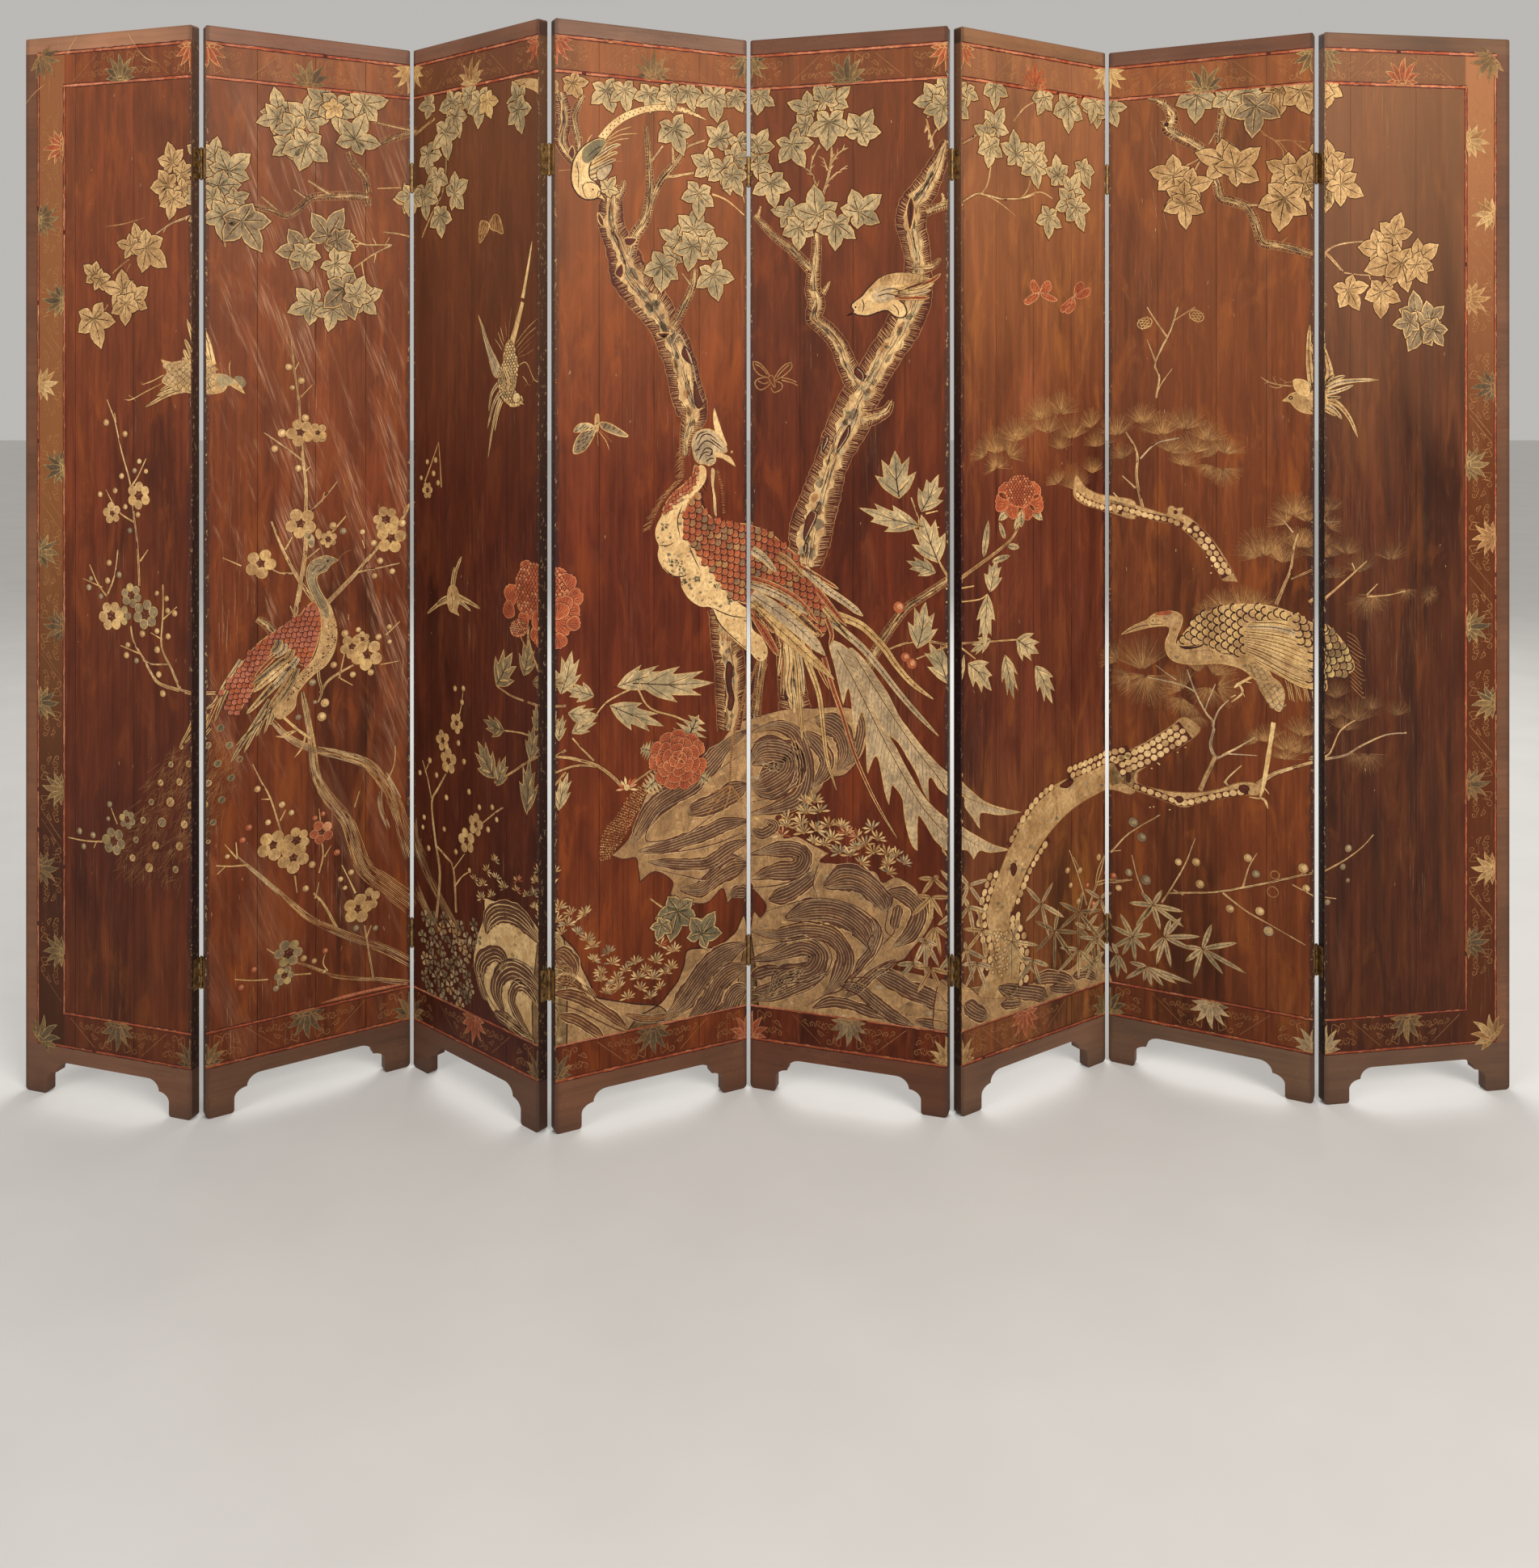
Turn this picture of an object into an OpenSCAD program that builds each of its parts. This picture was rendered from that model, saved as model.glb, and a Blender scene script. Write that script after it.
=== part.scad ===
// Eight-panel folding screen. Upright lacquered boards between a top rail and a footed apron,
// hinged in a zigzag with brass butt hinges. Millimetres, +Z up, the front faces look towards -Y.
// The origin is on the floor, under the middle of the standing screen.

/* [Panel] */
// Height of a panel from the floor to its top
panel_h = 2130; // [1830:10:2440]
// Width of a panel
panel_w = 406; // [370:2:440]
// Thickness of a panel
panel_t = 22; // [22:1:28]
// Height of the top rail
rim_h = 32; // [28:1:40]
// Width of the stile on the free edge of the two outer panels
stile_w = 30; // [28:1:40]
// Gap between two boards
board_gap = 0.3; // [0.2:0.1:0.6]

/* [Feet] */
// Height of the apron, feet included
apron_h = 98; // [92:1:120]
// Width of a foot at the floor
foot_w = 54; // [48:1:60]
// Height of the arch between the feet
arch_h = 68; // [62:1:72]

/* [Fold at rest] */
// Turn of panel 5 away from the line of the screen
turn_5 = -17.4; // [-30:0.1:0]
// Fold between panels 1 and 2, counted from flat
fold_12 = 49.8; // [0:0.1:90]
// Fold between panels 2 and 3, counted from flat
fold_23 = 73.2; // [0:0.1:90]
// Fold between panels 3 and 4, counted from flat
fold_34 = 67.5; // [0:0.1:90]
// Fold between panels 4 and 5, counted from flat
fold_45 = 43.9; // [0:0.1:90]
// Fold between panels 5 and 6, counted from flat
fold_56 = 51.6; // [0:0.1:90]
// Fold between panels 6 and 7, counted from flat
fold_67 = 60.3; // [0:0.1:90]
// Fold between panels 7 and 8, counted from flat
fold_78 = 35; // [0:0.1:90]

/* [Hinges] */
// Distance from a panel's end face to the hinge pin's axis
pin_out = 3; // [2.8:0.1:3.3]
// Distance from the panel's face to the hinge pin's axis
pin_proud = 1.5; // [1.5:0.1:2.5]
// Height of a hinge
hinge_h = 60; // [50:1:70]
// Middle of the upper hinge, below the top of the panel
hinge_top = 268; // [200:1:300]
// Middle of the lower hinge, above the floor
hinge_low = 280; // [240:1:320]
// Width of a leaf, from the pin's axis
leaf_w = 19; // [18:0.5:20]
// Thickness of a leaf
leaf_t = 1.6; // [1.4:0.1:1.6]
// Diameter of the knuckles
barrel_d = 7; // [7:0.1:7.4]
// Diameter of the pin
pin_d = 3; // [2.6:0.1:3.2]
// Distance between a leaf's two screws
screw_gap = 37; // [33:1:40]
// Diameter of a screw's shank
screw_d = 3.2; // [2.6:0.1:3.2]

/* [Hidden] */
$fn = 48;

lacquer = [0.42, 0.17, 0.08];
rim_brown = [0.36, 0.22, 0.16];
bare_wood = [0.66, 0.50, 0.32];
brass = [0.72, 0.55, 0.28];

// ---- where the panels stand -------------------------------------------------

folds = [fold_12, fold_23, fold_34, fold_45, fold_56, fold_67, fold_78];

// a joint after an odd panel is a ridge: its pins are behind. After an even panel it is a
// valley, with its pins in front.
function ridge(j) = j % 2 == 1;
function turn_sign(j) = ridge(j) ? 1 : -1;
function pin_y(j) = ridge(j) ? panel_t + pin_proud : -pin_proud;

function turn(n) = n == 5 ? turn_5
  : n > 5 ? turn(n - 1) + turn_sign(n - 1) * folds[n - 2]
  : turn(n + 1) - turn_sign(n) * folds[n - 1];

function along(n) = [cos(turn(n)), sin(turn(n))];
function across(n) = [-sin(turn(n)), cos(turn(n))];

// front left corner of a panel in plan, counted from that of panel 5
function corner(n) = n == 5 ? [0, 0]
  : n > 5 ? axis_right(n - 1) + pin_out * along(n) - pin_y(n - 1) * across(n)
  : axis_left(n + 1) - (panel_w + pin_out) * along(n) - pin_y(n) * across(n);

// pin axes at a panel's right and left ends
function axis_right(n) = corner(n) + (panel_w + pin_out) * along(n) + pin_y(n) * across(n);
function axis_left(n) = corner(n) - pin_out * along(n) + pin_y(n - 1) * across(n);

plan = [for (n = [1:8]) for (a = [0, panel_w]) for (b = [0, panel_t])
  corner(n) + a * along(n) + b * across(n)];
middle = [
  (min([for (p = plan) p[0]]) + max([for (p = plan) p[0]])) / 2,
  (min([for (p = plan) p[1]]) + max([for (p = plan) p[1]])) / 2
];

// a panel's own frame: x along its width, y from its front to its back, z up
module at_panel(n) {
  translate([corner(n)[0] - middle[0], corner(n)[1] - middle[1], 0])
    rotate([0, 0, turn(n)]) children();
}

// ---- outlines ---------------------------------------------------------------

function arc(c, r, a0, a1, n = 6) =
  [for (i = [0:n]) let (a = a0 + (a1 - a0) * i / n) [c[0] + r[0] * cos(a), c[1] + r[1] * sin(a)]];

// a bar's cross-section with its left and right corners eased
function eased(x0, x1, y0, y1, rl, rr) = concat(
  rl > 0 ? arc([x0 + rl, y0 + rl], [rl, rl], 180, 270, 3) : [[x0, y0]],
  rr > 0 ? arc([x1 - rr, y0 + rr], [rr, rr], 270, 360, 3) : [[x1, y0]],
  rr > 0 ? arc([x1 - rr, y1 - rr], [rr, rr], 0, 90, 3) : [[x1, y1]],
  rl > 0 ? arc([x0 + rl, y1 - rl], [rl, rl], 90, 180, 3) : [[x0, y1]]
);

ease = 1.4;
tongue_t = 8;
tongue_h = 12;
tongue_in = 14;

// half of the apron's lower edge: rounded foot, upright side, two lobes with a cusp between them
half_edge = concat(
  arc([10, 10], [10, 10], 180, 270),
  arc([foot_w - 6, 6], [6, 6], 270, 360, 4),
  arc([foot_w + 26, arch_h - 40], [26, 18], 180, 105),
  arc([foot_w + 50, arch_h - 22], [26, 22], 180, 90)
);
apron_edge = concat(
  half_edge,
  [for (i = [len(half_edge) - 1:-1:0]) [panel_w - half_edge[i][0], half_edge[i][1]]],
  [[panel_w, apron_h], [0, apron_h]]
);

// ---- hinge placement --------------------------------------------------------

hinge_heights = [hinge_low, panel_h - hinge_top];
barrel_r = barrel_d / 2;
leaf_x = 0.15 - barrel_r;
leaf_play = 0.05;
knuckle = hinge_h / 5;
run = 0.05;

// children are drawn for the right end of a panel with its pin behind, about the pin's axis
module at_hinge(n, right) {
  j = right ? n : n - 1;
  for (z = hinge_heights)
    translate([right ? panel_w + pin_out : -pin_out, pin_y(j), z])
      mirror([right ? 0 : 1, 0, 0]) mirror([0, ridge(j) ? 0 : 1, 0]) children();
}

module hinges_of(n) {
  if (n > 1) at_hinge(n, false) children();
  if (n < 8) at_hinge(n, true) children();
}

// ---- boards -----------------------------------------------------------------

// board joints, as shares of the width
joints_at = [
  [0.31, 0.66], [0.24, 0.52, 0.77], [0.27, 0.49, 0.76], [0.22, 0.5, 0.74],
  [0.26, 0.53, 0.79], [0.23, 0.48, 0.75], [0.25, 0.54, 0.78], [0.14, 0.49]
];
function cuts(n) = concat(
  n == 1 ? [0, stile_w] : [0],
  [for (s = joints_at[n - 1]) s * panel_w],
  n == 8 ? [panel_w - stile_w, panel_w] : [panel_w]
);

// a board between two rails, with a tongue at each end
module plank(x0, x1, rl, rr, tl, tr) {
  translate([0, 0, apron_h]) linear_extrude(panel_h - rim_h - apron_h)
    polygon(eased(x0, x1, 0, panel_t, rl, rr));
  translate([x0 + tl, (panel_t - tongue_t) / 2, apron_h - tongue_h])
    cube([x1 - x0 - tl - tr, tongue_t, panel_h - rim_h - apron_h + 2 * tongue_h]);
}

dowel_d = 8;
dowel_l = 38;
dowel_heights = [400, 1098, 1796];

module dowel_holes(x) {
  for (z = dowel_heights) translate([x - dowel_l / 2 - 1, panel_t / 2, z])
    rotate([0, 90, 0]) cylinder(h = dowel_l + 2, d = dowel_d + 0.2);
}

// the seat that a leaf and its screws need in the end face
module leaf_seat() {
  translate([leaf_x - leaf_play, -leaf_w - 0.1, -hinge_h / 2 - 0.1])
    cube([20, leaf_w + 20, hinge_h + 0.2]);
  cylinder(h = hinge_h + 5, r = barrel_r + 0.4, center = true);
  for (s = [-1, 1]) translate([leaf_x + 0.1, -leaf_w * 0.6, s * screw_gap / 2])
    rotate([0, -90, 0]) cylinder(h = 17, d = screw_d + 0.1);
}

module boards(n) {
  c = cuts(n);
  first = n == 1 ? 1 : 0;
  last = n == 8 ? len(c) - 3 : len(c) - 2;
  difference() {
    for (i = [first:last])
      plank(c[i] + (i == 0 ? 0 : board_gap / 2), c[i + 1] - (i + 1 == len(c) - 1 ? 0 : board_gap / 2),
        i == 0 ? ease : 0, i + 1 == len(c) - 1 ? ease : 0,
        i == 0 ? tongue_in : 0, i + 1 == len(c) - 1 ? tongue_in : 0);
    for (i = [1:len(c) - 2]) dowel_holes(c[i]);
    hinges_of(n) leaf_seat();
  }
}

module stile(n) {
  x0 = n == 1 ? 0 : panel_w - stile_w + board_gap / 2;
  x1 = n == 1 ? stile_w - board_gap / 2 : panel_w;
  difference() {
    plank(x0, x1, n == 1 ? ease : 0, n == 1 ? 0 : ease, n == 1 ? tongue_in : 0, n == 1 ? 0 : tongue_in);
    dowel_holes(n == 1 ? stile_w : panel_w - stile_w);
  }
}

module dowels(n) {
  c = cuts(n);
  for (i = [1:len(c) - 2]) for (z = dowel_heights)
    translate([c[i] - dowel_l / 2, panel_t / 2, z]) rotate([0, 90, 0])
      rotate_extrude() polygon([[0, 0], [dowel_d / 2 - 1, 0], [dowel_d / 2, 1],
        [dowel_d / 2, dowel_l - 1], [dowel_d / 2 - 1, dowel_l], [0, dowel_l]]);
}

// ---- rails ------------------------------------------------------------------

module groove(z0, z1) {
  translate([tongue_in - 1, (panel_t - tongue_t) / 2 - 0.1, z0])
    cube([panel_w - 2 * tongue_in + 2, tongue_t + 0.2, z1 - z0]);
}

module top_rail() {
  difference() {
    intersection() {
      // face outline with rounded upper corners
      translate([0, panel_t, 0]) rotate([90, 0, 0]) linear_extrude(panel_t)
        polygon(concat([[0, panel_h - rim_h], [panel_w, panel_h - rim_h]],
          arc([panel_w - 6, panel_h - 6], [6, 6], 0, 90), arc([6, panel_h - 6], [6, 6], 90, 180)));
      // cross-section with an eased top
      rotate([90, 0, 90]) linear_extrude(panel_w)
        polygon(concat([[0, panel_h - rim_h], [panel_t, panel_h - rim_h]],
          arc([panel_t - 3.5, panel_h - 3.5], [3.5, 3.5], 0, 90, 4),
          arc([3.5, panel_h - 3.5], [3.5, 3.5], 90, 180, 4)));
      // eased ends
      translate([0, 0, panel_h - rim_h]) linear_extrude(rim_h)
        polygon(eased(0, panel_w, 0, panel_t, ease, ease));
    }
    groove(panel_h - rim_h - 1, panel_h - rim_h + tongue_h + 0.5);
  }
}

module apron() {
  difference() {
    intersection() {
      translate([0, panel_t, 0]) rotate([90, 0, 0]) linear_extrude(panel_t) polygon(apron_edge);
      linear_extrude(apron_h) polygon(eased(0, panel_w, 0, panel_t, ease, ease));
    }
    groove(apron_h - tongue_h - 0.5, apron_h + 1);
  }
}

// ---- hinges -----------------------------------------------------------------

// a leaf with three knuckles (outer) or two (inner)
module leaf(outer) {
  own = outer ? [0, 2, 4] : [1, 3];
  other = outer ? [1, 3] : [0, 2, 4];
  difference() {
    union() {
      translate([leaf_x, -leaf_w, -hinge_h / 2]) cube([leaf_t, leaf_w - barrel_r - 0.4, hinge_h]);
      for (i = own) {
        translate([leaf_x, -barrel_r - 1, -hinge_h / 2 + i * knuckle + 0.15])
          cube([leaf_t, barrel_r + 1, knuckle - 0.3]);
        translate([0, 0, -hinge_h / 2 + i * knuckle + 0.15]) cylinder(h = knuckle - 0.3, r = barrel_r);
      }
    }
    cylinder(h = hinge_h + 2, r = pin_d / 2 + run, center = true);
    // countersunk screw holes
    for (s = [-1, 1]) translate([leaf_x, -leaf_w * 0.6, s * screw_gap / 2]) rotate([0, 90, 0]) {
      translate([0, 0, -1]) cylinder(h = leaf_t + 2, r = screw_d / 2 + run);
      translate([0, 0, 0.2]) cylinder(h = leaf_t, r1 = screw_d / 2 + run, r2 = screw_d / 2 + run + leaf_t);
    }
  }
}

module leaves(n) {
  if (n > 1) at_hinge(n, false) leaf(false);
  if (n < 8) at_hinge(n, true) leaf(true);
}

// a slotted countersunk wood screw, its head flush with the leaf
module wood_screw() {
  r = screw_d / 2;
  difference() {
    rotate_extrude() polygon([[0, 0], [r + leaf_t - 0.25, 0], [r, -leaf_t + 0.25], [r, -12], [0, -15.5]]);
    translate([-r - leaf_t, -0.35, -0.6]) cube([2 * (r + leaf_t), 0.7, 1]);
  }
}

module screws(n) {
  hinges_of(n) for (s = [-1, 1])
    translate([leaf_x + leaf_t, -leaf_w * 0.6, s * screw_gap / 2])
      rotate([0, 90, 0]) rotate([0, 0, s * 35]) wood_screw();
}

// a headed pin through the five knuckles
module hinge_pin() {
  r = pin_d / 2;
  top = hinge_h / 2;
  rotate_extrude() polygon(concat([[0, -top - 2]],
    arc([r - 0.3, -top - 0.9], [1.1, 1.1], 270, 360, 4), [[r + 0.8, -top + 0.05], [r, -top + 0.05], [r, top - 0.05],
    [r + 0.8, top - 0.05]], arc([r - 0.3, top + 0.9], [1.1, 1.1], 0, 90, 4), [[0, top + 2]]));
}

module pins(j) { at_hinge(j, true) hinge_pin(); }

// ---- parts ------------------------------------------------------------------

module panel_1_boards() { color(lacquer) at_panel(1) boards(1); }
module panel_2_boards() { color(lacquer) at_panel(2) boards(2); }
module panel_3_boards() { color(lacquer) at_panel(3) boards(3); }
module panel_4_boards() { color(lacquer) at_panel(4) boards(4); }
module panel_5_boards() { color(lacquer) at_panel(5) boards(5); }
module panel_6_boards() { color(lacquer) at_panel(6) boards(6); }
module panel_7_boards() { color(lacquer) at_panel(7) boards(7); }
module panel_8_boards() { color(lacquer) at_panel(8) boards(8); }

module panel_1_top_rail() { color(rim_brown) at_panel(1) top_rail(); }
module panel_2_top_rail() { color(rim_brown) at_panel(2) top_rail(); }
module panel_3_top_rail() { color(rim_brown) at_panel(3) top_rail(); }
module panel_4_top_rail() { color(rim_brown) at_panel(4) top_rail(); }
module panel_5_top_rail() { color(rim_brown) at_panel(5) top_rail(); }
module panel_6_top_rail() { color(rim_brown) at_panel(6) top_rail(); }
module panel_7_top_rail() { color(rim_brown) at_panel(7) top_rail(); }
module panel_8_top_rail() { color(rim_brown) at_panel(8) top_rail(); }

module panel_1_apron() { color(rim_brown) at_panel(1) apron(); }
module panel_2_apron() { color(rim_brown) at_panel(2) apron(); }
module panel_3_apron() { color(rim_brown) at_panel(3) apron(); }
module panel_4_apron() { color(rim_brown) at_panel(4) apron(); }
module panel_5_apron() { color(rim_brown) at_panel(5) apron(); }
module panel_6_apron() { color(rim_brown) at_panel(6) apron(); }
module panel_7_apron() { color(rim_brown) at_panel(7) apron(); }
module panel_8_apron() { color(rim_brown) at_panel(8) apron(); }

module panel_1_stile() { color(rim_brown) at_panel(1) stile(1); }
module panel_8_stile() { color(rim_brown) at_panel(8) stile(8); }

module panel_1_dowels() { color(bare_wood) at_panel(1) dowels(1); }
module panel_2_dowels() { color(bare_wood) at_panel(2) dowels(2); }
module panel_3_dowels() { color(bare_wood) at_panel(3) dowels(3); }
module panel_4_dowels() { color(bare_wood) at_panel(4) dowels(4); }
module panel_5_dowels() { color(bare_wood) at_panel(5) dowels(5); }
module panel_6_dowels() { color(bare_wood) at_panel(6) dowels(6); }
module panel_7_dowels() { color(bare_wood) at_panel(7) dowels(7); }
module panel_8_dowels() { color(bare_wood) at_panel(8) dowels(8); }

module panel_1_hinge_leaves() { color(brass) at_panel(1) leaves(1); }
module panel_2_hinge_leaves() { color(brass) at_panel(2) leaves(2); }
module panel_3_hinge_leaves() { color(brass) at_panel(3) leaves(3); }
module panel_4_hinge_leaves() { color(brass) at_panel(4) leaves(4); }
module panel_5_hinge_leaves() { color(brass) at_panel(5) leaves(5); }
module panel_6_hinge_leaves() { color(brass) at_panel(6) leaves(6); }
module panel_7_hinge_leaves() { color(brass) at_panel(7) leaves(7); }
module panel_8_hinge_leaves() { color(brass) at_panel(8) leaves(8); }

module panel_1_screws() { color(brass) at_panel(1) screws(1); }
module panel_2_screws() { color(brass) at_panel(2) screws(2); }
module panel_3_screws() { color(brass) at_panel(3) screws(3); }
module panel_4_screws() { color(brass) at_panel(4) screws(4); }
module panel_5_screws() { color(brass) at_panel(5) screws(5); }
module panel_6_screws() { color(brass) at_panel(6) screws(6); }
module panel_7_screws() { color(brass) at_panel(7) screws(7); }
module panel_8_screws() { color(brass) at_panel(8) screws(8); }

module hinge_pins_12() { color(brass) at_panel(1) pins(1); }
module hinge_pins_23() { color(brass) at_panel(2) pins(2); }
module hinge_pins_34() { color(brass) at_panel(3) pins(3); }
module hinge_pins_45() { color(brass) at_panel(4) pins(4); }
module hinge_pins_56() { color(brass) at_panel(5) pins(5); }
module hinge_pins_67() { color(brass) at_panel(6) pins(6); }
module hinge_pins_78() { color(brass) at_panel(7) pins(7); }

panel_1_boards();
panel_2_boards();
panel_3_boards();
panel_4_boards();
panel_5_boards();
panel_6_boards();
panel_7_boards();
panel_8_boards();
panel_1_top_rail();
panel_2_top_rail();
panel_3_top_rail();
panel_4_top_rail();
panel_5_top_rail();
panel_6_top_rail();
panel_7_top_rail();
panel_8_top_rail();
panel_1_apron();
panel_2_apron();
panel_3_apron();
panel_4_apron();
panel_5_apron();
panel_6_apron();
panel_7_apron();
panel_8_apron();
panel_1_stile();
panel_8_stile();
panel_1_dowels();
panel_2_dowels();
panel_3_dowels();
panel_4_dowels();
panel_5_dowels();
panel_6_dowels();
panel_7_dowels();
panel_8_dowels();
panel_1_hinge_leaves();
panel_2_hinge_leaves();
panel_3_hinge_leaves();
panel_4_hinge_leaves();
panel_5_hinge_leaves();
panel_6_hinge_leaves();
panel_7_hinge_leaves();
panel_8_hinge_leaves();
panel_1_screws();
panel_2_screws();
panel_3_screws();
panel_4_screws();
panel_5_screws();
panel_6_screws();
panel_7_screws();
panel_8_screws();
hinge_pins_12();
hinge_pins_23();
hinge_pins_34();
hinge_pins_45();
hinge_pins_56();
hinge_pins_67();
hinge_pins_78();
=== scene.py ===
"""Eight-panel lacquered folding screen: materials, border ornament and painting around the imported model. Metres, +Z up."""
import math
import random

import bpy
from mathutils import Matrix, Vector


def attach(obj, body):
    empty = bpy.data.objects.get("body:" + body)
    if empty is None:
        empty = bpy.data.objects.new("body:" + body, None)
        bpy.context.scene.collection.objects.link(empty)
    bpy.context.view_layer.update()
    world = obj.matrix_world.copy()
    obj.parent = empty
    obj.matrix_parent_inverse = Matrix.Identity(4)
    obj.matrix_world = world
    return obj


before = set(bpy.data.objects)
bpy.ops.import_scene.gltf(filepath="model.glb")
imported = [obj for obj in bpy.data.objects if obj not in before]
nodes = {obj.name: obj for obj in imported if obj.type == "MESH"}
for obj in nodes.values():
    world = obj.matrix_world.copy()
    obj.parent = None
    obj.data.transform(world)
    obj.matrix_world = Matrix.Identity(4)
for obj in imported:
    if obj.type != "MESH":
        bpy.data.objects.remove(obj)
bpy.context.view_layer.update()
rnd = random.Random(1894)

# ---- where the panels stand (millimetres, as in part.scad) -------------------------------------

W, T, H = 406.0, 22.0, 2130.0
RIM, APRON, STILE = 32.0, 98.0, 30.0
PIN_OUT, PIN_PROUD = 3.0, 1.5
TURN_5 = -17.4
FOLDS = [49.8, 73.2, 67.5, 43.9, 51.6, 60.3, 35.0]
JOINTS_AT = [[0.31, 0.66], [0.24, 0.52, 0.77], [0.27, 0.49, 0.76], [0.22, 0.5, 0.74],
             [0.26, 0.53, 0.79], [0.23, 0.48, 0.75], [0.25, 0.54, 0.78], [0.14, 0.49]]
ALL = range(1, 9)


def side(j):
    return 1 if j % 2 == 1 else -1


def pin_y(j):
    return T + PIN_PROUD if j % 2 == 1 else -PIN_PROUD


TURN = {5: TURN_5}
for _n in (6, 7, 8):
    TURN[_n] = TURN[_n - 1] + side(_n - 1) * FOLDS[_n - 2]
for _n in (4, 3, 2, 1):
    TURN[_n] = TURN[_n + 1] - side(_n) * FOLDS[_n - 1]


def along(n):
    a = math.radians(TURN[n])
    return (math.cos(a), math.sin(a))


def across(n):
    a = math.radians(TURN[n])
    return (-math.sin(a), math.cos(a))


CORNER = {5: (0.0, 0.0)}
for _n in (6, 7, 8):
    c, a, b, a2, b2 = CORNER[_n - 1], along(_n - 1), across(_n - 1), along(_n), across(_n)
    CORNER[_n] = tuple(c[i] + (W + PIN_OUT) * a[i] + pin_y(_n - 1) * b[i] + PIN_OUT * a2[i] - pin_y(_n - 1) * b2[i] for i in (0, 1))
for _n in (4, 3, 2, 1):
    c, a, b, a2, b2 = CORNER[_n + 1], along(_n + 1), across(_n + 1), along(_n), across(_n)
    CORNER[_n] = tuple(c[i] - PIN_OUT * a[i] + pin_y(_n) * b[i] - (W + PIN_OUT) * a2[i] - pin_y(_n) * b2[i] for i in (0, 1))
_plan = [tuple(CORNER[n][i] + u * along(n)[i] + v * across(n)[i] for i in (0, 1)) for n in ALL for u in (0, W) for v in (0, T)]
_mid = tuple((min(p[i] for p in _plan) + max(p[i] for p in _plan)) / 2 for i in (0, 1))
for _n in ALL:
    CORNER[_n] = tuple(CORNER[_n][i] - _mid[i] for i in (0, 1))


def place(n, u, v, z):
    """A point of panel n's own frame (mm) in the row frame (m)."""
    a, b, c = along(n), across(n), CORNER[n]
    return ((c[0] + u * a[0] + v * b[0]) / 1000, (c[1] + u * a[1] + v * b[1]) / 1000, z / 1000)


# ---- the camera, first, because the painting is laid out through it ------------------------------

CAM = (CORNER[1][0] + 1508.71, CORNER[1][1] - 2867.6, 1442.2)
FOCAL, CX, CY = 1749.04, 952.0, 468.08

cam_data = bpy.data.cameras.new("camera")
cam = bpy.data.objects.new("camera", cam_data)
bpy.context.scene.collection.objects.link(cam)
cam.location = (CAM[0] / 1000, CAM[1] / 1000, CAM[2] / 1000)
cam.rotation_euler = (math.radians(90), 0, 0)
cam_data.sensor_width = 36
cam_data.lens = FOCAL * 36 / 1940
cam_data.shift_x = (952 - CX) / 1940
cam_data.shift_y = -(970 - CY) / 1940
cam_data.clip_start = 0.1
cam_data.clip_end = 60
bpy.context.scene.camera = cam

SEAMS = (247.5, 511.0, 680.0, 925.0, 1179.0, 1371.0, 1629.5)


def panel_at(px):
    n = 1
    for s in SEAMS:
        if px > s:
            n += 1
    return n


def m(px, py, n=None):
    """A point of the layout (as the camera sees it) on the unfolded picture: mm along the eight panels laid side by side, and mm up."""
    n = n or panel_at(px)
    dx, dz = (px - CX) / FOCAL, -(py - CY) / FOCAL
    a, c = along(n), CORNER[n]
    # CAM + s * (dx, 1) = c + u * a
    det = dx * (-a[1]) + a[0]
    rx, ry = c[0] - CAM[0], c[1] - CAM[1]
    s = (rx * (-a[1]) + ry * a[0]) / det
    u = (dx * ry - rx) / det
    return ((n - 1) * W + u, CAM[2] + s * dz)


def mm(px, py=0):
    """Millimetres to one unit of the layout, upright, there."""
    n = panel_at(px)
    dx = (px - CX) / FOCAL
    a, c = along(n), CORNER[n]
    det = dx * (-a[1]) + a[0]
    rx, ry = c[0] - CAM[0], c[1] - CAM[1]
    return (rx * (-a[1]) + ry * a[0]) / det / FOCAL


def mp(pts):
    return [m(*p) for p in pts]

# ---- drawing on the unfolded picture ---------------------------------------------------------------
# FACES holds (points, pigment, lift): a thin layer of paint, lift mm proud of the lacquer.

FACES = []


def area2(p):
    return sum(p[i][0] * p[(i + 1) % len(p)][1] - p[(i + 1) % len(p)][0] * p[i][1] for i in range(len(p)))


def fill(pts, col, lift):
    a = area2(pts)
    if abs(a) > 0.05:
        FACES.append((pts if a > 0 else pts[::-1], col, lift))


def smooth(pts, k=5, closed=False):
    """A curve through the points. A point with a third value is a sharp corner."""
    n = len(pts)
    if n < 3:
        return [(p[0], p[1]) for p in pts]
    out = []
    for i in range(n if closed else n - 1):
        p1, p2 = pts[i], pts[(i + 1) % n]
        p0 = pts[i - 1] if closed or i > 0 else p1
        p3 = pts[(i + 2) % n] if closed or i + 2 < n else p2
        if len(p1) > 2:
            p0 = p1
        if len(p2) > 2:
            p3 = p2
        for j in range(k):
            t = j / k
            t2, t3 = t * t, t * t * t
            out.append(tuple(0.5 * (2 * p1[a] + (p2[a] - p0[a]) * t + (2 * p0[a] - 5 * p1[a] + 4 * p2[a] - p3[a]) * t2
                                    + (3 * p1[a] - p0[a] - 3 * p2[a] + p3[a]) * t3) for a in (0, 1)))
    if not closed:
        out.append((pts[-1][0], pts[-1][1]))
    return out


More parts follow.
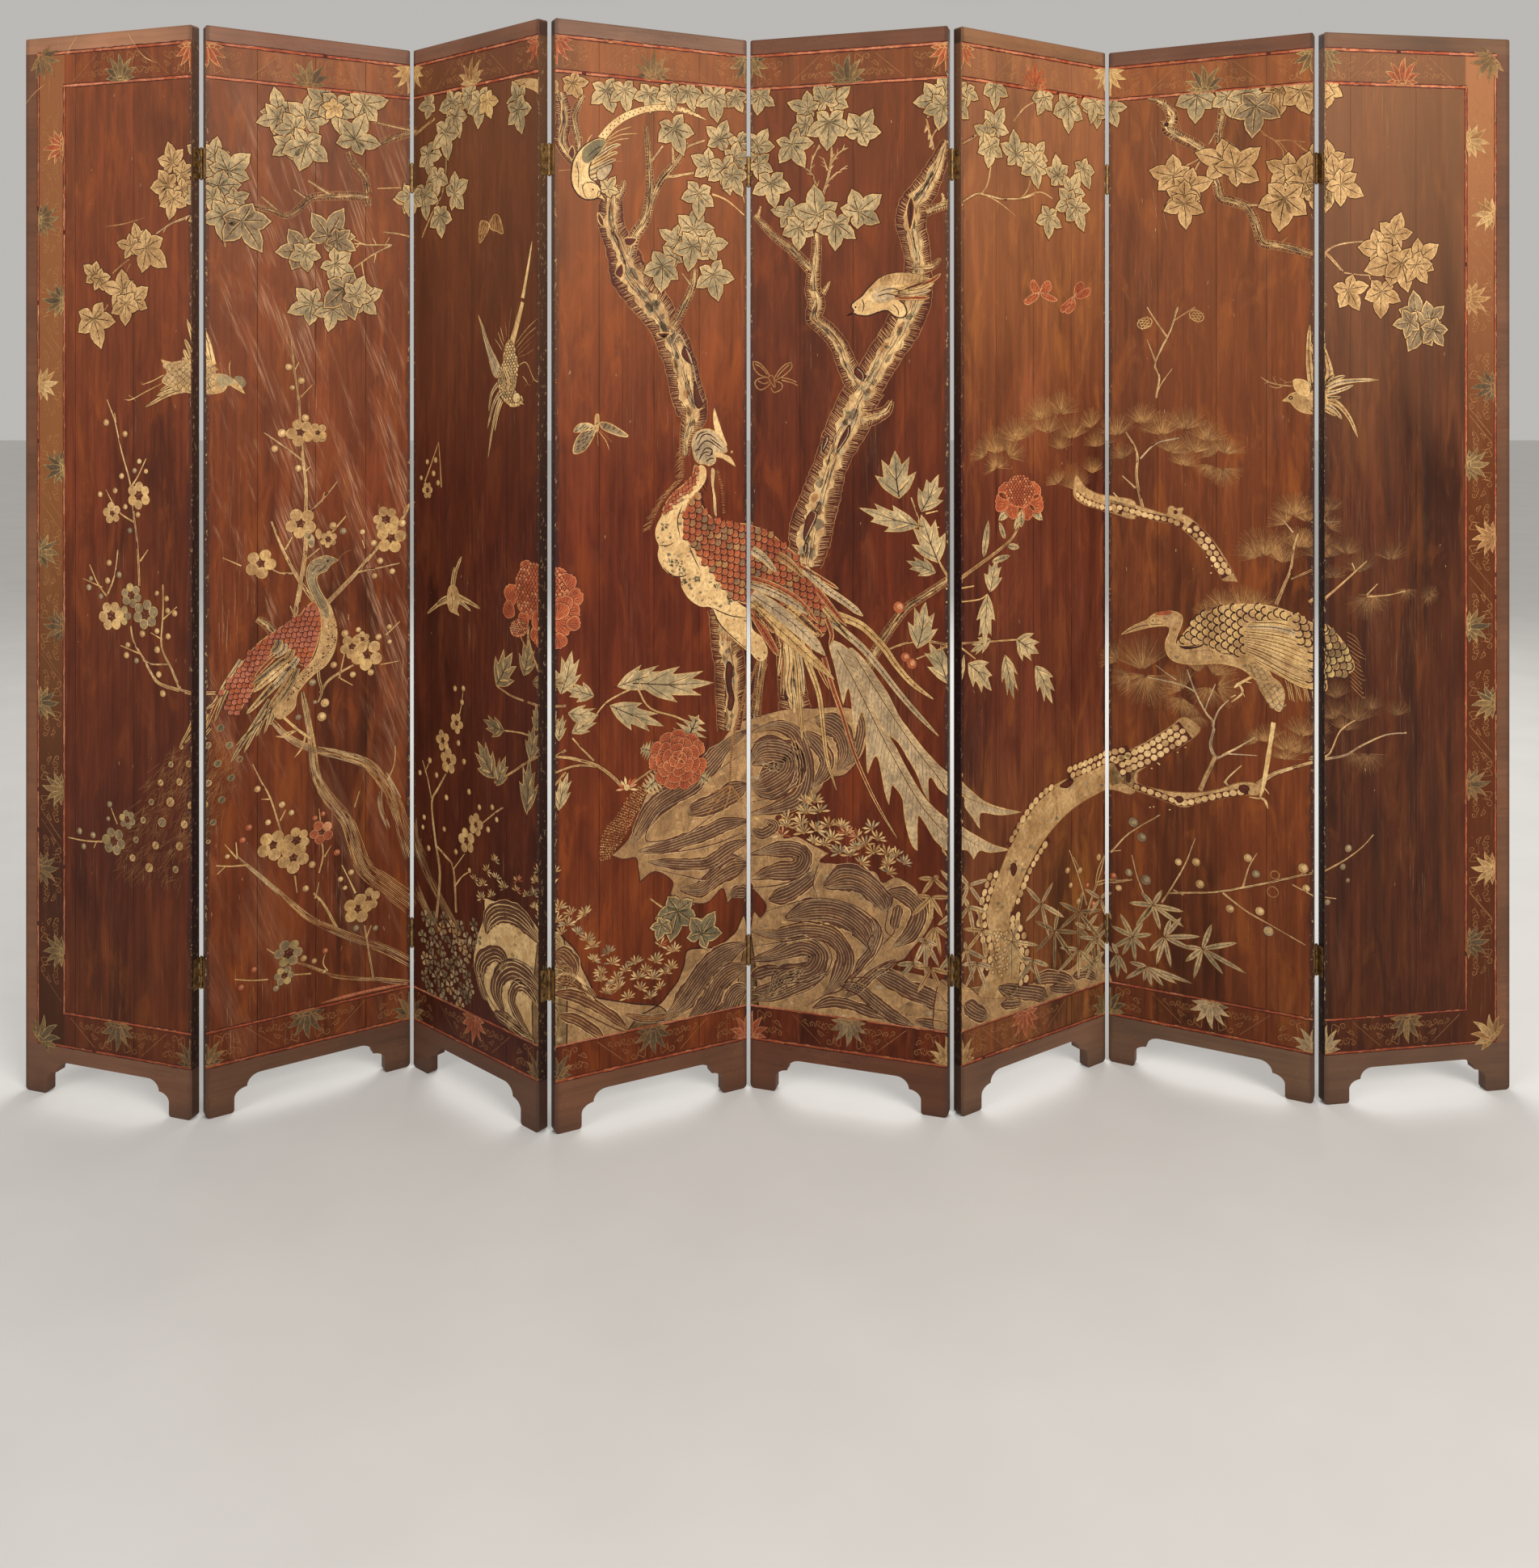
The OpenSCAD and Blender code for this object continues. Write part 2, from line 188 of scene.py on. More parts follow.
def normals(pts, closed=False):
    n = len(pts)
    out = []
    for i in range(n):
        a = pts[i - 1] if closed or i > 0 else pts[i]
        b = pts[(i + 1) % n] if closed or i + 1 < n else pts[i]
        dx, dz = b[0] - a[0], b[1] - a[1]
        d = math.hypot(dx, dz) or 1.0
        out.append((-dz / d, dx / d))
    return out


def ribbon(pts, widths, col, lift, closed=False):
    nn = normals(pts, closed)
    left = [(p[0] + q[0] * w / 2, p[1] + q[1] * w / 2) for p, q, w in zip(pts, nn, widths)]
    right = [(p[0] - q[0] * w / 2, p[1] - q[1] * w / 2) for p, q, w in zip(pts, nn, widths)]
    n = len(pts)
    for i in range(n if closed else n - 1):
        j = (i + 1) % n
        fill([right[i], right[j], left[j], left[i]], col, lift)
    return left, right


GAIN = {"dark": 1.3, "maroon": 1.3, "red_line": 1.0, "red_line_deep": 1.0, "needle": 1.0, "needle_light": 1.0, "needle_dark": 1.0, "line": 0.85}


def stroke(pts, w, col, lift, taper="both", closed=False, wobble=0.0):
    """A brush line. taper: both, end, start or none."""
    n = len(pts)
    ws = []
    for i in range(n):
        t = i / max(n - 1, 1)
        k = 1.0
        if not closed:
            if taper in ("both", "start"):
                k = min(k, 0.35 + 3.0 * t)
            if taper in ("both", "end"):
                k = min(k, 0.3 + 2.2 * (1 - t))
        ws.append(w * k * GAIN.get(col, 1.25) * (1 + wobble * (rnd.random() - 0.5)))
    ribbon(pts, ws, col, lift, closed)


def dot(c, r, col, lift, n=10, squash=1.0, a=0.0):
    ca, sa = math.cos(a), math.sin(a)
    pts = []
    for i in range(n):
        x, y = r * math.cos(2 * math.pi * i / n), squash * r * math.sin(2 * math.pi * i / n)
        pts.append((c[0] + ca * x - sa * y, c[1] + sa * x + ca * y))
    fill(pts, col, lift)


def frame2(c, ang, s, sy=None):
    """Local x to the right and y along the direction ang (degrees, 90 = up)."""
    a = math.radians(ang - 90)
    ca, sa = math.cos(a), math.sin(a)
    sy = s if sy is None else sy

    def f(x, y):
        x, y = x * s, y * sy
        return (c[0] + ca * x - sa * y, c[1] + sa * x + ca * y)
    return f


def inside(p, poly):
    x, y = p
    k = False
    j = len(poly) - 1
    for i in range(len(poly)):
        xi, yi = poly[i][0], poly[i][1]
        xj, yj = poly[j][0], poly[j][1]
        if (yi > y) != (yj > y) and x < (xj - xi) * (y - yi) / (yj - yi) + xi:
            k = not k
        j = i
    return k


def line_at(pts, t):
    """A point and its direction at share t of a polyline's length."""
    seg = [math.hypot(pts[i + 1][0] - pts[i][0], pts[i + 1][1] - pts[i][1]) for i in range(len(pts) - 1)]
    total = sum(seg) or 1
    d = max(0.0, min(1.0, t)) * total
    for i, s in enumerate(seg):
        if d <= s or i == len(seg) - 1:
            k = d / s if s else 0
            a, b = pts[i], pts[i + 1]
            return ((a[0] + (b[0] - a[0]) * k, a[1] + (b[1] - a[1]) * k), math.degrees(math.atan2(b[1] - a[1], b[0] - a[0])))
        d -= s


def length(pts):
    return sum(math.hypot(pts[i + 1][0] - pts[i][0], pts[i + 1][1] - pts[i][1]) for i in range(len(pts) - 1))


def jit(v):
    return (rnd.random() * 2 - 1) * v


# ---- leaves -------------------------------------------------------------------------------------------

LOBE = [(0.10, -0.02), (0.55, 0.18), (0.95, 0.42), (1.0, 0.56), (0.74, 0.78), (0.30, 0.93), (0.0, 1.06)]
LOBES = [(0, 1.0, 0.34), (64, 0.90, 0.31), (-64, 0.90, 0.31), (130, 0.66, 0.26), (-130, 0.66, 0.26)]


def five_lobed(c, r, ang, lift, body="olive", rim="gold", vein="dark", turn_in=1.0):
    """A leaf of five broad pointed lobes round its middle, dark outside, with a pale rim and a cut vein in each lobe."""
    lobes = []
    hub = frame2(c, ang, r * turn_in, r)(0, -0.12)
    for da, ll, wd in LOBES:
        ll, wd = ll * (1 + jit(0.09)), wd * (1 + jit(0.10))
        lobes.append((ang + da + jit(6), ll * r * (1.0 if da else 1.1), wd * r, jit(0.10)))
    for grow, col, up in ((1.7, "dark", 0.0), (0.4, rim, 0.012), (-1.5, body, 0.024)):
        for a, ll, wd, lean in lobes:
            f = frame2(hub, a, 1)
            half = [((wd + grow) * x, (ll + grow * 1.6) * y) for x, y in LOBE]
            pts = [(x + lean * y * 0.5, y) for x, y in half] + [(-x + lean * y * 0.5, y) for x, y in half[:-1]][::-1]
            fill([f(x, y) for x, y in pts], col, lift + up)
    w = max(1.0, r * 0.026)
    for i, (a, ll, wd, lean) in enumerate(lobes):
        f = frame2(hub, a, 1)
        bend = jit(0.10) * wd
        pts = smooth([f(0, ll * 0.10), f(bend + lean * ll * 0.2, ll * 0.45), f(lean * ll * 0.4, ll * 0.92)], 4)
        side = smooth([f(1.5, ll * 0.08), f(bend + 1.9 + lean * ll * 0.2, ll * 0.45), f(lean * ll * 0.4 + 0.8, ll * 0.88)], 4)
        stroke(side, w * 0.9, rim, lift + 0.032, taper="both", wobble=0.5)
        stroke(pts, w, vein, lift + 0.038, taper="end")
        if r > 26:
            for t in (0.40, 0.66):
                q, d = line_at(pts, t)
                for s in (-1, 1):
                    aa = math.radians(d + s * (38 + jit(8)))
                    k = wd * (0.62 if t < 0.5 else 0.45)
                    stroke([q, (q[0] + k * math.cos(aa), q[1] + k * math.sin(aa))], w * 0.5, vein, lift + 0.034, taper="end")


def maples(items, lift=0.30, body="olive", rim="gold", vein="dark", dl=0.05):
    """items: (px, py, radius in layout units, direction of the tip in degrees)."""
    for px, py, r, ang in items:
        five_lobed(m(px, py), 1.19 * r * mm(px), ang, lift, body, rim, vein)
        lift += dl


def simple_leaf(c, length_, width, ang, lift, body="olive", rim="gold", vein="dark", serrate=0, veins=3):
    f = frame2(c, ang, width / 2, length_)
    n = 7
    side_r, side_l = [], []
    for i in range(n + 1):
        t = i / n
        x = math.sin(math.pi * min(1, t * 0.92 + 0.04)) ** 0.8 * (1 - 0.25 * t)
        if serrate and 0 < i < n:
            side_r.append((x * (1 + serrate), t + 0.03))
            side_r.append((x * (1 - serrate * 0.7), t + 0.06))
        else:
            side_r.append((x if 0 < i < n else 0, t))
    side_l = [(-x, t) for x, t in side_r[1:-1]][::-1]
    out = [f(x, t) for x, t in side_r + side_l]
    if width > 12:
        stroke(out, 1.9, "dark", lift - 0.004, closed=True)
    fill(out, body, lift)
    stroke(out, max(0.9, width * 0.055), rim, lift + 0.03, closed=True, wobble=0.4)
    stroke([f(0, 0), f(0.04, 0.5), f(0, 0.97)], max(0.9, width * 0.06), vein, lift + 0.035, taper="end")
    for i in range(veins):
        t = 0.22 + 0.6 * i / max(veins - 1, 1)
        for s in (-1, 1):
            stroke([f(0, t), f(s * 0.62 * math.sin(math.pi * t), t + 0.15)], max(0.6, width * 0.035), vein, lift + 0.022, taper="end")


def lobed_leaf(c, length_, width, ang, lift, body="olive", rim="gold", vein="dark"):
    """A peony's leaf: pointed lobes along both sides of one rib, pale and dark in streaks between its veins."""
    bend = jit(0.16)
    f0 = frame2(c, ang, width * 0.56, length_)

    def f(x, y):
        return f0(x + bend * math.sin(math.pi * min(1, y)), y)
    k = 1 + jit(0.06)
    half = [(0.05, 0.0), (0.40, 0.14), (0.66, 0.30), (0.92, 0.58 * k, 1), (0.56, 0.50), (0.54, 0.62), (0.62, 0.94 * k, 1), (0.30, 0.80), (0.18, 0.94)]
    pts = half + [(0.0, 1.16, 1)] + [(-p[0], p[1] * (1 + jit(0.04))) + p[2:] for p in half][::-1]
    out = smooth([f(p[0], p[1]) + tuple(p[2:]) for p in pts], 2, True)
    stroke(out, 1.5, "ground", lift - 0.004, closed=True)
    fill(out, body, lift)
    pale = {"olive": "cream", "green": "olive", "tan": "cream"}.get(body, "gold")
    for s in (-1, 1):
        for x, y0, y1 in ((0.62, 0.12, 0.44), (0.42, 0.42, 0.80)):
            if rnd.random() < 0.62:
                a, b = f(s * 0.06, y0 + 0.07), f(s * x, y1)
                mid = ((a[0] + b[0]) / 2, (a[1] + b[1]) / 2)
                ribbon([a, mid, b], [1.2, width * 0.10, 1.0], pale, lift + 0.012)
    stroke(out, max(0.8, width * 0.020), rim, lift + 0.03, closed=True, wobble=0.6)
    stroke([f(0, -0.12), f(0.02, 0.45), f(0, 1.02)], max(0.9, width * 0.024), vein, lift + 0.025, taper="end")
    for s in (-1, 1):
        for x, y0, y1 in ((0.76, 0.10, 0.50), (0.50, 0.42, 0.86)):
            stroke([f(0, y0), f(s * x * 0.5, (y0 + y1) / 2 - 0.01), f(s * x, y1)], max(0.7, width * 0.015), vein, lift + 0.022, taper="end")


# ---- flowers ------------------------------------------------------------------------------------------

def plum(c, r, lift, petal="tan", rim="gold", heart="gold", rot=90, turn_in=1.0):
    """Round petals that stand apart round an open middle with a few grains in it."""
    n = 6 if rnd.random() < 0.35 else 5
    q = (0.39 if n == 5 else 0.33) * r
    dot(c, 0.40 * r, "ground", lift - 0.01, 12)
    for i in range(n):
        a = math.radians(rot + 360 / n * i + jit(4))
        p = (c[0] + 0.66 * r * math.cos(a) * turn_in, c[1] + 0.66 * r * math.sin(a))
        s = q * (1 + jit(0.07))
        ring = [(p[0] + s * math.cos(b) * turn_in, p[1] + s * math.sin(b)) for b in [2 * math.pi * k / 12 for k in range(12)]]
        dot(p, s + 1.1, "dark", lift, 12)
        fill(ring, petal if rnd.random() < 0.75 else rim, lift + 0.012)
        stroke(ring, max(0.8, r * 0.045), rim, lift + 0.03, closed=True, wobble=0.6)
        stroke([(c[0] + 0.42 * r * math.cos(a), c[1] + 0.42 * r * math.sin(a)),
                (c[0] + 0.70 * r * math.cos(a), c[1] + 0.70 * r * math.sin(a))], max(0.6, r * 0.03), "dull", lift + 0.02, taper="end")
        lift += 0.002
    for i in range(7):
        a = rnd.random() * math.tau
        s = 0.26 * r * rnd.random() ** 0.5
        dot((c[0] + s * math.cos(a), c[1] + s * math.sin(a)), max(0.55, r * 0.035), heart, lift + 0.04, 6)


def plum_dots(c, r, lift, n=5, col="gold", rot=90, size=0.3):
    """A blossom seen as round dabs."""
    for i in range(n):
        a = math.radians(rot + 360 / n * i + jit(6))
        dot((c[0] + 0.62 * r * math.cos(a), c[1] + 0.62 * r * math.sin(a)), size * r * (1 + jit(0.12)), col, lift)
    dot(c, 0.2 * r, col, lift)


def bud(c, r, lift, col="gold", ring=True):
    dot(c, r + 0.9, "ground", lift - 0.004, 10)
    dot(c, r, col, lift, 10)
    if ring and r > 3:
        dot((c[0] + r * 0.18, c[1] + r * 0.12), r * 0.52, {"tan": "cream", "dull": "olive", "coral": "coral_light"}.get(col, "gold"), lift + 0.02, 8)


def peony(c, r, lift, base="rose", rim="rose_light", dark="maroon", ang=90, squash=1.0):
    """A full flower: wide ruffled petals in three rings round a small heart."""
    f = frame2(c, ang, r, r * squash)

    def petal(cx, cy, rad, a, wide, lift):
        g = frame2(f(cx, cy), ang - 90 + a, rad * r * wide, rad * r)
        pts = [(-0.22, -0.7), (-0.75, -0.25), (-1.0, 0.25), (-0.92, 0.62), (-0.60, 0.86), (-0.34, 0.78, 1), (-0.12, 0.98), (0.10, 0.86, 1), (0.34, 1.0),
               (0.52, 0.80, 1), (0.86, 0.66), (1.0, 0.22), (0.72, -0.25), (0.22, -0.7)]
        k = [1 + jit(0.05) for _ in pts]
        out = smooth([g(p[0] * k[i], p[1] * k[i]) + p[2:] for i, p in enumerate(pts)], 3, True)
        stroke(out, 2.0, "dark", lift - 0.004, closed=True)
        fill(out, base, lift)
        stroke(out, max(1.3, r * 0.034), rim, lift + 0.03, closed=True, wobble=0.5)
        for q in (-0.62, -0.36, -0.12, 0.12, 0.36, 0.62):
            stroke([g(q * 0.5, -0.2), g(q * 0.95, 0.25), g(q * 1.12, 0.66 - abs(q) * 0.25)], max(0.6, r * 0.011), dark, lift + 0.02, taper="both")
            if abs(q) > 0.2:
                stroke([g(q * 0.8, 0.1), g(q * 1.15, 0.5)], max(0.8, r * 0.016), rim, lift + 0.024, taper="both")
    for n, ring, rad, turn in ((6, 0.54, 0.46, 20), (5, 0.30, 0.42, 55), (3, 0.12, 0.28, 10)):
        for i in range(n):
            a = turn + i * 360 / n + jit(9)
            q = math.radians(a + 90)
            petal(ring * math.cos(q), ring * math.sin(q), rad * (1 + jit(0.08)), a, 0.98, lift)
            lift += 0.045
    for i in range(7):
        a = math.radians(i * 51 + jit(10))
        dot(f(0.07 * math.cos(a), 0.07 * math.sin(a)), r * 0.032, rim, lift + 0.02, 7)


# ---- wood ---------------------------------------------------------------------------------------------

def bough(pts, widths, lift, body="bark", rim="gold", dark="dark", hatch=1.0, fringe=True, knots=0, k=6):
    """A trunk or branch: a smooth mottled middle, a dark band with short pale cuts along each side and a thin line outside.
    pts in layout units, widths in mm at the points."""
    raw = [m(p[0], p[1]) for p in pts]
    c = smooth(raw, k)
    ws = []
    n = len(raw)
    for i in range(len(c)):
        t = i / (len(c) - 1) * (n - 1)
        a = min(int(t), n - 2)
        ws.append((widths[a] + (widths[a + 1] - widths[a]) * (t - a)) * (1 + jit(0.05)))
    total = length(c)
    norm = normals(c)
    if max(ws) < 11:
        ribbon(c, [w + 1.8 for w in ws], "ground", lift - 0.02)
        side = []
        for s in (-0.5, 0.5):
            side.append([(q[0] + s * v[0] * w, q[1] + s * v[1] * w) for q, v, w in zip(c, norm, ws)])
        ribbon(c, [w * 0.45 for w in ws], body, lift)
        for s in side:
            stroke(s, 0.7, rim, lift + 0.03, taper="none", wobble=0.6)
        for i in range(int(total / 3.4)):
            p, d = line_at(c, (i + 0.5 + jit(0.3)) * 3.4 / total)
            w = max(ws) * 0.5
            q = math.radians(d + 90 + jit(18))
            stroke([(p[0] - w * 0.9 * math.cos(q), p[1] - w * 0.9 * math.sin(q)), (p[0] + w * 0.9 * math.cos(q), p[1] + w * 0.9 * math.sin(q))], 0.9,
                   "dark" if i % 2 else rim, lift + 0.035)
        return c
    far = 3.4 if max(ws) > 24 else 2.0
    ribbon(c, [w + 2 * far for w in ws], "ground", lift - 0.05)
    for s in (-1, 1):
        out = [(q[0] + s * v[0] * (w / 2 + far), q[1] + s * v[1] * (w / 2 + far)) for q, v, w in zip(c, norm, ws)]
        stroke(out, 0.85, "ochre", lift - 0.045, taper="none", wobble=0.5)
    steps = int(total / 3.3)
    core = 0.52 if max(ws) > 24 else 0.50
    for i in range(steps):
        t = (i + 0.5 + jit(0.25)) / steps
        p, d = line_at(c, t)
        w = ws[min(int(t * (len(c) - 1)), len(c) - 1)]
        q = math.radians(d + 90)
        for s in (-1, 1):
            lean = math.radians(d + s * 90 + s * 16 + jit(9))
            o = s * w * (core / 2 - 0.05)
            root = (p[0] + o * math.cos(q), p[1] + o * math.sin(q))
            ll = w * (0.5 - core / 2 + 0.05) * (1.0 + jit(0.16)) + 1.2
            stroke([root, (root[0] + ll * math.cos(lean), root[1] + ll * math.sin(lean))], 1.2, rnd.choice((body, rim, "ochre", "tan")), lift - 0.01, taper="end")
    side = [[], []]
    o = [0.0, 0.0]
    for i, (q, v, w) in enumerate(zip(c, norm, ws)):
        for e, s in ((0, 1), (1, -1)):
            o[e] = o[e] * 0.6 + jit(0.075)
            side[e].append((q[0] + s * v[0] * w * (core / 2 + o[e]), q[1] + s * v[1] * w * (core / 2 + o[e])))
    for i in range(len(c) - 1):
        fill([side[0][i], side[0][i + 1], side[1][i + 1], side[1][i]], body, lift)
    # weathered patches, grey, brown and pale, drawn out along the wood
    for i in range(int(total / 7.5)):
        t = rnd.random()
        p, d = line_at(c, t)
        w = ws[min(int(t * (len(c) - 1)), len(c) - 1)] * core
        q = math.radians(d)
        u = jit(0.34) * w
        cx, cy = p[0] - u * math.sin(q), p[1] + u * math.cos(q)
        la, lb = 4 + 9 * rnd.random(), w * (0.08 + 0.16 * rnd.random())
        blob = []
        for z in range(9):
            g = 2 * math.pi * z / 9
            x, y = la * math.cos(g) * (1 + jit(0.3)), lb * math.sin(g) * (1 + jit(0.35))
            blob.append((cx + x * math.cos(q) - y * math.sin(q), cy + x * math.sin(q) + y * math.cos(q)))
        fill(blob, rnd.choice(("dull", "dull", "silver", "ochre", "olive", "cream")), lift + 0.012)
    for s in side:
        stroke(s, 0.9, dark, lift + 0.024, taper="none", wobble=0.9)
        stroke([(p[0] + 0.8, p[1] + 0.4) for p in s], 0.7, rim, lift + 0.03, taper="none", wobble=0.9)
    for i in range(int(total / 20 * hatch)):
        t0 = rnd.random() * 0.92
        off = jit(0.15)
        run = []
        for j in range(5):
            t = min(1.0, t0 + j * (8 + 0.10 * max(ws)) / total)
            p, d = line_at(c, t)
            w = ws[min(int(t * (len(c) - 1)), len(c) - 1)]
            q = math.radians(d + 90)
            u = off * w + jit(0.03) * w
            run.append((p[0] + u * math.cos(q), p[1] + u * math.sin(q)))
        stroke(run, 0.85, dark, lift + 0.025)
    for i in range(knots):
        p, d = line_at(c, (i + 0.5 + jit(0.2)) / knots)
        w = ws[min(int((i + 0.5) / knots * (len(c) - 1)), len(c) - 1)]
        dot(p, w * 0.24, "ground", lift + 0.05, 12, 1.9, math.radians(d) + math.pi / 2 + math.pi)
        dot(p, w * 0.30, rim, lift + 0.046, 12, 1.9, math.radians(d) + math.pi / 2 + math.pi)
    return c


def twig(pts, w0, w1, lift, col="gold", dark="dark", k=5, line=True, thorns=0):
    """A thin branch. A wider one is only a bundle of fine broken lines along it."""
    c = smooth([m(p[0], p[1]) for p in pts], k)
    n = len(c)
    ws = [w0 + (w1 - w0) * i / (n - 1) for i in range(n)]
    big = max(w0, w1)
    if big < 4.6:
        ribbon(c, [w * 0.82 * (1 + jit(0.22)) + 0.5 for w in ws], col, lift)
    else:
        norm = normals(c)
        ribbon(c, [w + 0.9 for w in ws], "ground", lift - 0.01)
        rows = max(2, int(big / 2.6))
        light = {"bark": "gold", "tan": "cream", "silver": "cream", "gold": "tan"}.get(col, "gold")
        for q in range(rows):
            o = ((q + 0.5) / rows - 0.5) * 0.86
            i = 0
            while i < n - 1:
                j = min(n - 1, i + rnd.randint(3, 9))
                run = [(c[a][0] + norm[a][0] * ws[a] * o + jit(0.18), c[a][1] + norm[a][1] * ws[a] * o + jit(0.18)) for a in range(i, j + 1)]
                stroke(run, 1.15, col if rnd.random() < 0.6 else light, lift + 0.01, taper="none", wobble=0.7)
                i = j + (1 if rnd.random() < 0.25 else 0)
    for i in range(thorns):
        t = (i + 0.5 + jit(0.3)) / thorns
        p, d = line_at(c, t)
        s = 1 if rnd.random() < 0.5 else -1
        a = math.radians(d + s * (38 + jit(12)))
        ll = 6 + 9 * rnd.random()
        stroke([p, (p[0] + ll * math.cos(a), p[1] + ll * math.sin(a))], max(1.2, w1 * 0.8), col, lift, taper="end")
    return c


def needles(px, py, r, a0, a1, lift, n=26, col="needle", mid=True):
    """A fan of fine pine needles from one point."""
    c = m(px, py)
    rr = r * mm(px) * 1.14
    for i in range(n):
        a = math.radians(a0 + (a1 - a0) * (i + 0.5 + jit(0.35)) / n)
        ll = rr * (0.80 + 0.20 * rnd.random())
        stroke([(c[0] + 0.05 * ll * math.cos(a), c[1] + 0.05 * ll * math.sin(a)), (c[0] + ll * math.cos(a), c[1] + ll * math.sin(a))],
               1.1, col if rnd.random() < 0.7 else ("needle_light" if col == "needle" else "needle"), lift + 0.004 * (i % 3), taper="end")


# ---- feathers, scales ----------------------------------------------------------------------------------

def feather(pts, w0, w1, lift, body="silver", rim="gold", dark="dark", barbs=0, k=6, shaft=True, pointed=True, profile=None):
    """A long feather on a centre line in layout units; widths in mm at its start and end."""
    c = smooth([m(p[0], p[1]) for p in pts], k)
    n = len(c)
    ws = []
    for i in range(n):
        t = i / (n - 1)
        w = w0 + (w1 - w0) * t
        if profile:
            w *= profile(t)
        if pointed:
            w *= min(1.0, (1 - t) * 6 + 0.05)
        ws.append(w)
    ribbon(c, [w + 2.8 for w in ws], "dark", lift - 0.008)
    left, right = ribbon(c, ws, body, lift)
    stroke(left, 1.1, rim, lift + 0.03, taper="none")
    stroke(right, 1.1, rim, lift + 0.03, taper="none")
    if shaft:
        stroke(c, 1.1, dark, lift + 0.035, taper="end")
    if barbs:
        for i in range(barbs):
            t = (i + 0.5) / barbs
            p, d = line_at(c, t)
            w = ws[min(int(t * (n - 1)), n - 1)]
            for s in (-1, 1):
                a = math.radians(d + s * 35)
                stroke([p, (p[0] + w * 0.62 * math.cos(a), p[1] + w * 0.62 * math.sin(a))], 0.8, dark, lift + 0.032, taper="end")
    return c


def scale_arcs(poly, size, ang, lift, rim="gold", body=None, dark="dark", dense=1.0, squash=1.0, fills=None):
    """Rows of feather scales inside an outline in mm, each with a dark edge. ang: the way that the scales point."""
    xs, ys = [p[0] for p in poly], [p[1] for p in poly]
    cx, cy = (min(xs) + max(xs)) / 2, (min(ys) + max(ys)) / 2
    f = frame2((cx, cy), ang, 1)
    span = math.hypot(max(xs) - min(xs), max(ys) - min(ys)) / 2 + size
    pitch = size * 0.66

    def arc(x, y, a0, a1, n):
        return [(x + 0.5 * size * math.cos(b), y + 0.58 * size * squash * math.sin(b)) for b in [math.radians(a0 + (a1 - a0) * i / n) for i in range(n + 1)]]
    for r in range(int(2 * span / pitch)):
        y = -span + r * pitch
        shift, up = jit(0.16) * size, 0.005 * (r % 2)
        for q in range(int(2 * span / size) + 1):
            x = -span + (q + 0.5 * (r % 2)) * size + shift
            p = f(x, y)
            if not inside(p, poly):
                continue
            own = [f(*v) for v in arc(x, y, 4, 176, 6)]
            tone = rnd.choice(fills) if fills else body
            if tone:
                below = arc(x - size / 2, y - pitch, 90, 4, 2) + arc(x + size / 2, y - pitch, 176, 90, 2)[1:]
                fill(own + [f(*v) for v in below], tone, lift + up)
            stroke(own, max(1.3, size * 0.125), dark, lift + 0.012 + up, taper="none", wobble=0.4)
            if size > 7:
                stroke([(v[0] + (p[0] - v[0]) * 0.20, v[1] + (p[1] - v[1]) * 0.20) for v in own[1:-1]], max(0.7, size * 0.045), rim, lift + 0.008 + up, taper="both", wobble=0.7)


def shape(pts, col, lift, rim=None, w=1.3, k=5):
    """A filled closed curve in layout units, with an outline. Returns it in mm."""
    out = smooth([m(p[0], p[1]) + tuple(p[2:]) for p in pts], k, True)
    fill(out, col, lift)
    if rim:
        stroke(out, w, rim, lift + 0.03, closed=True, wobble=0.4)
    return out


def line(pts, w, col, lift, taper="both", k=5, wobble=0.3):
    c = smooth([m(p[0], p[1]) + tuple(p[2:]) for p in pts], k)
    stroke(c, w, col, lift, taper, wobble=wobble)
    return c


def hatch(poly, ang, gap, ll, w, col, lift, bend=0.0, jitter=0.4):
    """Short strokes inside an outline in mm."""
    xs, ys = [p[0] for p in poly], [p[1] for p in poly]
    y = min(ys)
    while y < max(ys):
        x = min(xs)
        while x < max(xs):
            p = (x + jit(gap * jitter), y + jit(gap * jitter))
            if inside(p, poly):
                a = math.radians(ang + jit(10))
                q = (p[0] + ll * math.cos(a), p[1] + ll * math.sin(a))
                if inside(q, poly):
                    mid = ((p[0] + q[0]) / 2 - bend * math.sin(a), (p[1] + q[1]) / 2 + bend * math.cos(a))
                    stroke(smooth([p, mid, q], 3), w, col, lift)
            x += gap * 1.4
        y += gap

# ---- the border: red lines, scrolls and palmettes -----------------------------------------------------

OUT_TOP, IN_TOP, OUT_LOW, IN_LOW = 2096.0, 2029.0, 101.5, 168.0
OUT_SIDE, IN_SIDE = 32.0, 97.5
PAIR = {"lotus": "lotus_dark", "lotus_dark": "lotus", "olive_gold": "lotus", "tan": "ochre", "coral": "rose", "gold": "tan", "dull": "lotus_dark", "silver": "dull"}


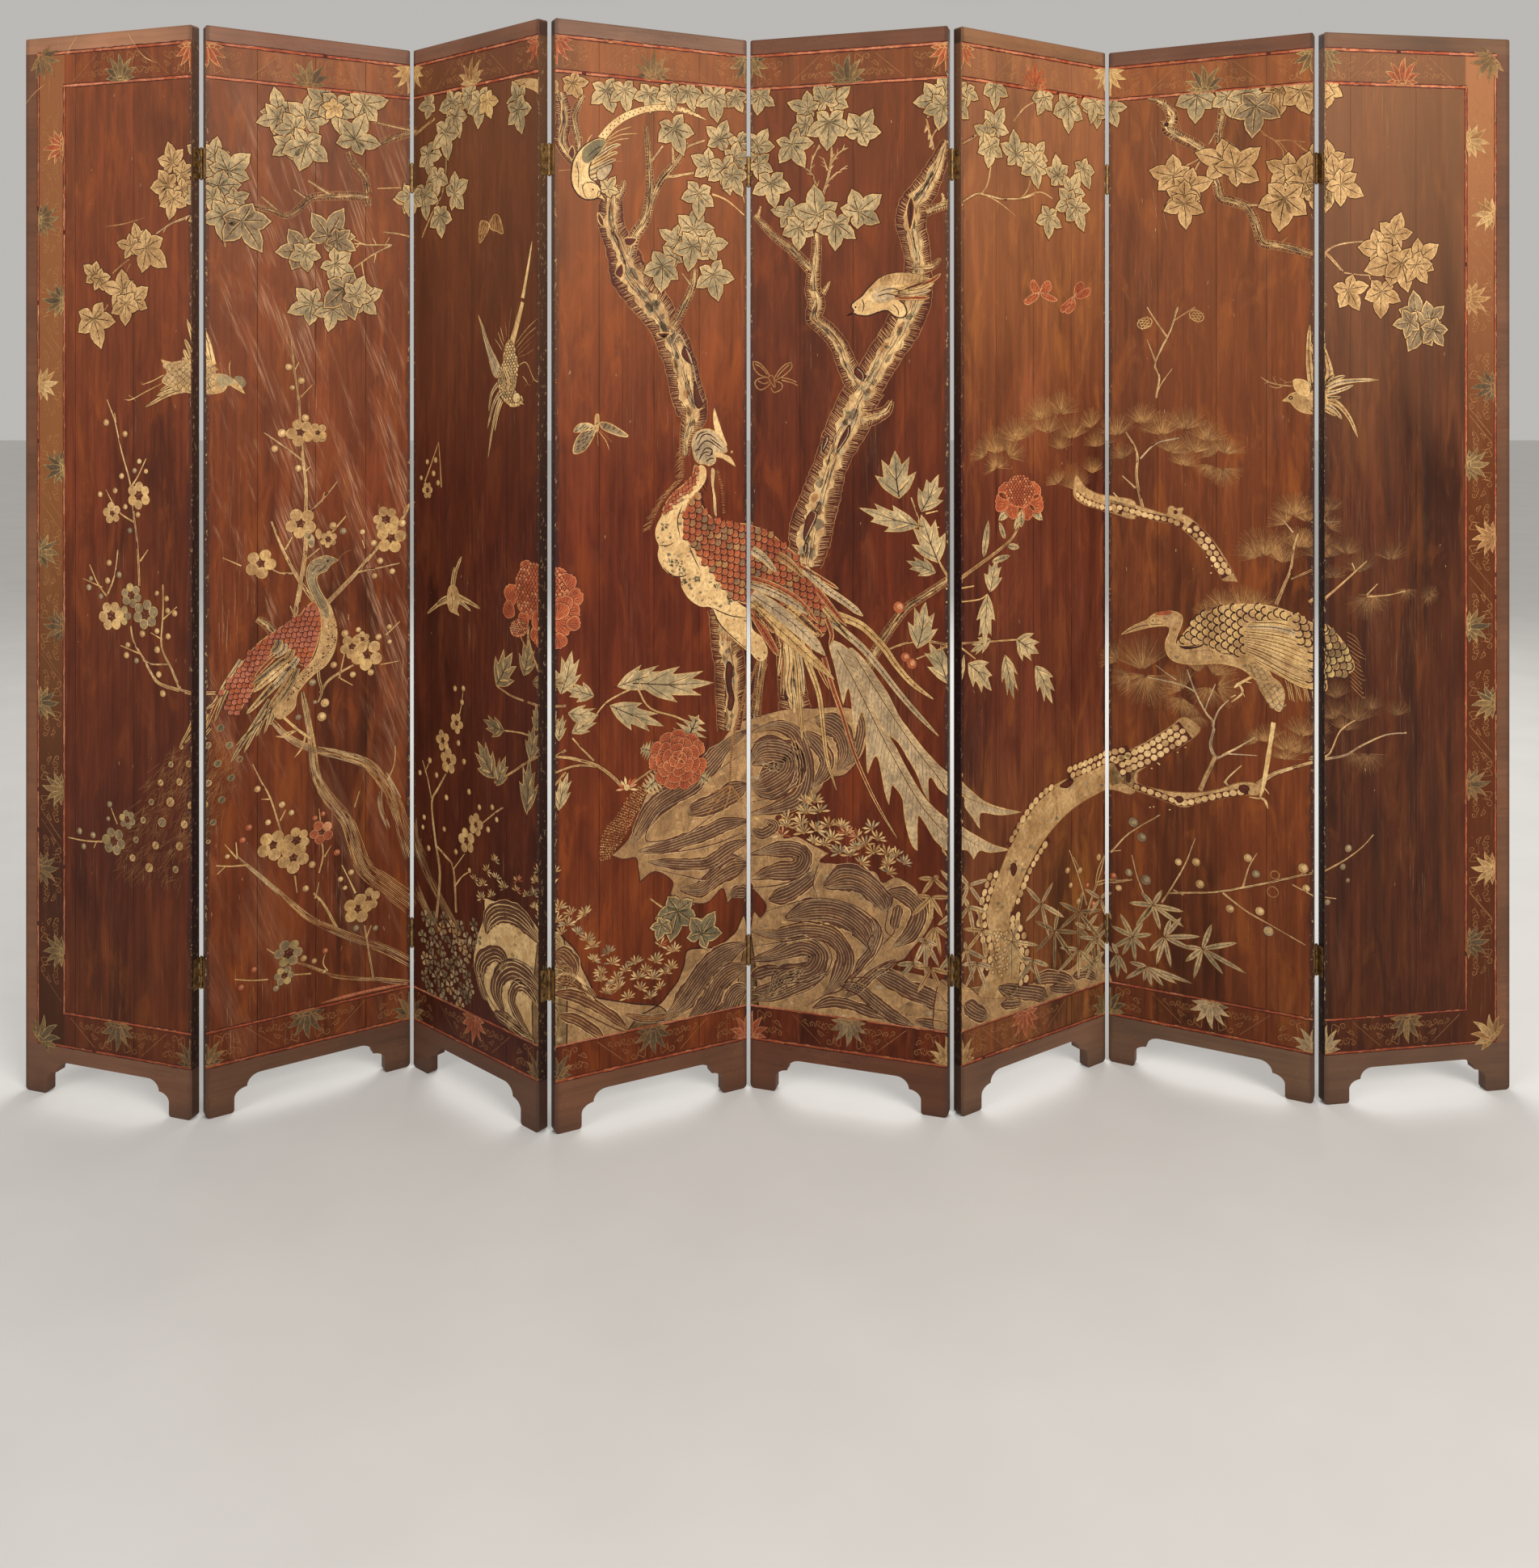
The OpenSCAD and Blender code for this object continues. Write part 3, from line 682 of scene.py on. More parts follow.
def red_line(p, q, lift=0.22, w=4.6, col="red_line"):
    """A worn red line with a darker side, broken here and there."""
    n = max(2, int(math.hypot(q[0] - p[0], q[1] - p[1]) / 9))
    upright = abs(q[0] - p[0]) < 1
    pts = []
    for i in range(n + 1):
        t = i / n
        o = jit(0.3)
        pts.append((p[0] + (q[0] - p[0]) * t + (o if upright else 0), p[1] + (q[1] - p[1]) * t + (0 if upright else o)))
    stroke(pts, w + 2.0, "maroon", lift - 0.06, taper="none", wobble=0.3)
    gap, k, tone = 0, w, col
    for i in range(n):
        if gap <= 0 and rnd.random() < 0.015:
            gap = 1
        gap -= 1
        if gap >= 0:
            continue
        k2 = w * (0.70 + 0.36 * rnd.random())
        if rnd.random() < 0.22:
            tone = rnd.choice((col, col, "red_line_deep", "coral"))
        ribbon([pts[i], pts[i + 1]], [k, k2], tone, lift)
        k = k2
        if rnd.random() < 0.28:
            o = (1 if rnd.random() < 0.7 else -1) * w * 0.40
            a, b = pts[i], pts[i + 1]
            if upright:
                a, b = (a[0] + o, a[1]), (b[0] + o, b[1])
            else:
                a, b = (a[0], a[1] + o), (b[0], b[1] + o)
            ribbon([a, b], [0.4 + 0.7 * rnd.random(), 0.4 + 0.7 * rnd.random()], rnd.choice(("gold", "coral_light", "ochre")), lift + 0.05)


def spiral(c, r, a0, turns, hand, start=None, w=1.25, lift=0.2, col="line"):
    """A curl: a tail from start, winding in to c."""
    pts = []
    n = int(10 * turns) + 2
    for i in range(n + 1):
        t = i / n
        rr = r * (1 - 0.8 * t)
        a = math.radians(a0) + hand * 2 * math.pi * turns * t
        pts.append((c[0] + rr * math.cos(a), c[1] + rr * math.sin(a)))
    if start:
        dx, dz = pts[1][0] - pts[0][0], pts[1][1] - pts[0][1]
        d = math.hypot(dx, dz) or 1
        k = math.hypot(start[0] - pts[0][0], start[1] - pts[0][1]) * 0.45
        mid = (pts[0][0] - dx / d * k, pts[0][1] - dz / d * k)
        pts = smooth([start, mid, pts[0]], 5)[:-1] + pts
    stroke(pts, w, col, lift, taper="both", wobble=0.5)


def curls(f, s, reach, h, col="line"):
    """The scrolls on one side of a palmette. f: (along, up from its line); s: side; reach: length of the zone."""
    def g(x, y):
        return f(s * x, y)

    def hand(v):
        a, b, c = f(0, 0), f(s, 0), f(0, 1)
        return v if (b[0] - a[0]) * (c[1] - a[1]) - (b[1] - a[1]) * (c[0] - a[0]) > 0 else -v

    def ang(x, y):
        a, b = f(0, 0), f(s * x, y)
        return math.degrees(math.atan2(b[1] - a[1], b[0] - a[0]))

    def curl(cx, cy, r, ax, ay, turns, hd, st):
        spiral(g(cx, cy), r, ang(ax, ay), turns, hand(hd), g(*st) if st else None, col=col)
    top, low = h * 0.76, h * 0.26
    curl(27, top - 4, 6.5, 0, 1, 1.2, -1, (16, h * 0.48))
    curl(40, top + 1, 7, -1, 0, 1.3, -1, (30, h * 0.5))
    curl(36, low + 2, 6.5, -1, 0, 1.3, 1, (26, h * 0.10))
    curl(50, low + 5, 6, 0, -1, 1.2, 1, (42, h * 0.42))
    if reach > 70:
        curl(62, low - 2, 5.5, 0, 1, 1.2, -1, (52, low - 6))
        curl(56, top - 12, 5, 1, 0, 1.1, 1, (46, top - 9))
    if reach > 95:
        curl(76, low + 2, 5.5, -1, 0, 1.3, 1, (66, low - 6))
        curl(90, low - 3, 4.5, 0, 1, 1.1, -1, (82, low + 8))
    for _ in range(2):
        x, y = 24 + rnd.random() * (reach - 30), h * (0.2 + 0.6 * rnd.random())
        stroke([g(x, y), g(x + 3, y + 2.5), g(x + 6, y + 1)], 0.8, col, 0.2)


def palmette(f, body, rim, r=1.0, lift=0.26, half=None):
    """A fan of seven slim pointed petals that grows from f(0, 0) along +y over a row of small scrolls."""
    def petal(a, ll, wd, l2):
        ca, sa = math.cos(math.radians(a)), math.sin(math.radians(a))
        s = 1 if a > 0 else -1

        def g(x, y):
            x, y = s * x * wd, y * ll
            return f((x * ca + y * sa) * r, (-x * sa + y * ca) * r)
        if a:
            pts = [(-0.12, 0), (-0.46, 0.36), (-0.50, 0.64), (-0.22, 0.84), (0.30, 1.06, 1), (0.30, 0.80), (0.44, 0.56), (0.40, 0.30), (0.12, 0)]
        else:
            pts = [(-0.14, 0), (-0.5, 0.4), (-0.46, 0.70), (-0.62, 0.92, 1), (-0.16, 0.86), (0, 1.05, 1), (0.16, 0.86), (0.62, 0.92, 1), (0.46, 0.70), (0.5, 0.4), (0.14, 0)]
        out = smooth([g(p[0], p[1]) + tuple(p[2:]) for p in pts], 2, True)
        stroke(out, 1.0, "dark", l2 - 0.004, closed=True)
        fill(out, body if rnd.random() < 0.7 else PAIR.get(body, body), l2)
        stroke(out, 0.75, rim, l2 + 0.03, closed=True, wobble=0.8)
        for k in (-0.2, 0.08):
            stroke([g(k * 0.6, 0.2), g(k, 0.5), g(k * 1.15, 0.78)], 0.55, "dark", l2 + 0.022, taper="both")
    for a, ll, wd in ((80, 33, 10), (-80, 33, 10), (54, 42, 12), (-54, 42, 12), (28, 49, 12), (-28, 49, 12), (0, 53, 14)):
        petal(a + jit(2), ll * (1 + jit(0.04)), wd, lift)
        lift += 0.04
    for x, q in ((-12, 6.5), (12, 6.5), (0, 8.5)):
        pts = [f((x + q * math.cos(t)) * r, (0.5 + q * 0.85 * math.sin(t)) * r) for t in [math.pi * i / 8 for i in range(9)]]
        fill(pts, body, lift)
        stroke(pts, 0.8, rim, lift + 0.03, taper="none", wobble=0.4)
        stroke([f((x + q * 0.55 * math.cos(t)) * r, (0.5 + q * 0.45 * math.sin(t)) * r) for t in [math.pi * i / 6 for i in range(7)]], 0.6, "dark", lift + 0.02, taper="none")
        lift += 0.02
    stroke([f(-26 * r, 0.6 * r), f(0, 1.2 * r), f(26 * r, 0.6 * r)], 1.0, rim, lift + 0.06, wobble=0.5)


def plain_frame(c, ux, uz):
    """Palmette frame: local x along ux, local y along uz."""
    return lambda x, y: (c[0] + x * ux[0] + y * uz[0], c[1] + x * ux[1] + y * uz[1])


TOP_TONES = {1: ("lotus", "olive_gold"), 2: ("lotus", "ochre"), 3: ("tan", "gold"), 4: ("lotus", "ochre"), 5: ("lotus", "olive_gold"),
             6: ("coral", "ochre"), 7: ("lotus", "olive_gold"), 8: ("coral", "gold")}
LOW_TONES = {1: ("lotus_dark", "ochre"), 2: ("lotus_dark", "ochre"), 3: ("coral", "coral_light"), 4: ("lotus_dark", "ochre"), 5: ("dull", "ochre"),
             6: ("coral", "coral_light"), 7: ("silver", "gold"), 8: ("lotus_dark", "ochre")}
JOINT_TOP = {1: ("coral", "gold"), 2: ("gold", "gold"), 3: ("coral", "coral_light"), 4: ("lotus", "olive_gold"), 5: ("coral", "gold"), 6: ("gold", "gold"), 7: ("lotus", "olive_gold")}
JOINT_LOW = {1: ("lotus_dark", "ochre"), 2: ("lotus", "ochre"), 3: ("lotus_dark", "ochre"), 4: ("coral", "coral_light"), 5: ("tan", "gold"), 6: ("lotus", "olive_gold"), 7: ("silver", "gold")}

BH = OUT_TOP - IN_TOP
for n in ALL:
    x0, x1 = (n - 1) * W, n * W
    a = x0 + (OUT_SIDE - 2.5 if n == 1 else 0)
    b = x1 - (OUT_SIDE - 2.5 if n == 8 else 0)
    red_line((a, OUT_TOP), (b, OUT_TOP))
    red_line((a, OUT_LOW), (b, OUT_LOW), w=3.4 if n in (1, 8) else 4.4, col="red_line_deep")
    a = x0 + (IN_SIDE - 2.5 if n == 1 else 0)
    b = x1 - (IN_SIDE - 2.5 if n == 8 else 0)
    red_line((a, IN_TOP), (b, IN_TOP))
    red_line((a, IN_LOW), (b, IN_LOW), w=2.6 if n == 8 else 3.8, col="red_line_deep" if n in (1, 2, 8) else "red_line")
    # middle palmettes, where the layout has them
    tx = {1: 149, 2: 383, 3: 583, 4: 808, 5: 1048, 6: 1280, 7: 1490, 8: 1735}[n]
    cu = m(tx, 90)[0]
    f = plain_frame((cu, IN_TOP + 3), (1, 0), (0, 1))
    palmette(f, *TOP_TONES[n])
    for s in (-1, 1):
        curls(f, s, 104, BH - 4)
        stroke([f(s * 58, BH - 12), f(s * 116, 5)], 1.0, "line", 0.2, taper="none", wobble=0.6)
    cu = m({1: 146, 2: 380, 3: 586, 4: 808, 5: 1050, 6: 1268, 7: 1497, 8: 1740}[n], 1290)[0]
    f = plain_frame((cu, IN_LOW - 3), (1, 0), (0, -1))
    palmette(f, *LOW_TONES[n])
    for s in (-1, 1):
        curls(f, s, 104, BH - 4, "line")
        stroke([f(s * 58, BH - 12), f(s * 116, 5)], 1.0, "line", 0.2, taper="none", wobble=0.6)
for j in range(1, 8):
    f = plain_frame((j * W, OUT_TOP - 3), (1, 0), (0, -1))
    palmette(f, *JOINT_TOP[j], r=0.98)
    for s in (-1, 1):
        curls(f, s, 74, BH - 4)
    f = plain_frame((j * W, OUT_LOW + 3), (1, 0), (0, 1))
    palmette(f, *JOINT_LOW[j], r=0.98)
    for s in (-1, 1):
        curls(f, s, 74, BH - 4, "line")

# the upright bands of the two outer panels
for n, x_out, x_in, way in ((1, OUT_SIDE, IN_SIDE, 1), (8, 8 * W - OUT_SIDE, 8 * W - IN_SIDE, -1)):
    red_line((x_out, OUT_LOW), (x_out, OUT_TOP), w=2.8)
    red_line((x_in, IN_LOW), (x_in, IN_TOP), w=3.4, col="red_line" if n == 1 else "red_line_deep")
    heights = {1: (183, 272, 372, 475, 578, 683, 775, 870, 975, 1075, 1175),
               8: (175, 265, 370, 478, 575, 665, 775, 870, 970, 1075, 1165)}[n]
    a, b, c, d, e = ("lotus", "olive_gold"), ("lotus_dark", "ochre"), ("coral", "gold"), ("tan", "gold"), ("ochre", "tan")
    tones = [c, a, a, d, a, a, b, a, a, b, a] if n == 1 else [d, d, e, b, a, e, a, a, b, d, b]
    for i, py in enumerate(heights):
        z = m(60 if n == 1 else 1835, py)[1]
        hang = i % 2 == (0 if n == 8 else 0)
        # even ones stand on the inner line and point outwards, the others the other way
        if hang:
            f = plain_frame((x_in - way * 3, z), (0, way), (-way, 0))
        else:
            f = plain_frame((x_out + way * 3, z), (0, -way), (way, 0))
        palmette(f, *tones[i], r=0.92)
        for s in (-1, 1):
            curls(f, s, 74, BH - 4)
        stroke([f(-44, BH - 12), f(-100, 5)], 1.0, "line", 0.2, taper="none", wobble=0.6)
    for z, uz in ((OUT_TOP, -1), (OUT_LOW, 1)):
        d = 0.7071
        f = plain_frame((x_out + way * 4, z + uz * 4), (d * way, -d * uz), (d * way, d * uz))
        palmette(f, *(("lotus", "ochre") if z > 1000 else (("lotus", "olive_gold") if n == 1 else ("tan", "gold"))), r=1.02)

for pts in (((158, 41), (176, 68), (194, 78)), ((96, 44), (86, 60), (84, 68)), ((27, 135), (42, 116), (56, 104)), ((72, 39), (73, 62))):
    stroke(smooth([m(x, y) for x, y in pts], 4), 0.9, "gold", 0.3, wobble=0.9)
BORDER = FACES
FACES = []

# ---- the painting --------------------------------------------------------------------------------------


def patch(ox, oy, k):
    """Points noted in an enlarged part of the layout, brought back to it."""
    return lambda *p: [(ox + x[0] / k, oy + x[1] / k) + tuple(x[2:]) for x in p]


g1, g2, g3, g4 = patch(0, 0, 3.267), patch(240, 0, 3.267), patch(480, 0, 3.267), patch(900, 0, 3.136)
g5, g6, g7, g8 = patch(1350, 0, 2.83), patch(0, 380, 3.015), patch(480, 380, 3.267), patch(0, 760, 3.015)
g9, g10, g11, g12 = patch(480, 760, 3.267), patch(880, 380, 3.015), patch(880, 760, 3.015), patch(1340, 380, 2.78)
g13, g14, g15 = patch(1340, 760, 2.78), patch(0, 1100, 3.015), patch(480, 1180, 3.267)
g16, g17 = patch(900, 1150, 3.136), patch(1350, 1100, 2.83)


def strata(pts, w0, w1, lift, base="rock_dark", lines="strata_grey", n=None, edge="rock_light", closed_ends=True, k=6, gain=None):
    """A hollow in a rock, cut with fine pale lines that follow it."""
    c = smooth([m(p[0], p[1]) for p in pts], k)
    nn = len(c)
    gain = gain or (1.5 if lines == "strata_grey" else 1.34)
    side = [[], []]
    ws = []
    for i in range(nn):
        t = i / (nn - 1)
        w = (w0 + (w1 - w0) * t) * gain
        if closed_ends:
            w *= min(1, 0.10 + 4.2 * t, 0.10 + 4.2 * (1 - t))
        ws.append(w)
    norm = normals(c)
    ragged = [[0.0, 0.0] for _ in range(nn)]
    for q in (0, 1):
        o = 0.0
        for i in range(nn):
            o = o * 0.6 + jit(0.06)
            ragged[i][q] = o
    for i in range(nn):
        w = ws[i]
        side[0].append((c[i][0] + norm[i][0] * w * (0.5 + ragged[i][0]), c[i][1] + norm[i][1] * w * (0.5 + ragged[i][0])))
        side[1].append((c[i][0] - norm[i][0] * w * (0.5 + ragged[i][1]), c[i][1] - norm[i][1] * w * (0.5 + ragged[i][1])))
    for i in range(nn - 1):
        fill([side[0][i], side[0][i + 1], side[1][i + 1], side[1][i]], base, lift)
    for s in side:
        stroke(s, 1.3, "ground", lift + 0.03, taper="none", wobble=0.6)
    for q, way in ((0, 1), (1, -1)):
        stroke([(p[0] + norm[i][0] * way * 1.8, p[1] + norm[i][1] * way * 1.8) for i, p in enumerate(side[q])], 1.1, rnd.choice(("gold", "cream", "silver")), lift + 0.026, taper="both", wobble=0.5)
    n = n or max(3, int((w0 + w1) / 2 * gain / 5.4))
    for q in range(n):
        o = ((q + 0.5) / n - 0.5) * 0.94
        i = rnd.randint(0, 2)
        drift = 0.0
        while i < nn - 2:
            j = min(nn - 1, i + rnd.randint(9, 26))
            seg = []
            for a in range(i, j + 1):
                drift = drift * 0.8 + jit(0.010)
                seg.append((c[a][0] + norm[a][0] * ws[a] * (o + drift), c[a][1] + norm[a][1] * ws[a] * (o + drift)))
            stroke(seg, 1.6, lines if rnd.random() < 0.8 else edge, lift + 0.04, taper="both", wobble=0.5)
            i = j + (1 if rnd.random() < 0.3 else 0)


def star(px, py, r, lift, col="gold", n=7, a0=None, spread=235, width=0.17):
    """A tuft of slim pointed leaves that fan out from one point."""
    c = m(px, py)
    rr = r * mm(px) * 1.42
    n = rnd.choice((6, 7, 7, 8))
    spread = 205 + jit(25)
    a0 = 90 - spread / 2 + jit(40)
    tones = {"gold": ("gold", "cream", "tan", "olive"), "coral": ("coral_light", "coral", "cream"), "silver": ("silver", "olive", "dull")}.get(col, (col,))
    for i in range(n):
        a = math.radians(a0 + spread * (i + 0.5) / n + jit(5))
        f = frame2(c, math.degrees(a), rr * (0.92 + jit(0.16)))
        fill([f(0, 0.10), f(width * 0.45, 0.45), f(width * 0.60, 0.70), f(0, 1.0), f(-width * 0.60, 0.70), f(-width * 0.45, 0.45)], rnd.choice(tones), lift + 0.004 * i)


def blotches(poly, n, tones, lift, r0=1.6, r1=4.6):
    """Irregular stains inside an outline in mm."""
    xs, ys = [q[0] for q in poly], [q[1] for q in poly]
    for _ in range(n * 4):
        q = (min(xs) + rnd.random() * (max(xs) - min(xs)), min(ys) + rnd.random() * (max(ys) - min(ys)))
        r = r0 + (r1 - r0) * rnd.random() ** 2
        if n > 0 and all(inside((q[0] + r * u, q[1] + r * v), poly) for u, v in ((1.3, 0), (-1.3, 0), (0, 1.2), (0, -1.2))):
            n -= 1
            a = rnd.random() * 3.14
            pts = [(q[0] + r * (0.9 + jit(0.35)) * math.cos(t + a) * 1.2, q[1] + r * (0.8 + jit(0.3)) * math.sin(t + a)) for t in [2 * math.pi * z / 9 for z in range(9)]]
            fill(pts, rnd.choice(tones), lift)


def wedge_leaf(px, py, r, ang, lift, col="silver"):
    c = m(px, py)
    f = frame2(c, ang, r * mm(px))
    pts = [f(0, 0.10), f(0.33, 0.80), f(0.12, 0.96), f(-0.14, 0.94), f(-0.33, 0.80)]
    fill(pts, col, lift)
    stroke([f(0, 0.1), f(0, 0.8)], 0.8, "dark", lift + 0.03)


def fringe(pts, ll, ang, n, w, col, lift, spread=12):
    c = smooth([m(p[0], p[1]) for p in pts], 5)
    for i in range(n):
        p, d = line_at(c, (i + 0.5 + jit(0.4)) / n)
        a = math.radians(ang + jit(spread))
        q = ll * (0.7 + 0.5 * rnd.random())
        mid = (p[0] + 0.5 * q * math.cos(a) , p[1] + 0.5 * q * math.sin(a) + 0.12 * q)
        stroke(smooth([p, mid, (p[0] + q * math.cos(a), p[1] + q * math.sin(a))], 3), w, col, lift, taper="both")


# -- the rocks of panels 4 and 5
L = 0.20
big = shape(g9((1460, 425), (1400, 445), (1345, 515), (1290, 560), (1210, 640), (1150, 700), (1060, 715), (1030, 760), (1000, 850), (960, 920), (903, 975, 1), (950, 990),
               (1000, 985), (1010, 1020), (1018, 1082, 1), (1080, 1040), (1150, 1080), (1143, 1135), (1200, 1162), (1290, 1166), (1350, 1108), (1372, 1168, 1), (1460, 1090))
            + g11((160, 1030), (205, 1085), (185, 1130), (150, 1150), (150, 1640), (900, 1640), (900, 1410), (800, 1350), (700, 1328), (640, 1312), (715, 1290), (745, 1255),
                  (800, 1190), (832, 1130, 1), (790, 1090), (762, 1022), (690, 980), (640, 1000), (610, 960), (540, 950), (470, 930), (405, 922), (440, 892, 1), (380, 860), (320, 828),
                  (270, 832), (240, 780), (255, 742), (340, 720), (372, 690), (412, 650), (432, 590), (452, 606), (495, 600), (522, 578), (560, 530), (580, 470), (576, 390), (520, 350),
                  (460, 345), (380, 350), (300, 350), (200, 372), (150, 388)),
            "rock_light", L, "ground", 2.0)
low4 = shape(g9((1460, 1243), (1400, 1290), (1330, 1342), (1250, 1350), (1208, 1362), (1195, 1420), (1172, 1480), (1135, 1530), (1105, 1568), (1060, 1600), (1000, 1640), (980, 1760), (1460, 1760)), "rock_light", L, "dark", 2.2)
for args in (
    (g9((1452, 470), (1370, 530), (1290, 620), (1220, 690), (1150, 730), (1080, 780), (1020, 870), (985, 930)), 30, 24),
    (g9((1452, 835), (1360, 850), (1270, 890), (1180, 920), (1100, 945), (1010, 958)), 24, 16),
    (g9((1452, 915), (1380, 945), (1300, 1000), (1230, 1010), (1130, 1005), (1050, 1000)), 22, 10),
    (g9((1452, 1010), (1390, 1020), (1320, 1065), (1265, 1110), (1180, 1112)), 34, 18),
    (g9((1452, 690), (1390, 720), (1320, 760), (1240, 790), (1210, 800)), 34, 16),
    (g9((1452, 1120), (1410, 1120), (1385, 1140)), 22, 8),
    (g9((1452, 1330), (1370, 1370), (1300, 1420), (1240, 1500), (1190, 1570), (1120, 1640)), 30, 30),
    (g9((1452, 1420), (1380, 1450), (1330, 1500), (1290, 1575), (1210, 1650)), 26, 30),
    (g9((1452, 1510), (1400, 1540), (1370, 1600), (1300, 1650)), 26, 26),
    (g11((150, 560), (200, 520), (285, 535), (280, 590), (200, 640), (152, 640)), 46, 40),
    (g11((150, 440), (240, 415), (310, 440), (345, 520), (355, 600), (330, 680), (250, 720), (150, 745)), 18, 24),
    (g11((345, 440), (395, 480), (430, 540), (420, 590), (375, 650)), 24, 14),
    (g11((385, 390), (450, 410), (490, 450), (505, 520), (470, 585)), 34, 20),
    (g11((540, 360), (560, 420), (545, 500), (520, 560)), 12, 10),
    (g11((152, 800), (190, 820), (235, 790), (200, 765)), 14, 10),
    (g11((150, 895), (230, 880), (300, 875), (345, 900), (320, 950), (230, 960), (150, 985)), 20, 26),
    (g11((215, 1065), (290, 1040), (350, 1000), (395, 960)), 26, 14),
    (g11((420, 1015), (500, 985), (570, 1005), (635, 1065), (650, 1110)), 34, 26),
    (g11((655, 1035), (725, 1050), (775, 1110), (745, 1190), (680, 1240)), 20, 18),
    (g11((700, 1085), (690, 1130), (680, 1175)), 14, 12),
    (g11((275, 1135), (380, 1105), (480, 1115), (560, 1170), (600, 1250)), 30, 34),
    (g11((150, 1180), (250, 1195), (350, 1180), (450, 1200), (500, 1275), (480, 1350), (420, 1420)), 20, 26),
    (g11((150, 1290), (250, 1265), (340, 1235), (400, 1270), (370, 1330), (270, 1350), (240, 1400), (170, 1440)), 26, 24),
    (g11((150, 1350), (210, 1330), (260, 1325)), 16, 12),
    (g16((560, 165), (640, 195), (720, 240), (790, 270), (866, 312)), 26, 24),
    (g16((430, 210), (510, 232), (570, 280), (640, 335), (720, 372)), 15, 17),
    (g16((330, 305), (400, 280), (470, 288), (540, 315), (610, 345)), 13, 13),
    (g16((730, 355), (800, 368), (866, 384)), 10, 12),
    (g16((95, 245), (160, 225), (230, 190), (300, 150)), 12, 12),
    (g16((95, 275), (180, 262), (250, 235), (330, 200), (400, 160)), 10, 10),
    (g11((690, 1290), (620, 1330), (560, 1380), (500, 1430)), 10, 12),
    (g11((600, 1130), (620, 1180), (600, 1250), (560, 1300), (520, 1370)), 10, 10),
):
    strata(args[0], args[1], args[2], L + 0.06, "hollow" if args[0][0][0] < 924 else "rock_dark", "strata_tan" if args[0][0][0] < 924 else "strata_grey")
# light bands over the stone, as soft contour lines
for pts in (g9((1440, 560), (1350, 620), (1230, 720), (1100, 790), (1045, 880), (1060, 920), (1200, 890), (1330, 800), (1440, 745)),
            g9((1440, 880), (1330, 925), (1200, 955), (1060, 965)), g9((1440, 965), (1360, 1010), (1290, 1070), (1210, 1060), (1080, 1030)),
            g11((150, 480), (250, 465), (305, 510), (300, 620), (230, 680), (150, 700)), g11((200, 1110), (330, 1070), (430, 1060), (560, 1100), (640, 1190), (600, 1290), (510, 1370)),
            g11((150, 1240), (280, 1220), (400, 1210), (450, 1290), (380, 1390), (250, 1440)), g11((400, 930), (380, 1000), (390, 1040)),
            g11((630, 1010), (660, 1090), (650, 1180), (700, 1210)), g11((150, 1020), (250, 1010), (330, 980), (385, 930))):
    line(pts, 1.6, "ground", L + 0.11, taper="both")
    line([(p[0] + 0.9, p[1] + 1.1) for p in pts], 1.2, "silver", L + 0.10, taper="both", wobble=0.9)
for pts in (g16((300, 300), (380, 255), (440, 235), (470, 190), (520, 140), (560, 95)), g16((470, 190), (520, 185), (560, 195)), g16((560, 95), (545, 50), (580, 0)), g16((600, 60), (640, 20), (650, 0)),
            g16((440, 232), (500, 250), (560, 310), (640, 360)), g16((95, 140), (160, 150), (230, 150), (290, 140)), g16((570, 160), (620, 130), (700, 130), (780, 160), (850, 220)),
            g15((672, 200), (760, 225), (850, 270), (960, 315), (1060, 300)), g15((672, 130), (760, 135), (840, 178))):
    line(pts, 1.7, "ground", L + 0.12, taper="both")
# mottling of the bare stone
for poly, cnt in ((big, 520), (low4, 60)):
    xs, ys = [q[0] for q in poly], [q[1] for q in poly]
    for _ in range(cnt):
        q = (min(xs) + rnd.random() * (max(xs) - min(xs)), min(ys) + rnd.random() * (max(ys) - min(ys)))
        if inside(q, poly):
            r = 2.0 + 4.5 * rnd.random()
            a = rnd.random() * 3.14
            pts = [(q[0] + r * (0.8 + jit(0.35)) * math.cos(t + a) * 1.7, q[1] + r * (0.6 + jit(0.3)) * math.sin(t + a)) for t in [2 * math.pi * z / 9 for z in range(9)]]
            fill(pts, rnd.choice(("rock", "gold", "silver", "tan", "tan", "dull")), L + 0.02)

# -- the rock of panel 3 and the low one of panel 4
r3 = shape(g9((392, 1150), (430, 1158), (500, 1170), (560, 1210), (622, 1295), (640, 1400), (640, 1800), (600, 1760), (560, 1695), (470, 1640), (420, 1600), (372, 1490), (346, 1400), (362, 1300), (388, 1220)), "cream", L, "dark", 2.0)
blotches(r3, 40, ("tan", "dull", "olive", "gold"), L + 0.03, 2.0, 6.0)
for args in (
    (g9((398, 1290), (410, 1235), (450, 1205), (510, 1215), (560, 1255), (618, 1330)), 17, 17), (g15((386, 118), (372, 70), (385, 25), (430, 0), (465, 22), (455, 70)), 15, 12),
    (g15((470, 240), (440, 160), (452, 95), (500, 62), (560, 92), (616, 150)), 14, 17), (g15((585, 345), (530, 260), (500, 190), (512, 140), (545, 128), (585, 170), (616, 235)), 9, 9),
    (g15((430, 235), (470, 262), (520, 300), (590, 350)), 9, 8), (g15((470, 240), (500, 280), (560, 330)), 8, 8), (g9((372, 1440), (378, 1500), (400, 1560)), 7, 7),
):
    strata(args[0], args[1], args[2], L + 0.06, "rock_dark", "cream", n=max(3, int((args[1] + args[2]) * 2.35 / 15)), gain=2.35)
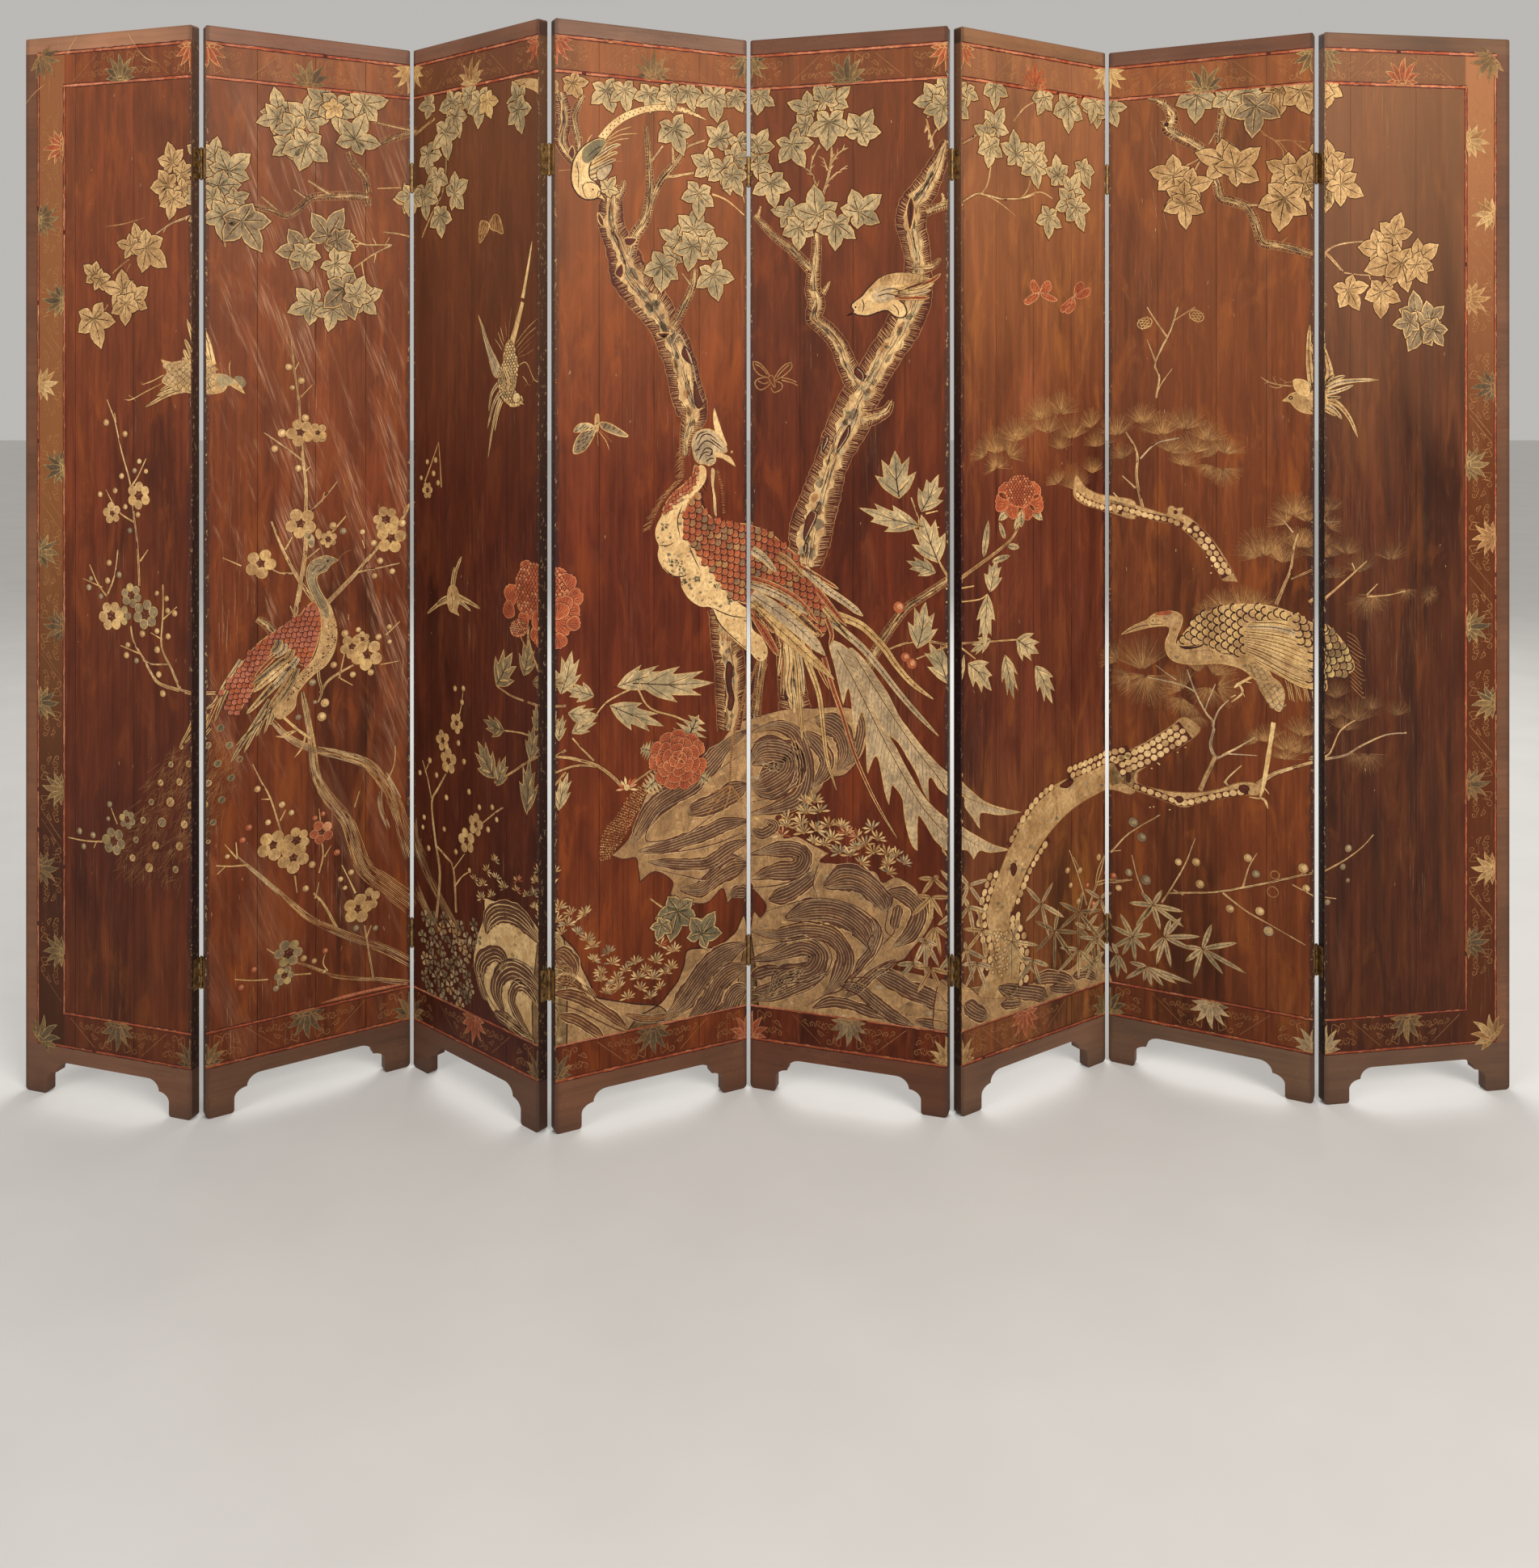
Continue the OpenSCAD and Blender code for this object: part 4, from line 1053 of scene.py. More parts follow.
for pts in (g15((395, 0), (370, 50), (380, 110), (420, 200), (470, 262)), g15((430, 110), (440, 50), (500, 20), (570, 50), (616, 110)), g15((600, 200), (570, 140), (520, 100))):
    line(pts, 1.6, "dark", L + 0.11, wobble=0.7)
r4 = shape(g9((670, 1310), (720, 1320), (765, 1370), (785, 1430), (800, 1460), (820, 1500), (840, 1545), (900, 1560), (1000, 1575), (1120, 1600), (1140, 1760), (670, 1800)), "rock_light", L, "dark", 2.0)
for args in ((g9((670, 1370), (710, 1380), (745, 1430), (720, 1470), (672, 1480)), 26, 20), (g15((668, 98), (735, 102), (790, 140), (838, 176)), 13, 9),
             (g15((668, 160), (745, 168), (820, 200), (900, 250), (970, 305)), 15, 13), (g15((690, 248), (760, 268), (820, 305), (870, 340)), 13, 12),
             (g15((960, 245), (1040, 262), (1110, 256), (1180, 236)), 9, 9), (g15((668, 40), (715, 55), (745, 90)), 10, 6)):
    strata(args[0], args[1], args[2], L + 0.06, "hollow", "strata_tan")
line(g9((670, 1480), (720, 1450), (780, 1480), (805, 1530), (835, 1560)), 5.0, "cream", L + 0.10, wobble=0.7)

# moss in rows of dots
outer = smooth(mp(g9((1035, 678), (975, 735), (925, 815), (878, 870), (858, 935), (858, 1000))), 8)
inner = smooth(mp(g9((1062, 700), (1014, 785), (980, 860), (946, 920), (914, 960), (898, 990))), 8)
for row in range(34):
    t = (row + 0.5) / 34
    p, _ = line_at(outer, t)
    q, _ = line_at(inner, t)
    k = max(3, int(math.hypot(p[0] - q[0], p[1] - q[1]) / 3.6))
    for i in range(k):
        w = (i + 0.5 * (row % 2)) / k
        dot((p[0] + (q[0] - p[0]) * w + jit(0.7), p[1] + (q[1] - p[1]) * w + jit(0.9)), 1.1 + 0.45 * rnd.random(), "gold" if rnd.random() < 0.6 else "ochre", L - 0.02, 6)

# -- the tree trunks of panels 4 and 5, below and behind the big bird
bough(g7((1352, 1215), (1362, 1300), (1372, 1400)) + g9((1382, 200), (1385, 330), (1378, 470)), [58, 60, 60, 60, 60, 44], 0.36, "bark", "gold", "dark", 1.3)
for cy, hh in ((290, 96),):
    slot = g9((1372, cy - hh), (1392, cy - hh + 22), (1386, cy - 10), (1398, cy + 50), (1388, cy + hh), (1374, cy + hh - 10), (1378, cy + 40), (1366, cy - 30))
    shape(slot, "ground", 0.44, "dark", 2.4)
bough(g11((285, 60), (290, 160), (300, 260), (312, 352)), [44, 46, 50, 60], 0.36, "bark", "gold", "dark", 1.5)
shape(g11((285, 205), (298, 215), (296, 290), (282, 318), (274, 300), (280, 250)), "ground", 0.44, "dark", 2.0)
bough(g11((190, 160), (180, 240), (170, 330), (165, 380)), [16, 14, 14, 18], 0.36, "tan", "gold", "dark", 1.6)

# panel 5: right fork, left fork, joined trunk
bough(g4((848, 545), (818, 630), (768, 730), (722, 800), (712, 870), (728, 940), (738, 1010), (735, 1100), (722, 1180), (668, 1290), (605, 1385)) + g10((575, 300),),
      [8, 30, 46, 54, 56, 48, 46, 54, 62, 64, 60, 60], 0.40, "bark", "gold", "dark", 1.6)
bough(g4((770, 822), (815, 806), (862, 792), (885, 785)), [16, 12, 10, 8], 0.42, "bark", "gold", "dark", 1.2)
bough(g4((815, 806), (838, 780), (832, 750)), [9, 6, 2], 0.42, "bark", "gold", "dark", 0)
bough(g4((730, 1036), (790, 1034), (826, 1004)), [18, 12, 2], 0.44, "bark", "gold", "dark", 0.6)
shape(g4((712, 765), (725, 800), (720, 860), (708, 895), (698, 860), (695, 810)), "ground", 0.52, "gold", 2.2)
line(g4((708, 790), (712, 830), (706, 870)), 2.4, "dark", 0.54)
bough(g4((106, 836), (180, 915), (255, 975), (322, 1045)), [8, 12, 16, 18], 0.45, "bark", "gold", "dark", 1.2)
bough(g4((118, 845), (124, 820), (130, 800)), [6, 4, 1], 0.45, "bark", "gold", "dark", 0)
bough(g4((345, 905), (345, 980), (335, 1060), (330, 1130)), [12, 14, 22, 26], 0.46, "bark", "gold", "dark", 1.2)
bough(g4((370, 1140), (385, 1115), (398, 1092)), [10, 7, 1], 0.47, "bark", "gold", "dark", 0)
bough(g4((330, 1120), (345, 1180), (335, 1220)) + g10((388, 50), (440, 95), (480, 150), (508, 220), (545, 285)), [26, 32, 28, 26, 28, 30, 36, 44], 0.46, "bark", "gold", "dark", 1.5)
joined = bough(g10((590, 285), (545, 350), (520, 420), (480, 500), (448, 580), (425, 650), (405, 720), (378, 800), (365, 880), (352, 965)),
               [66, 70, 76, 72, 62, 68, 74, 84, 78, 56], 0.42, "bark", "gold", "dark", 1.7)
bough(g10((560, 425), (620, 405), (655, 385), (672, 350)), [30, 20, 14, 3], 0.44, "bark", "gold", "dark", 1.4)
for s in (g10((545, 225), (570, 250), (565, 275), (535, 250)), g10((515, 440), (512, 480), (470, 540), (480, 500)), g10((436, 480), (436, 500), (415, 540), (420, 500)),
          g10((378, 760), (395, 775), (372, 830), (352, 870), (345, 850), (355, 790)), g10((352, 880), (358, 890), (352, 920), (345, 900))):
    shape(s, "ground", 0.52, "dark", 2.0)
    line([(p[0] - 1.5, p[1]) for p in s], 1.4, "silver", 0.55)

# panel 4: the left tree's trunk from its crown to the bird
bough(g3((912, 745), (905, 800), (900, 860), (905, 920), (930, 980), (958, 1050), (975, 1110), (1030, 1185), (1085, 1255)) + g7((1125, 90), (1160, 165), (1188, 250), (1205, 330), (1228, 410), (1232, 455), (1210, 510), (1198, 600)),
      [26, 38, 46, 48, 52, 66, 74, 74, 66, 56, 64, 62, 66, 64, 50, 26, 10], 0.40, "bark", "gold", "dark", 1.8)
bough(g3((925, 800), (945, 770), (955, 730)), [18, 12, 2], 0.41, "bark", "gold", "dark", 0.8)
bough(g3((1042, 512), (1054, 640), (1058, 760), (1042, 880), (995, 955), (978, 1030)), [5, 9, 14, 18, 20, 22], 0.42, "bark", "gold", "dark", 1.5)
bough(g3((1206, 575), (1165, 655), (1110, 720), (1072, 790), (1050, 880)), [7, 11, 12, 12, 10], 0.43, "bark", "gold", "dark", 1.3)
for pts, w in ((((1150, 588), (1152, 660)), 8), (((1280, 568), (1215, 592), (1180, 635)), 7), (((1236, 698), (1160, 712), (1120, 715)), 8), (((1110, 590), (1082, 630), (1062, 655)), 7)):
    twig(g3(*pts), w * 0.6, w, 0.42, "bark", thorns=0)
bough(g3((1240, 1088), (1228, 1165), (1190, 1250), (1150, 1320)), [7, 12, 14, 14], 0.43, "bark", "gold", "dark", 1.4)
twig(g3((1190, 1105), (1222, 1150)), 3, 6, 0.43, "bark")
bough(g3((690, 375), (712, 470), (700, 560), (725, 620), (752, 660)), [22, 26, 22, 16, 6], 0.40, "bark", "gold", "dark", 1.3)
bough(g3((790, 385), (752, 470), (768, 560), (770, 620)), [8, 12, 14, 6], 0.41, "bark", "gold", "dark", 1.0)
for s in (g3((850, 860), (868, 885), (872, 915), (856, 905), (847, 882)), g3((955, 965), (985, 960), (1005, 968), (985, 992), (962, 990)), g3((945, 1065), (952, 1100), (940, 1125), (918, 1108), (925, 1085)),
          g3((745, 590), (755, 620), (745, 645), (728, 620)), g3((1085, 1350), (1110, 1345), (1140, 1348), (1115, 1368))):
    shape(s, "ground", 0.52, "gold", 1.8)
for s in (g7((1200, 160), (1222, 190), (1232, 230), (1205, 215), (1188, 190)), g7((1240, 300), (1256, 350), (1270, 395), (1252, 408), (1240, 380), (1236, 330)), g7((1120, 110), (1100, 120), (1125, 125))):
    shape(s, "ground", 0.52, "dark", 2.0)
line(g7((1150, 150), (1175, 110), (1205, 160), (1235, 250), (1250, 330), (1272, 380)), 3.0, "silver", 0.53, wobble=0.6)
shape(g7((1306, 650), (1322, 662), (1318, 720), (1327, 780), (1330, 852, 1), (1316, 830), (1312, 760), (1304, 700)), "bark", 0.40, "dark", 1.1)
fringe(g7((1325, 660), (1345, 740), (1352, 840)), 7, 5, 24, 0.9, "ochre", 0.34)
fringe(g7((1285, 680), (1262, 760), (1290, 830), (1320, 850)), 14, -60, 26, 0.9, "dark", 0.36)
fringe(g7((1200, 560), (1196, 620), (1195, 690), (1150, 738), (1105, 800), (1075, 860), (1060, 900)), 20, 205, 64, 1.0, "ochre", 0.30)

# -- the big phoenix
P = 0.62
# hanging plumes behind the wing
for pts, w0, w1, body in (
    (g11((245, 40), (262, 110), (268, 190), (258, 300)), 9, 3, "coral"), (g11((300, 80), (318, 180), (326, 300), (340, 475)), 12, 4, "gold"),
    (g11((330, 90), (365, 190), (402, 300), (418, 430), (432, 540), (467, 655)), 13, 4, "gold"), (g11((350, 110), (395, 190), (440, 280)), 11, 4, "coral"),
    (g11((285, 100), (292, 180), (285, 260), (300, 330)), 16, 8, "cream"), (g11((320, 120), (336, 200), (345, 300)), 12, 5, "silver"),
    (g11((420, 160), (452, 270), (492, 385), (530, 510), (580, 630), (630, 730), (693, 835)), 10, 3, "coral"),
    (g11((270, 90), (262, 150), (250, 230)), 9, 4, "gold"),
):
    feather(pts, w0, w1, P - 0.06, body, "gold", "dark")
# tail
tail_b = shape(g11((440, 105), (480, 108), (530, 150), (580, 230), (620, 330), (650, 430), (690, 500), (720, 560), (760, 630), (800, 690), (850, 740), (890, 775), (930, 790), (985, 825),
                   (1050, 860), (1112, 878, 1), (1040, 888), (1000, 880), (978, 912, 1), (955, 880), (915, 880), (882, 905, 1), (862, 870), (830, 835), (795, 775), (770, 755), (768, 882, 1),
                   (745, 850), (722, 760), (715, 690), (690, 650), (672, 640), (662, 710, 1), (648, 660), (635, 590), (622, 535), (605, 535), (583, 594, 1), (580, 540), (578, 450), (572, 385),
                   (556, 368), (535, 442, 1), (530, 400), (520, 300), (508, 275), (492, 337, 1), (478, 270), (460, 190)), "silver", P, "gold", 1.6, 3)
tail_a = shape(g11((515, 125), (570, 170), (620, 240), (660, 300), (700, 380), (740, 435), (790, 500), (850, 565), (890, 600), (930, 620), (970, 660), (1020, 700), (1080, 722), (1157, 738, 1),
                   (1080, 748), (1025, 740), (1000, 745), (1000, 799, 1), (975, 760), (945, 715), (900, 690), (850, 650), (825, 610), (808, 620), (812, 697, 1), (790, 655), (765, 590),
                   (730, 530), (700, 480), (670, 455), (640, 430), (610, 360), (560, 250)), "silver", P + 0.07, "gold", 1.6, 3)
for shaft, poly, l2 in ((g11((470, 130), (545, 270), (620, 420), (700, 570), (790, 720), (890, 830), (1000, 865)), tail_b, P), (g11((540, 160), (640, 320), (740, 470), (850, 610), (950, 680), (1100, 735)), tail_a, P + 0.07)):
    c = smooth(mp(shaft), 6)
    stroke(c, 2.0, "dark", l2 + 0.05, taper="end")
    stroke([(p[0] + 1.2, p[1]) for p in c], 1.2, "gold", l2 + 0.055, taper="end")
    for i in range(40):
        p, d = line_at(c, (i + 0.5) / 40)
        for s in (-1, 1):
            a = math.radians(d + s * 38)
            ll = 0
            while ll < 60 and inside((p[0] + (ll + 4) * math.cos(a), p[1] + (ll + 4) * math.sin(a)), poly):
                ll += 4
            if ll > 6:
                stroke([p, (p[0] + ll * 0.92 * math.cos(a), p[1] + ll * 0.92 * math.sin(a))], 0.9 if i % 2 else 1.3, "dark", l2 + 0.05, taper="both")
                if i % 2 == 0:
                    stroke([(p[0] + 2.2, p[1]), (p[0] + 2.2 + ll * 0.8 * math.cos(a), p[1] + ll * 0.8 * math.sin(a))], 1.0, "gold", l2 + 0.045, taper="both")
for pts, w0, w1, body in (
    (g11((440, 20), (550, 112), (620, 190), (690, 280), (760, 362), (848, 454)), 15, 8, "silver"),
    (g11((460, 0), (560, 42), (640, 120), (690, 190), (750, 258), (828, 316)), 16, 8, "gold"),
    (g10((345, 975), (420, 1045), (500, 1100), (566, 1152)), 17, 12, "silver"), (g10((330, 965), (400, 1005), (476, 1052)), 9, 5, "coral"),
    (g10((420, 1120), (470, 1180), (520, 1245)), 12, 6, "gold"),
):
    feather(pts, w0, w1, P + 0.10, body, "gold", "dark", 14)
cream = shape(g7((1262, 640), (1283, 655), (1280, 700), (1258, 735), (1225, 770), (1203, 800), (1197, 850), (1205, 930), (1240, 980), (1280, 1030), (1325, 1085), (1370, 1150), (1425, 1205), (1450, 1225))
              + g10((152, 1200), (188, 1232), (206, 1268), (207, 1300), (192, 1318), (170, 1312), (150, 1290)) + g7((1448, 1385), (1400, 1345), (1350, 1290), (1310, 1215), (1265, 1208), (1220, 1180),
              (1190, 1135), (1182, 1092), (1150, 1085), (1110, 1050), (1092, 1005), (1096, 965), (1083, 930), (1085, 890), (1108, 845), (1140, 810), (1180, 775), (1225, 735), (1248, 690), (1255, 655)),
              "cream", P, "gold_bright", 1.8)
for pts in (g7((1096, 962), (1130, 964), (1156, 950)), g7((1112, 1050), (1150, 1085), (1190, 1088), (1212, 1078)), g7((1310, 1215), (1380, 1246), (1450, 1256)), g7((1312, 1218), (1348, 1290), (1450, 1384)),
            g10((150, 1180), (185, 1215), (206, 1262)), g7((1190, 800), (1170, 860), (1180, 930)), g7((1215, 960), (1235, 1010), (1260, 1060))):
    line(pts, 1.8, "dark", P + 0.06)
for c0, rr in (((1120, 890), 16), ((1165, 1045), 26), ((1150, 1030), 18), ((1200, 1110), 14), ((1330, 1130), 14), ((1380, 1190), 12), ((1250, 1100), 10), ((1185, 1070), 16)):
    (a,) = g7(c0)
    for _ in range(16):
        dot((m(*a)[0] + jit(rr * 0.5), m(*a)[1] + jit(rr * 0.45)), 1.0 + rnd.random() * 1.6, "green", P + 0.04, 6)
blotches(cream, 92, ("dull", "tan", "green", "ochre", "olive", "dull"), P + 0.02)
neck = shape(g7((1240, 640), (1257, 655), (1250, 690), (1227, 735), (1182, 775), (1142, 812), (1106, 848, 1), (1112, 815), (1130, 780), (1160, 745), (1200, 712), (1228, 680)), "coral", P + 0.02, "gold", 1.3)
scale_arcs(neck, 10, -120, P + 0.05, "coral_light", None, "maroon", fills=("coral", "coral", "rose", "coral_light"))
body = shape(g7((1250, 745), (1262, 790), (1290, 835), (1330, 862), (1390, 872), (1450, 876)) + g10((150, 815), (215, 838), (262, 878), (318, 925), (345, 978), (385, 1035), (418, 1085), (434, 1140), (430, 1200),
             (405, 1230), (365, 1200), (320, 1150), (260, 1098), (200, 1068), (152, 1090)) + g7((1450, 1200), (1385, 1168), (1325, 1095), (1280, 1035), (1240, 985), (1205, 935), (1195, 860), (1203, 810), (1225, 775)),
             "coral", P + 0.04, "gold", 1.5)
scale_arcs(body, 17, -52, P + 0.08, "tan", None, "maroon", fills=("coral", "rose", "coral", "ochre", "rock", "coral"))
# wing coverts and flight feathers
for pts, w0, w1, bd in (
    (g10((152, 905), (195, 935), (245, 990)), 22, 10, "silver"), (g10((250, 925), (300, 960), (345, 1010)), 20, 8, "ochre"),
    (g10((152, 1035), (220, 1058), (300, 1100), (372, 1150)), 20, 16, "silver"), (g10((152, 1012), (230, 1040), (320, 1090), (400, 1180)), 14, 12, "coral"),
    (g10((152, 1072), (240, 1130), (340, 1210), (426, 1300)), 30, 26, "silver"), (g10((152, 1100), (230, 1180), (330, 1270), (458, 1388)), 24, 20, "gold"),
    (g10((160, 1150), (215, 1240), (250, 1300)), 18, 12, "coral"), (g10((285, 1120), (345, 1170), (402, 1225)), 18, 12, "gold"),
    (g10((152, 1125), (205, 1180), (240, 1215)), 16, 10, "coral"), (g10((330, 1150), (372, 1190), (415, 1222)), 14, 10, "coral"),
    (g10((400, 1060), (440, 1110), (505, 1190)), 14, 8, "coral"), (g10((430, 1160), (450, 1220), (440, 1260)), 10, 6, "coral"),
):
    feather(pts, w0, w1, P + 0.16, bd, "gold", "dark", 10, profile=lambda t: 0.55 + 0.9 * math.sin(math.pi * min(1, 0.15 + t * 0.8)) * 0.55)
# head
shape(g7((1318, 408, 1), (1332, 450), (1352, 512), (1370, 560), (1350, 540), (1325, 508), (1314, 450)), "cream", P + 0.05, "gold", 1.0)
head = shape(g7((1236, 602), (1228, 550), (1240, 515), (1265, 497), (1300, 494), (1335, 514), (1356, 545), (1370, 582), (1345, 590), (1325, 602), (1322, 626), (1300, 640), (1280, 634), (1260, 632), (1246, 622)),
             "silver", P + 0.08, "gold", 1.5)
shape(g7((1326, 586), (1362, 596), (1386, 610), (1404, 644, 1), (1382, 630), (1350, 610), (1324, 604)), "cream", P + 0.10, "gold", 1.0)
dot(m(*g7((1389, 585))[0]), 3.0, "gold", P + 0.1)
for pts in (g7((1245, 600), (1262, 560), (1290, 540), (1325, 560), (1350, 580)), g7((1255, 620), (1275, 590), (1300, 585)), g7((1250, 560), (1270, 520), (1300, 515), (1335, 545)), g7((1262, 600), (1285, 570), (1310, 578), (1300, 600), (1282, 596)),
            g7((1242, 540), (1258, 512), (1290, 502)), g7((1285, 625), (1302, 612), (1318, 612)), g7((1300, 530), (1330, 552), (1352, 570)), g7((1240, 585), (1250, 575), (1262, 578))):
    line(pts, 2.0, "dark", P + 0.12)
dot(m(*g7((1308, 592))[0]), 2.6, "dark", P + 0.13)
# legs and claws on the rock
for pts in (g9((1500, 175), (1470, 260), (1425, 380), (1400, 470), (1385, 600), (1382, 700)), g9((1530, 200), (1495, 300), (1460, 350), (1440, 420))):
    line(pts, 4.2, "ochre", P, taper="none")
    c = smooth(mp(pts), 6)
    for i in range(int(length(c) / 5)):
        p, d = line_at(c, (i + 0.5) * 5 / length(c))
        a = math.radians(d + 90)
        stroke([(p[0] + 1.9 * math.cos(a), p[1] + 1.9 * math.sin(a)), (p[0] - 1.9 * math.cos(a), p[1] - 1.9 * math.sin(a))], 0.9, "dark", P + 0.03, taper="none")
for pts in (g9((1382, 690), (1330, 715), (1265, 722)), g9((1380, 700), (1300, 760), (1222, 810)), g9((1384, 700), (1370, 760), (1350, 800)), g9((1388, 695), (1420, 740), (1440, 770)),
            g9((1372, 705), (1320, 770), (1290, 810))):
    line(pts, 2.6, "ochre", P + 0.02, taper="end")
for _ in range(26):
    a = math.radians(200 + rnd.random() * 110)
    c = m(*g9((1375, 690))[0])
    stroke([(c[0] + 14 * math.cos(a), c[1] + 14 * math.sin(a)), (c[0] + (40 + 30 * rnd.random()) * math.cos(a), c[1] + (34 + 26 * rnd.random()) * math.sin(a))], 0.9, "ochre", P, taper="both")

# -- leaf sprays, birds and insects of panels 3 to 6, upper half


def leaves(g, k, rows, lift, **kw):
    pts = g(*[(r[0], r[1]) for r in rows])
    maples([(p[0], p[1], r[2] / k * (1.2 if 512 < p[0] < 676 else 1.0), r[3]) for p, r in zip(pts, rows)], lift, **kw)


leaves(g3, 3.267, [(165, 425, 48, 190), (330, 395, 62, -80), (262, 425, 66, -100), (275, 480, 60, -75), (372, 420, 68, -90), (235, 545, 72, -78)], 0.30)
leaves(g3, 3.267, [(402, 415, 54, -75)], 0.62, body="gold", vein="dull")
leaves(g3, 3.267, [(165, 632, 62, -80), (200, 722, 55, -95), (150, 800, 66, -85), (92, 800, 62, -100), (275, 778, 66, 20), (212, 880, 58, -88)], 0.32)
leaves(g3, 3.267, [(525, 395, 52, 115), (528, 455, 66, -72)], 0.30)
twig(g3((110, 545), (150, 510), (190, 480)), 9, 6, 0.28, "bark")
twig(g3((232, 600), (235, 680), (220, 780), (175, 870), (138, 960)), 7, 5, 0.29, "bark")
shape(g3((510, 330), (560, 318), (612, 326), (618, 360), (618, 430, 1), (608, 380), (585, 362), (540, 345)), "tan", 0.3, "gold", 1.2)

leaves(g3, 3.267, [(752, 342, 60, -60)], 0.30, body="tan")
leaves(g3, 3.267, [(885, 375, 72, -70), (958, 372, 66, -80)], 0.30)
leaves(g3, 3.267, [(1055, 388, 62, -95), (1140, 382, 62, -85), (1215, 378, 58, -70), (1318, 398, 78, -82), (1405, 400, 52, -60)], 0.42)
leaves(g3, 3.267, [(1158, 530, 82, -72)], 0.56)
leaves(g3, 3.267, [(1342, 555, 70, 75), (1425, 585, 62, -60), (1290, 668, 66, 150), (1405, 640, 62, 10), (1360, 690, 76, -75), (1395, 715, 66, -55), (1255, 792, 74, -98)], 0.56)
leaves(g3, 3.267, [(1160, 972, 62, 150), (1238, 918, 78, 75), (1145, 1040, 52, 200), (1228, 1005, 80, -100), (1302, 990, 62, 10), (1108, 1085, 84, -100), (1315, 1120, 80, -78)], 0.56)
twig(g3((1310, 785), (1370, 810), (1440, 870)), 4, 2, 0.4)
twig(g3((1430, 760), (1440, 820)), 2, 1, 0.4)

leaves(g4, 3.136, [(125, 380, 60, -100), (120, 560, 62, 60), (125, 640, 50, -30), (168, 722, 74, -88)], 0.56)
leaves(g4, 3.136, [(420, 385, 62, 40), (375, 385, 62, 110), (305, 420, 62, 160), (300, 490, 56, 200), (395, 485, 84, -90), (520, 500, 76, 62), (255, 568, 76, -62)], 0.56)
leaves(g4, 3.136, [(238, 825, 56, 165), (275, 890, 66, -95), (345, 825, 86, 100), (420, 880, 80, -98), (518, 815, 84, 40)], 0.56)
leaves(g4, 3.136, [(840, 350, 62, 175), (800, 388, 68, 185), (835, 420, 70, -100)], 0.56, body="olive", vein="dark")
for pts, w0, w1 in ((((358, 768), (345, 720), (322, 668), (268, 635)), 8, 3), (((322, 668), (330, 620), (358, 562)), 6, 3), (((368, 768), (388, 700), (402, 630), (406, 556)), 9, 5),
                    (((388, 662), (372, 612)), 5, 2), (((400, 640), (430, 595), (468, 572)), 6, 3), (((385, 712), (420, 675), (466, 642)), 6, 2)):
    twig(g4(*pts), w0 * 0.9, w1, 0.5, "bark", thorns=3)
twig(g4((772, 460), (785, 520), (800, 580)), 2, 8, 0.42, "bark", thorns=3)
twig(g4((830, 480), (800, 520), (786, 560)), 1.5, 4, 0.42, "bark")

leaves(g4, 3.136, [(928, 362, 58, -95), (1038, 345, 68, -92), (1225, 385, 62, -115), (1320, 425, 82, -92), (1422, 405, 66, -100)], 0.40)
leaves(g4, 3.136, [(1040, 485, 66, 60), (1005, 520, 56, 160), (1020, 575, 66, -95), (1118, 590, 76, 95), (1200, 600, 52, 60), (1190, 645, 76, -85), (1280, 675, 66, 95), (1380, 662, 60, -70), (1335, 740, 66, 60),
                   (1320, 790, 66, 200), (1355, 815, 72, -70), (1245, 850, 66, -95)], 0.40)
for pts, w0, w1 in ((((905, 790), (960, 755), (1000, 755), (1070, 772), (1140, 770), (1190, 755)), 7, 5), (((985, 755), (1010, 710), (1022, 640)), 6, 4), (((1140, 770), (1165, 735), (1175, 700)), 5, 3),
                    (((1140, 770), (1210, 745), (1260, 770)), 4, 3), (((1000, 755), (1060, 790), (1120, 840)), 4, 1), (((905, 560), (950, 535), (985, 510)), 9, 7), (((1110, 470), (1150, 420), (1190, 395)), 5, 3)):
    twig(g4(*pts), w0 * 0.7, w1 * 0.8, 0.30, "tan")

# the long tailed bird of panel 4
feather(g3((862, 562), (905, 510), (965, 468), (1050, 440), (1140, 436), (1210, 450), (1285, 484)), 15, 7, 0.46, "cream", "gold", "dark", 0, shaft=False)
arch = smooth(mp(g3((862, 562), (905, 510), (965, 468), (1050, 440), (1140, 436), (1210, 450), (1270, 478))), 8)
for i in range(40):
    p, d = line_at(arch, (i + 0.5) / 40)
    a = math.radians(d + 90)
    o = 2.6 if i % 2 else -2.6
    dot((p[0] + o * math.cos(a), p[1] + o * math.sin(a)), 1.4, "dark", 0.54, 6)
for pts in (((885, 570), (940, 545), (1010, 540)), ((890, 560), (930, 530), (985, 512)), ((895, 580), (930, 565), (975, 560)), ((900, 590), (940, 590)), ((870, 640), (900, 610), (940, 585)), ((805, 580), (812, 560), (825, 545))):
    line(g3(*pts), 1.6, "gold", 0.46, taper="end")
for pts, w0, w1, bd in ((((798, 664), (850, 628), (905, 592), (940, 584)), 8, 4, "silver"), (((800, 680), (855, 650), (905, 622), (928, 616)), 8, 4, "gold"), (((804, 696), (855, 672), (900, 650), (920, 645)), 8, 4, "silver"),
                        (((808, 712), (850, 695), (890, 674), (908, 668)), 8, 4, "tan"), (((815, 728), (850, 714), (882, 698)), 8, 4, "silver")):
    feather(g3(*pts), w0, w1, 0.50, bd, "gold_bright", "dark", 0)
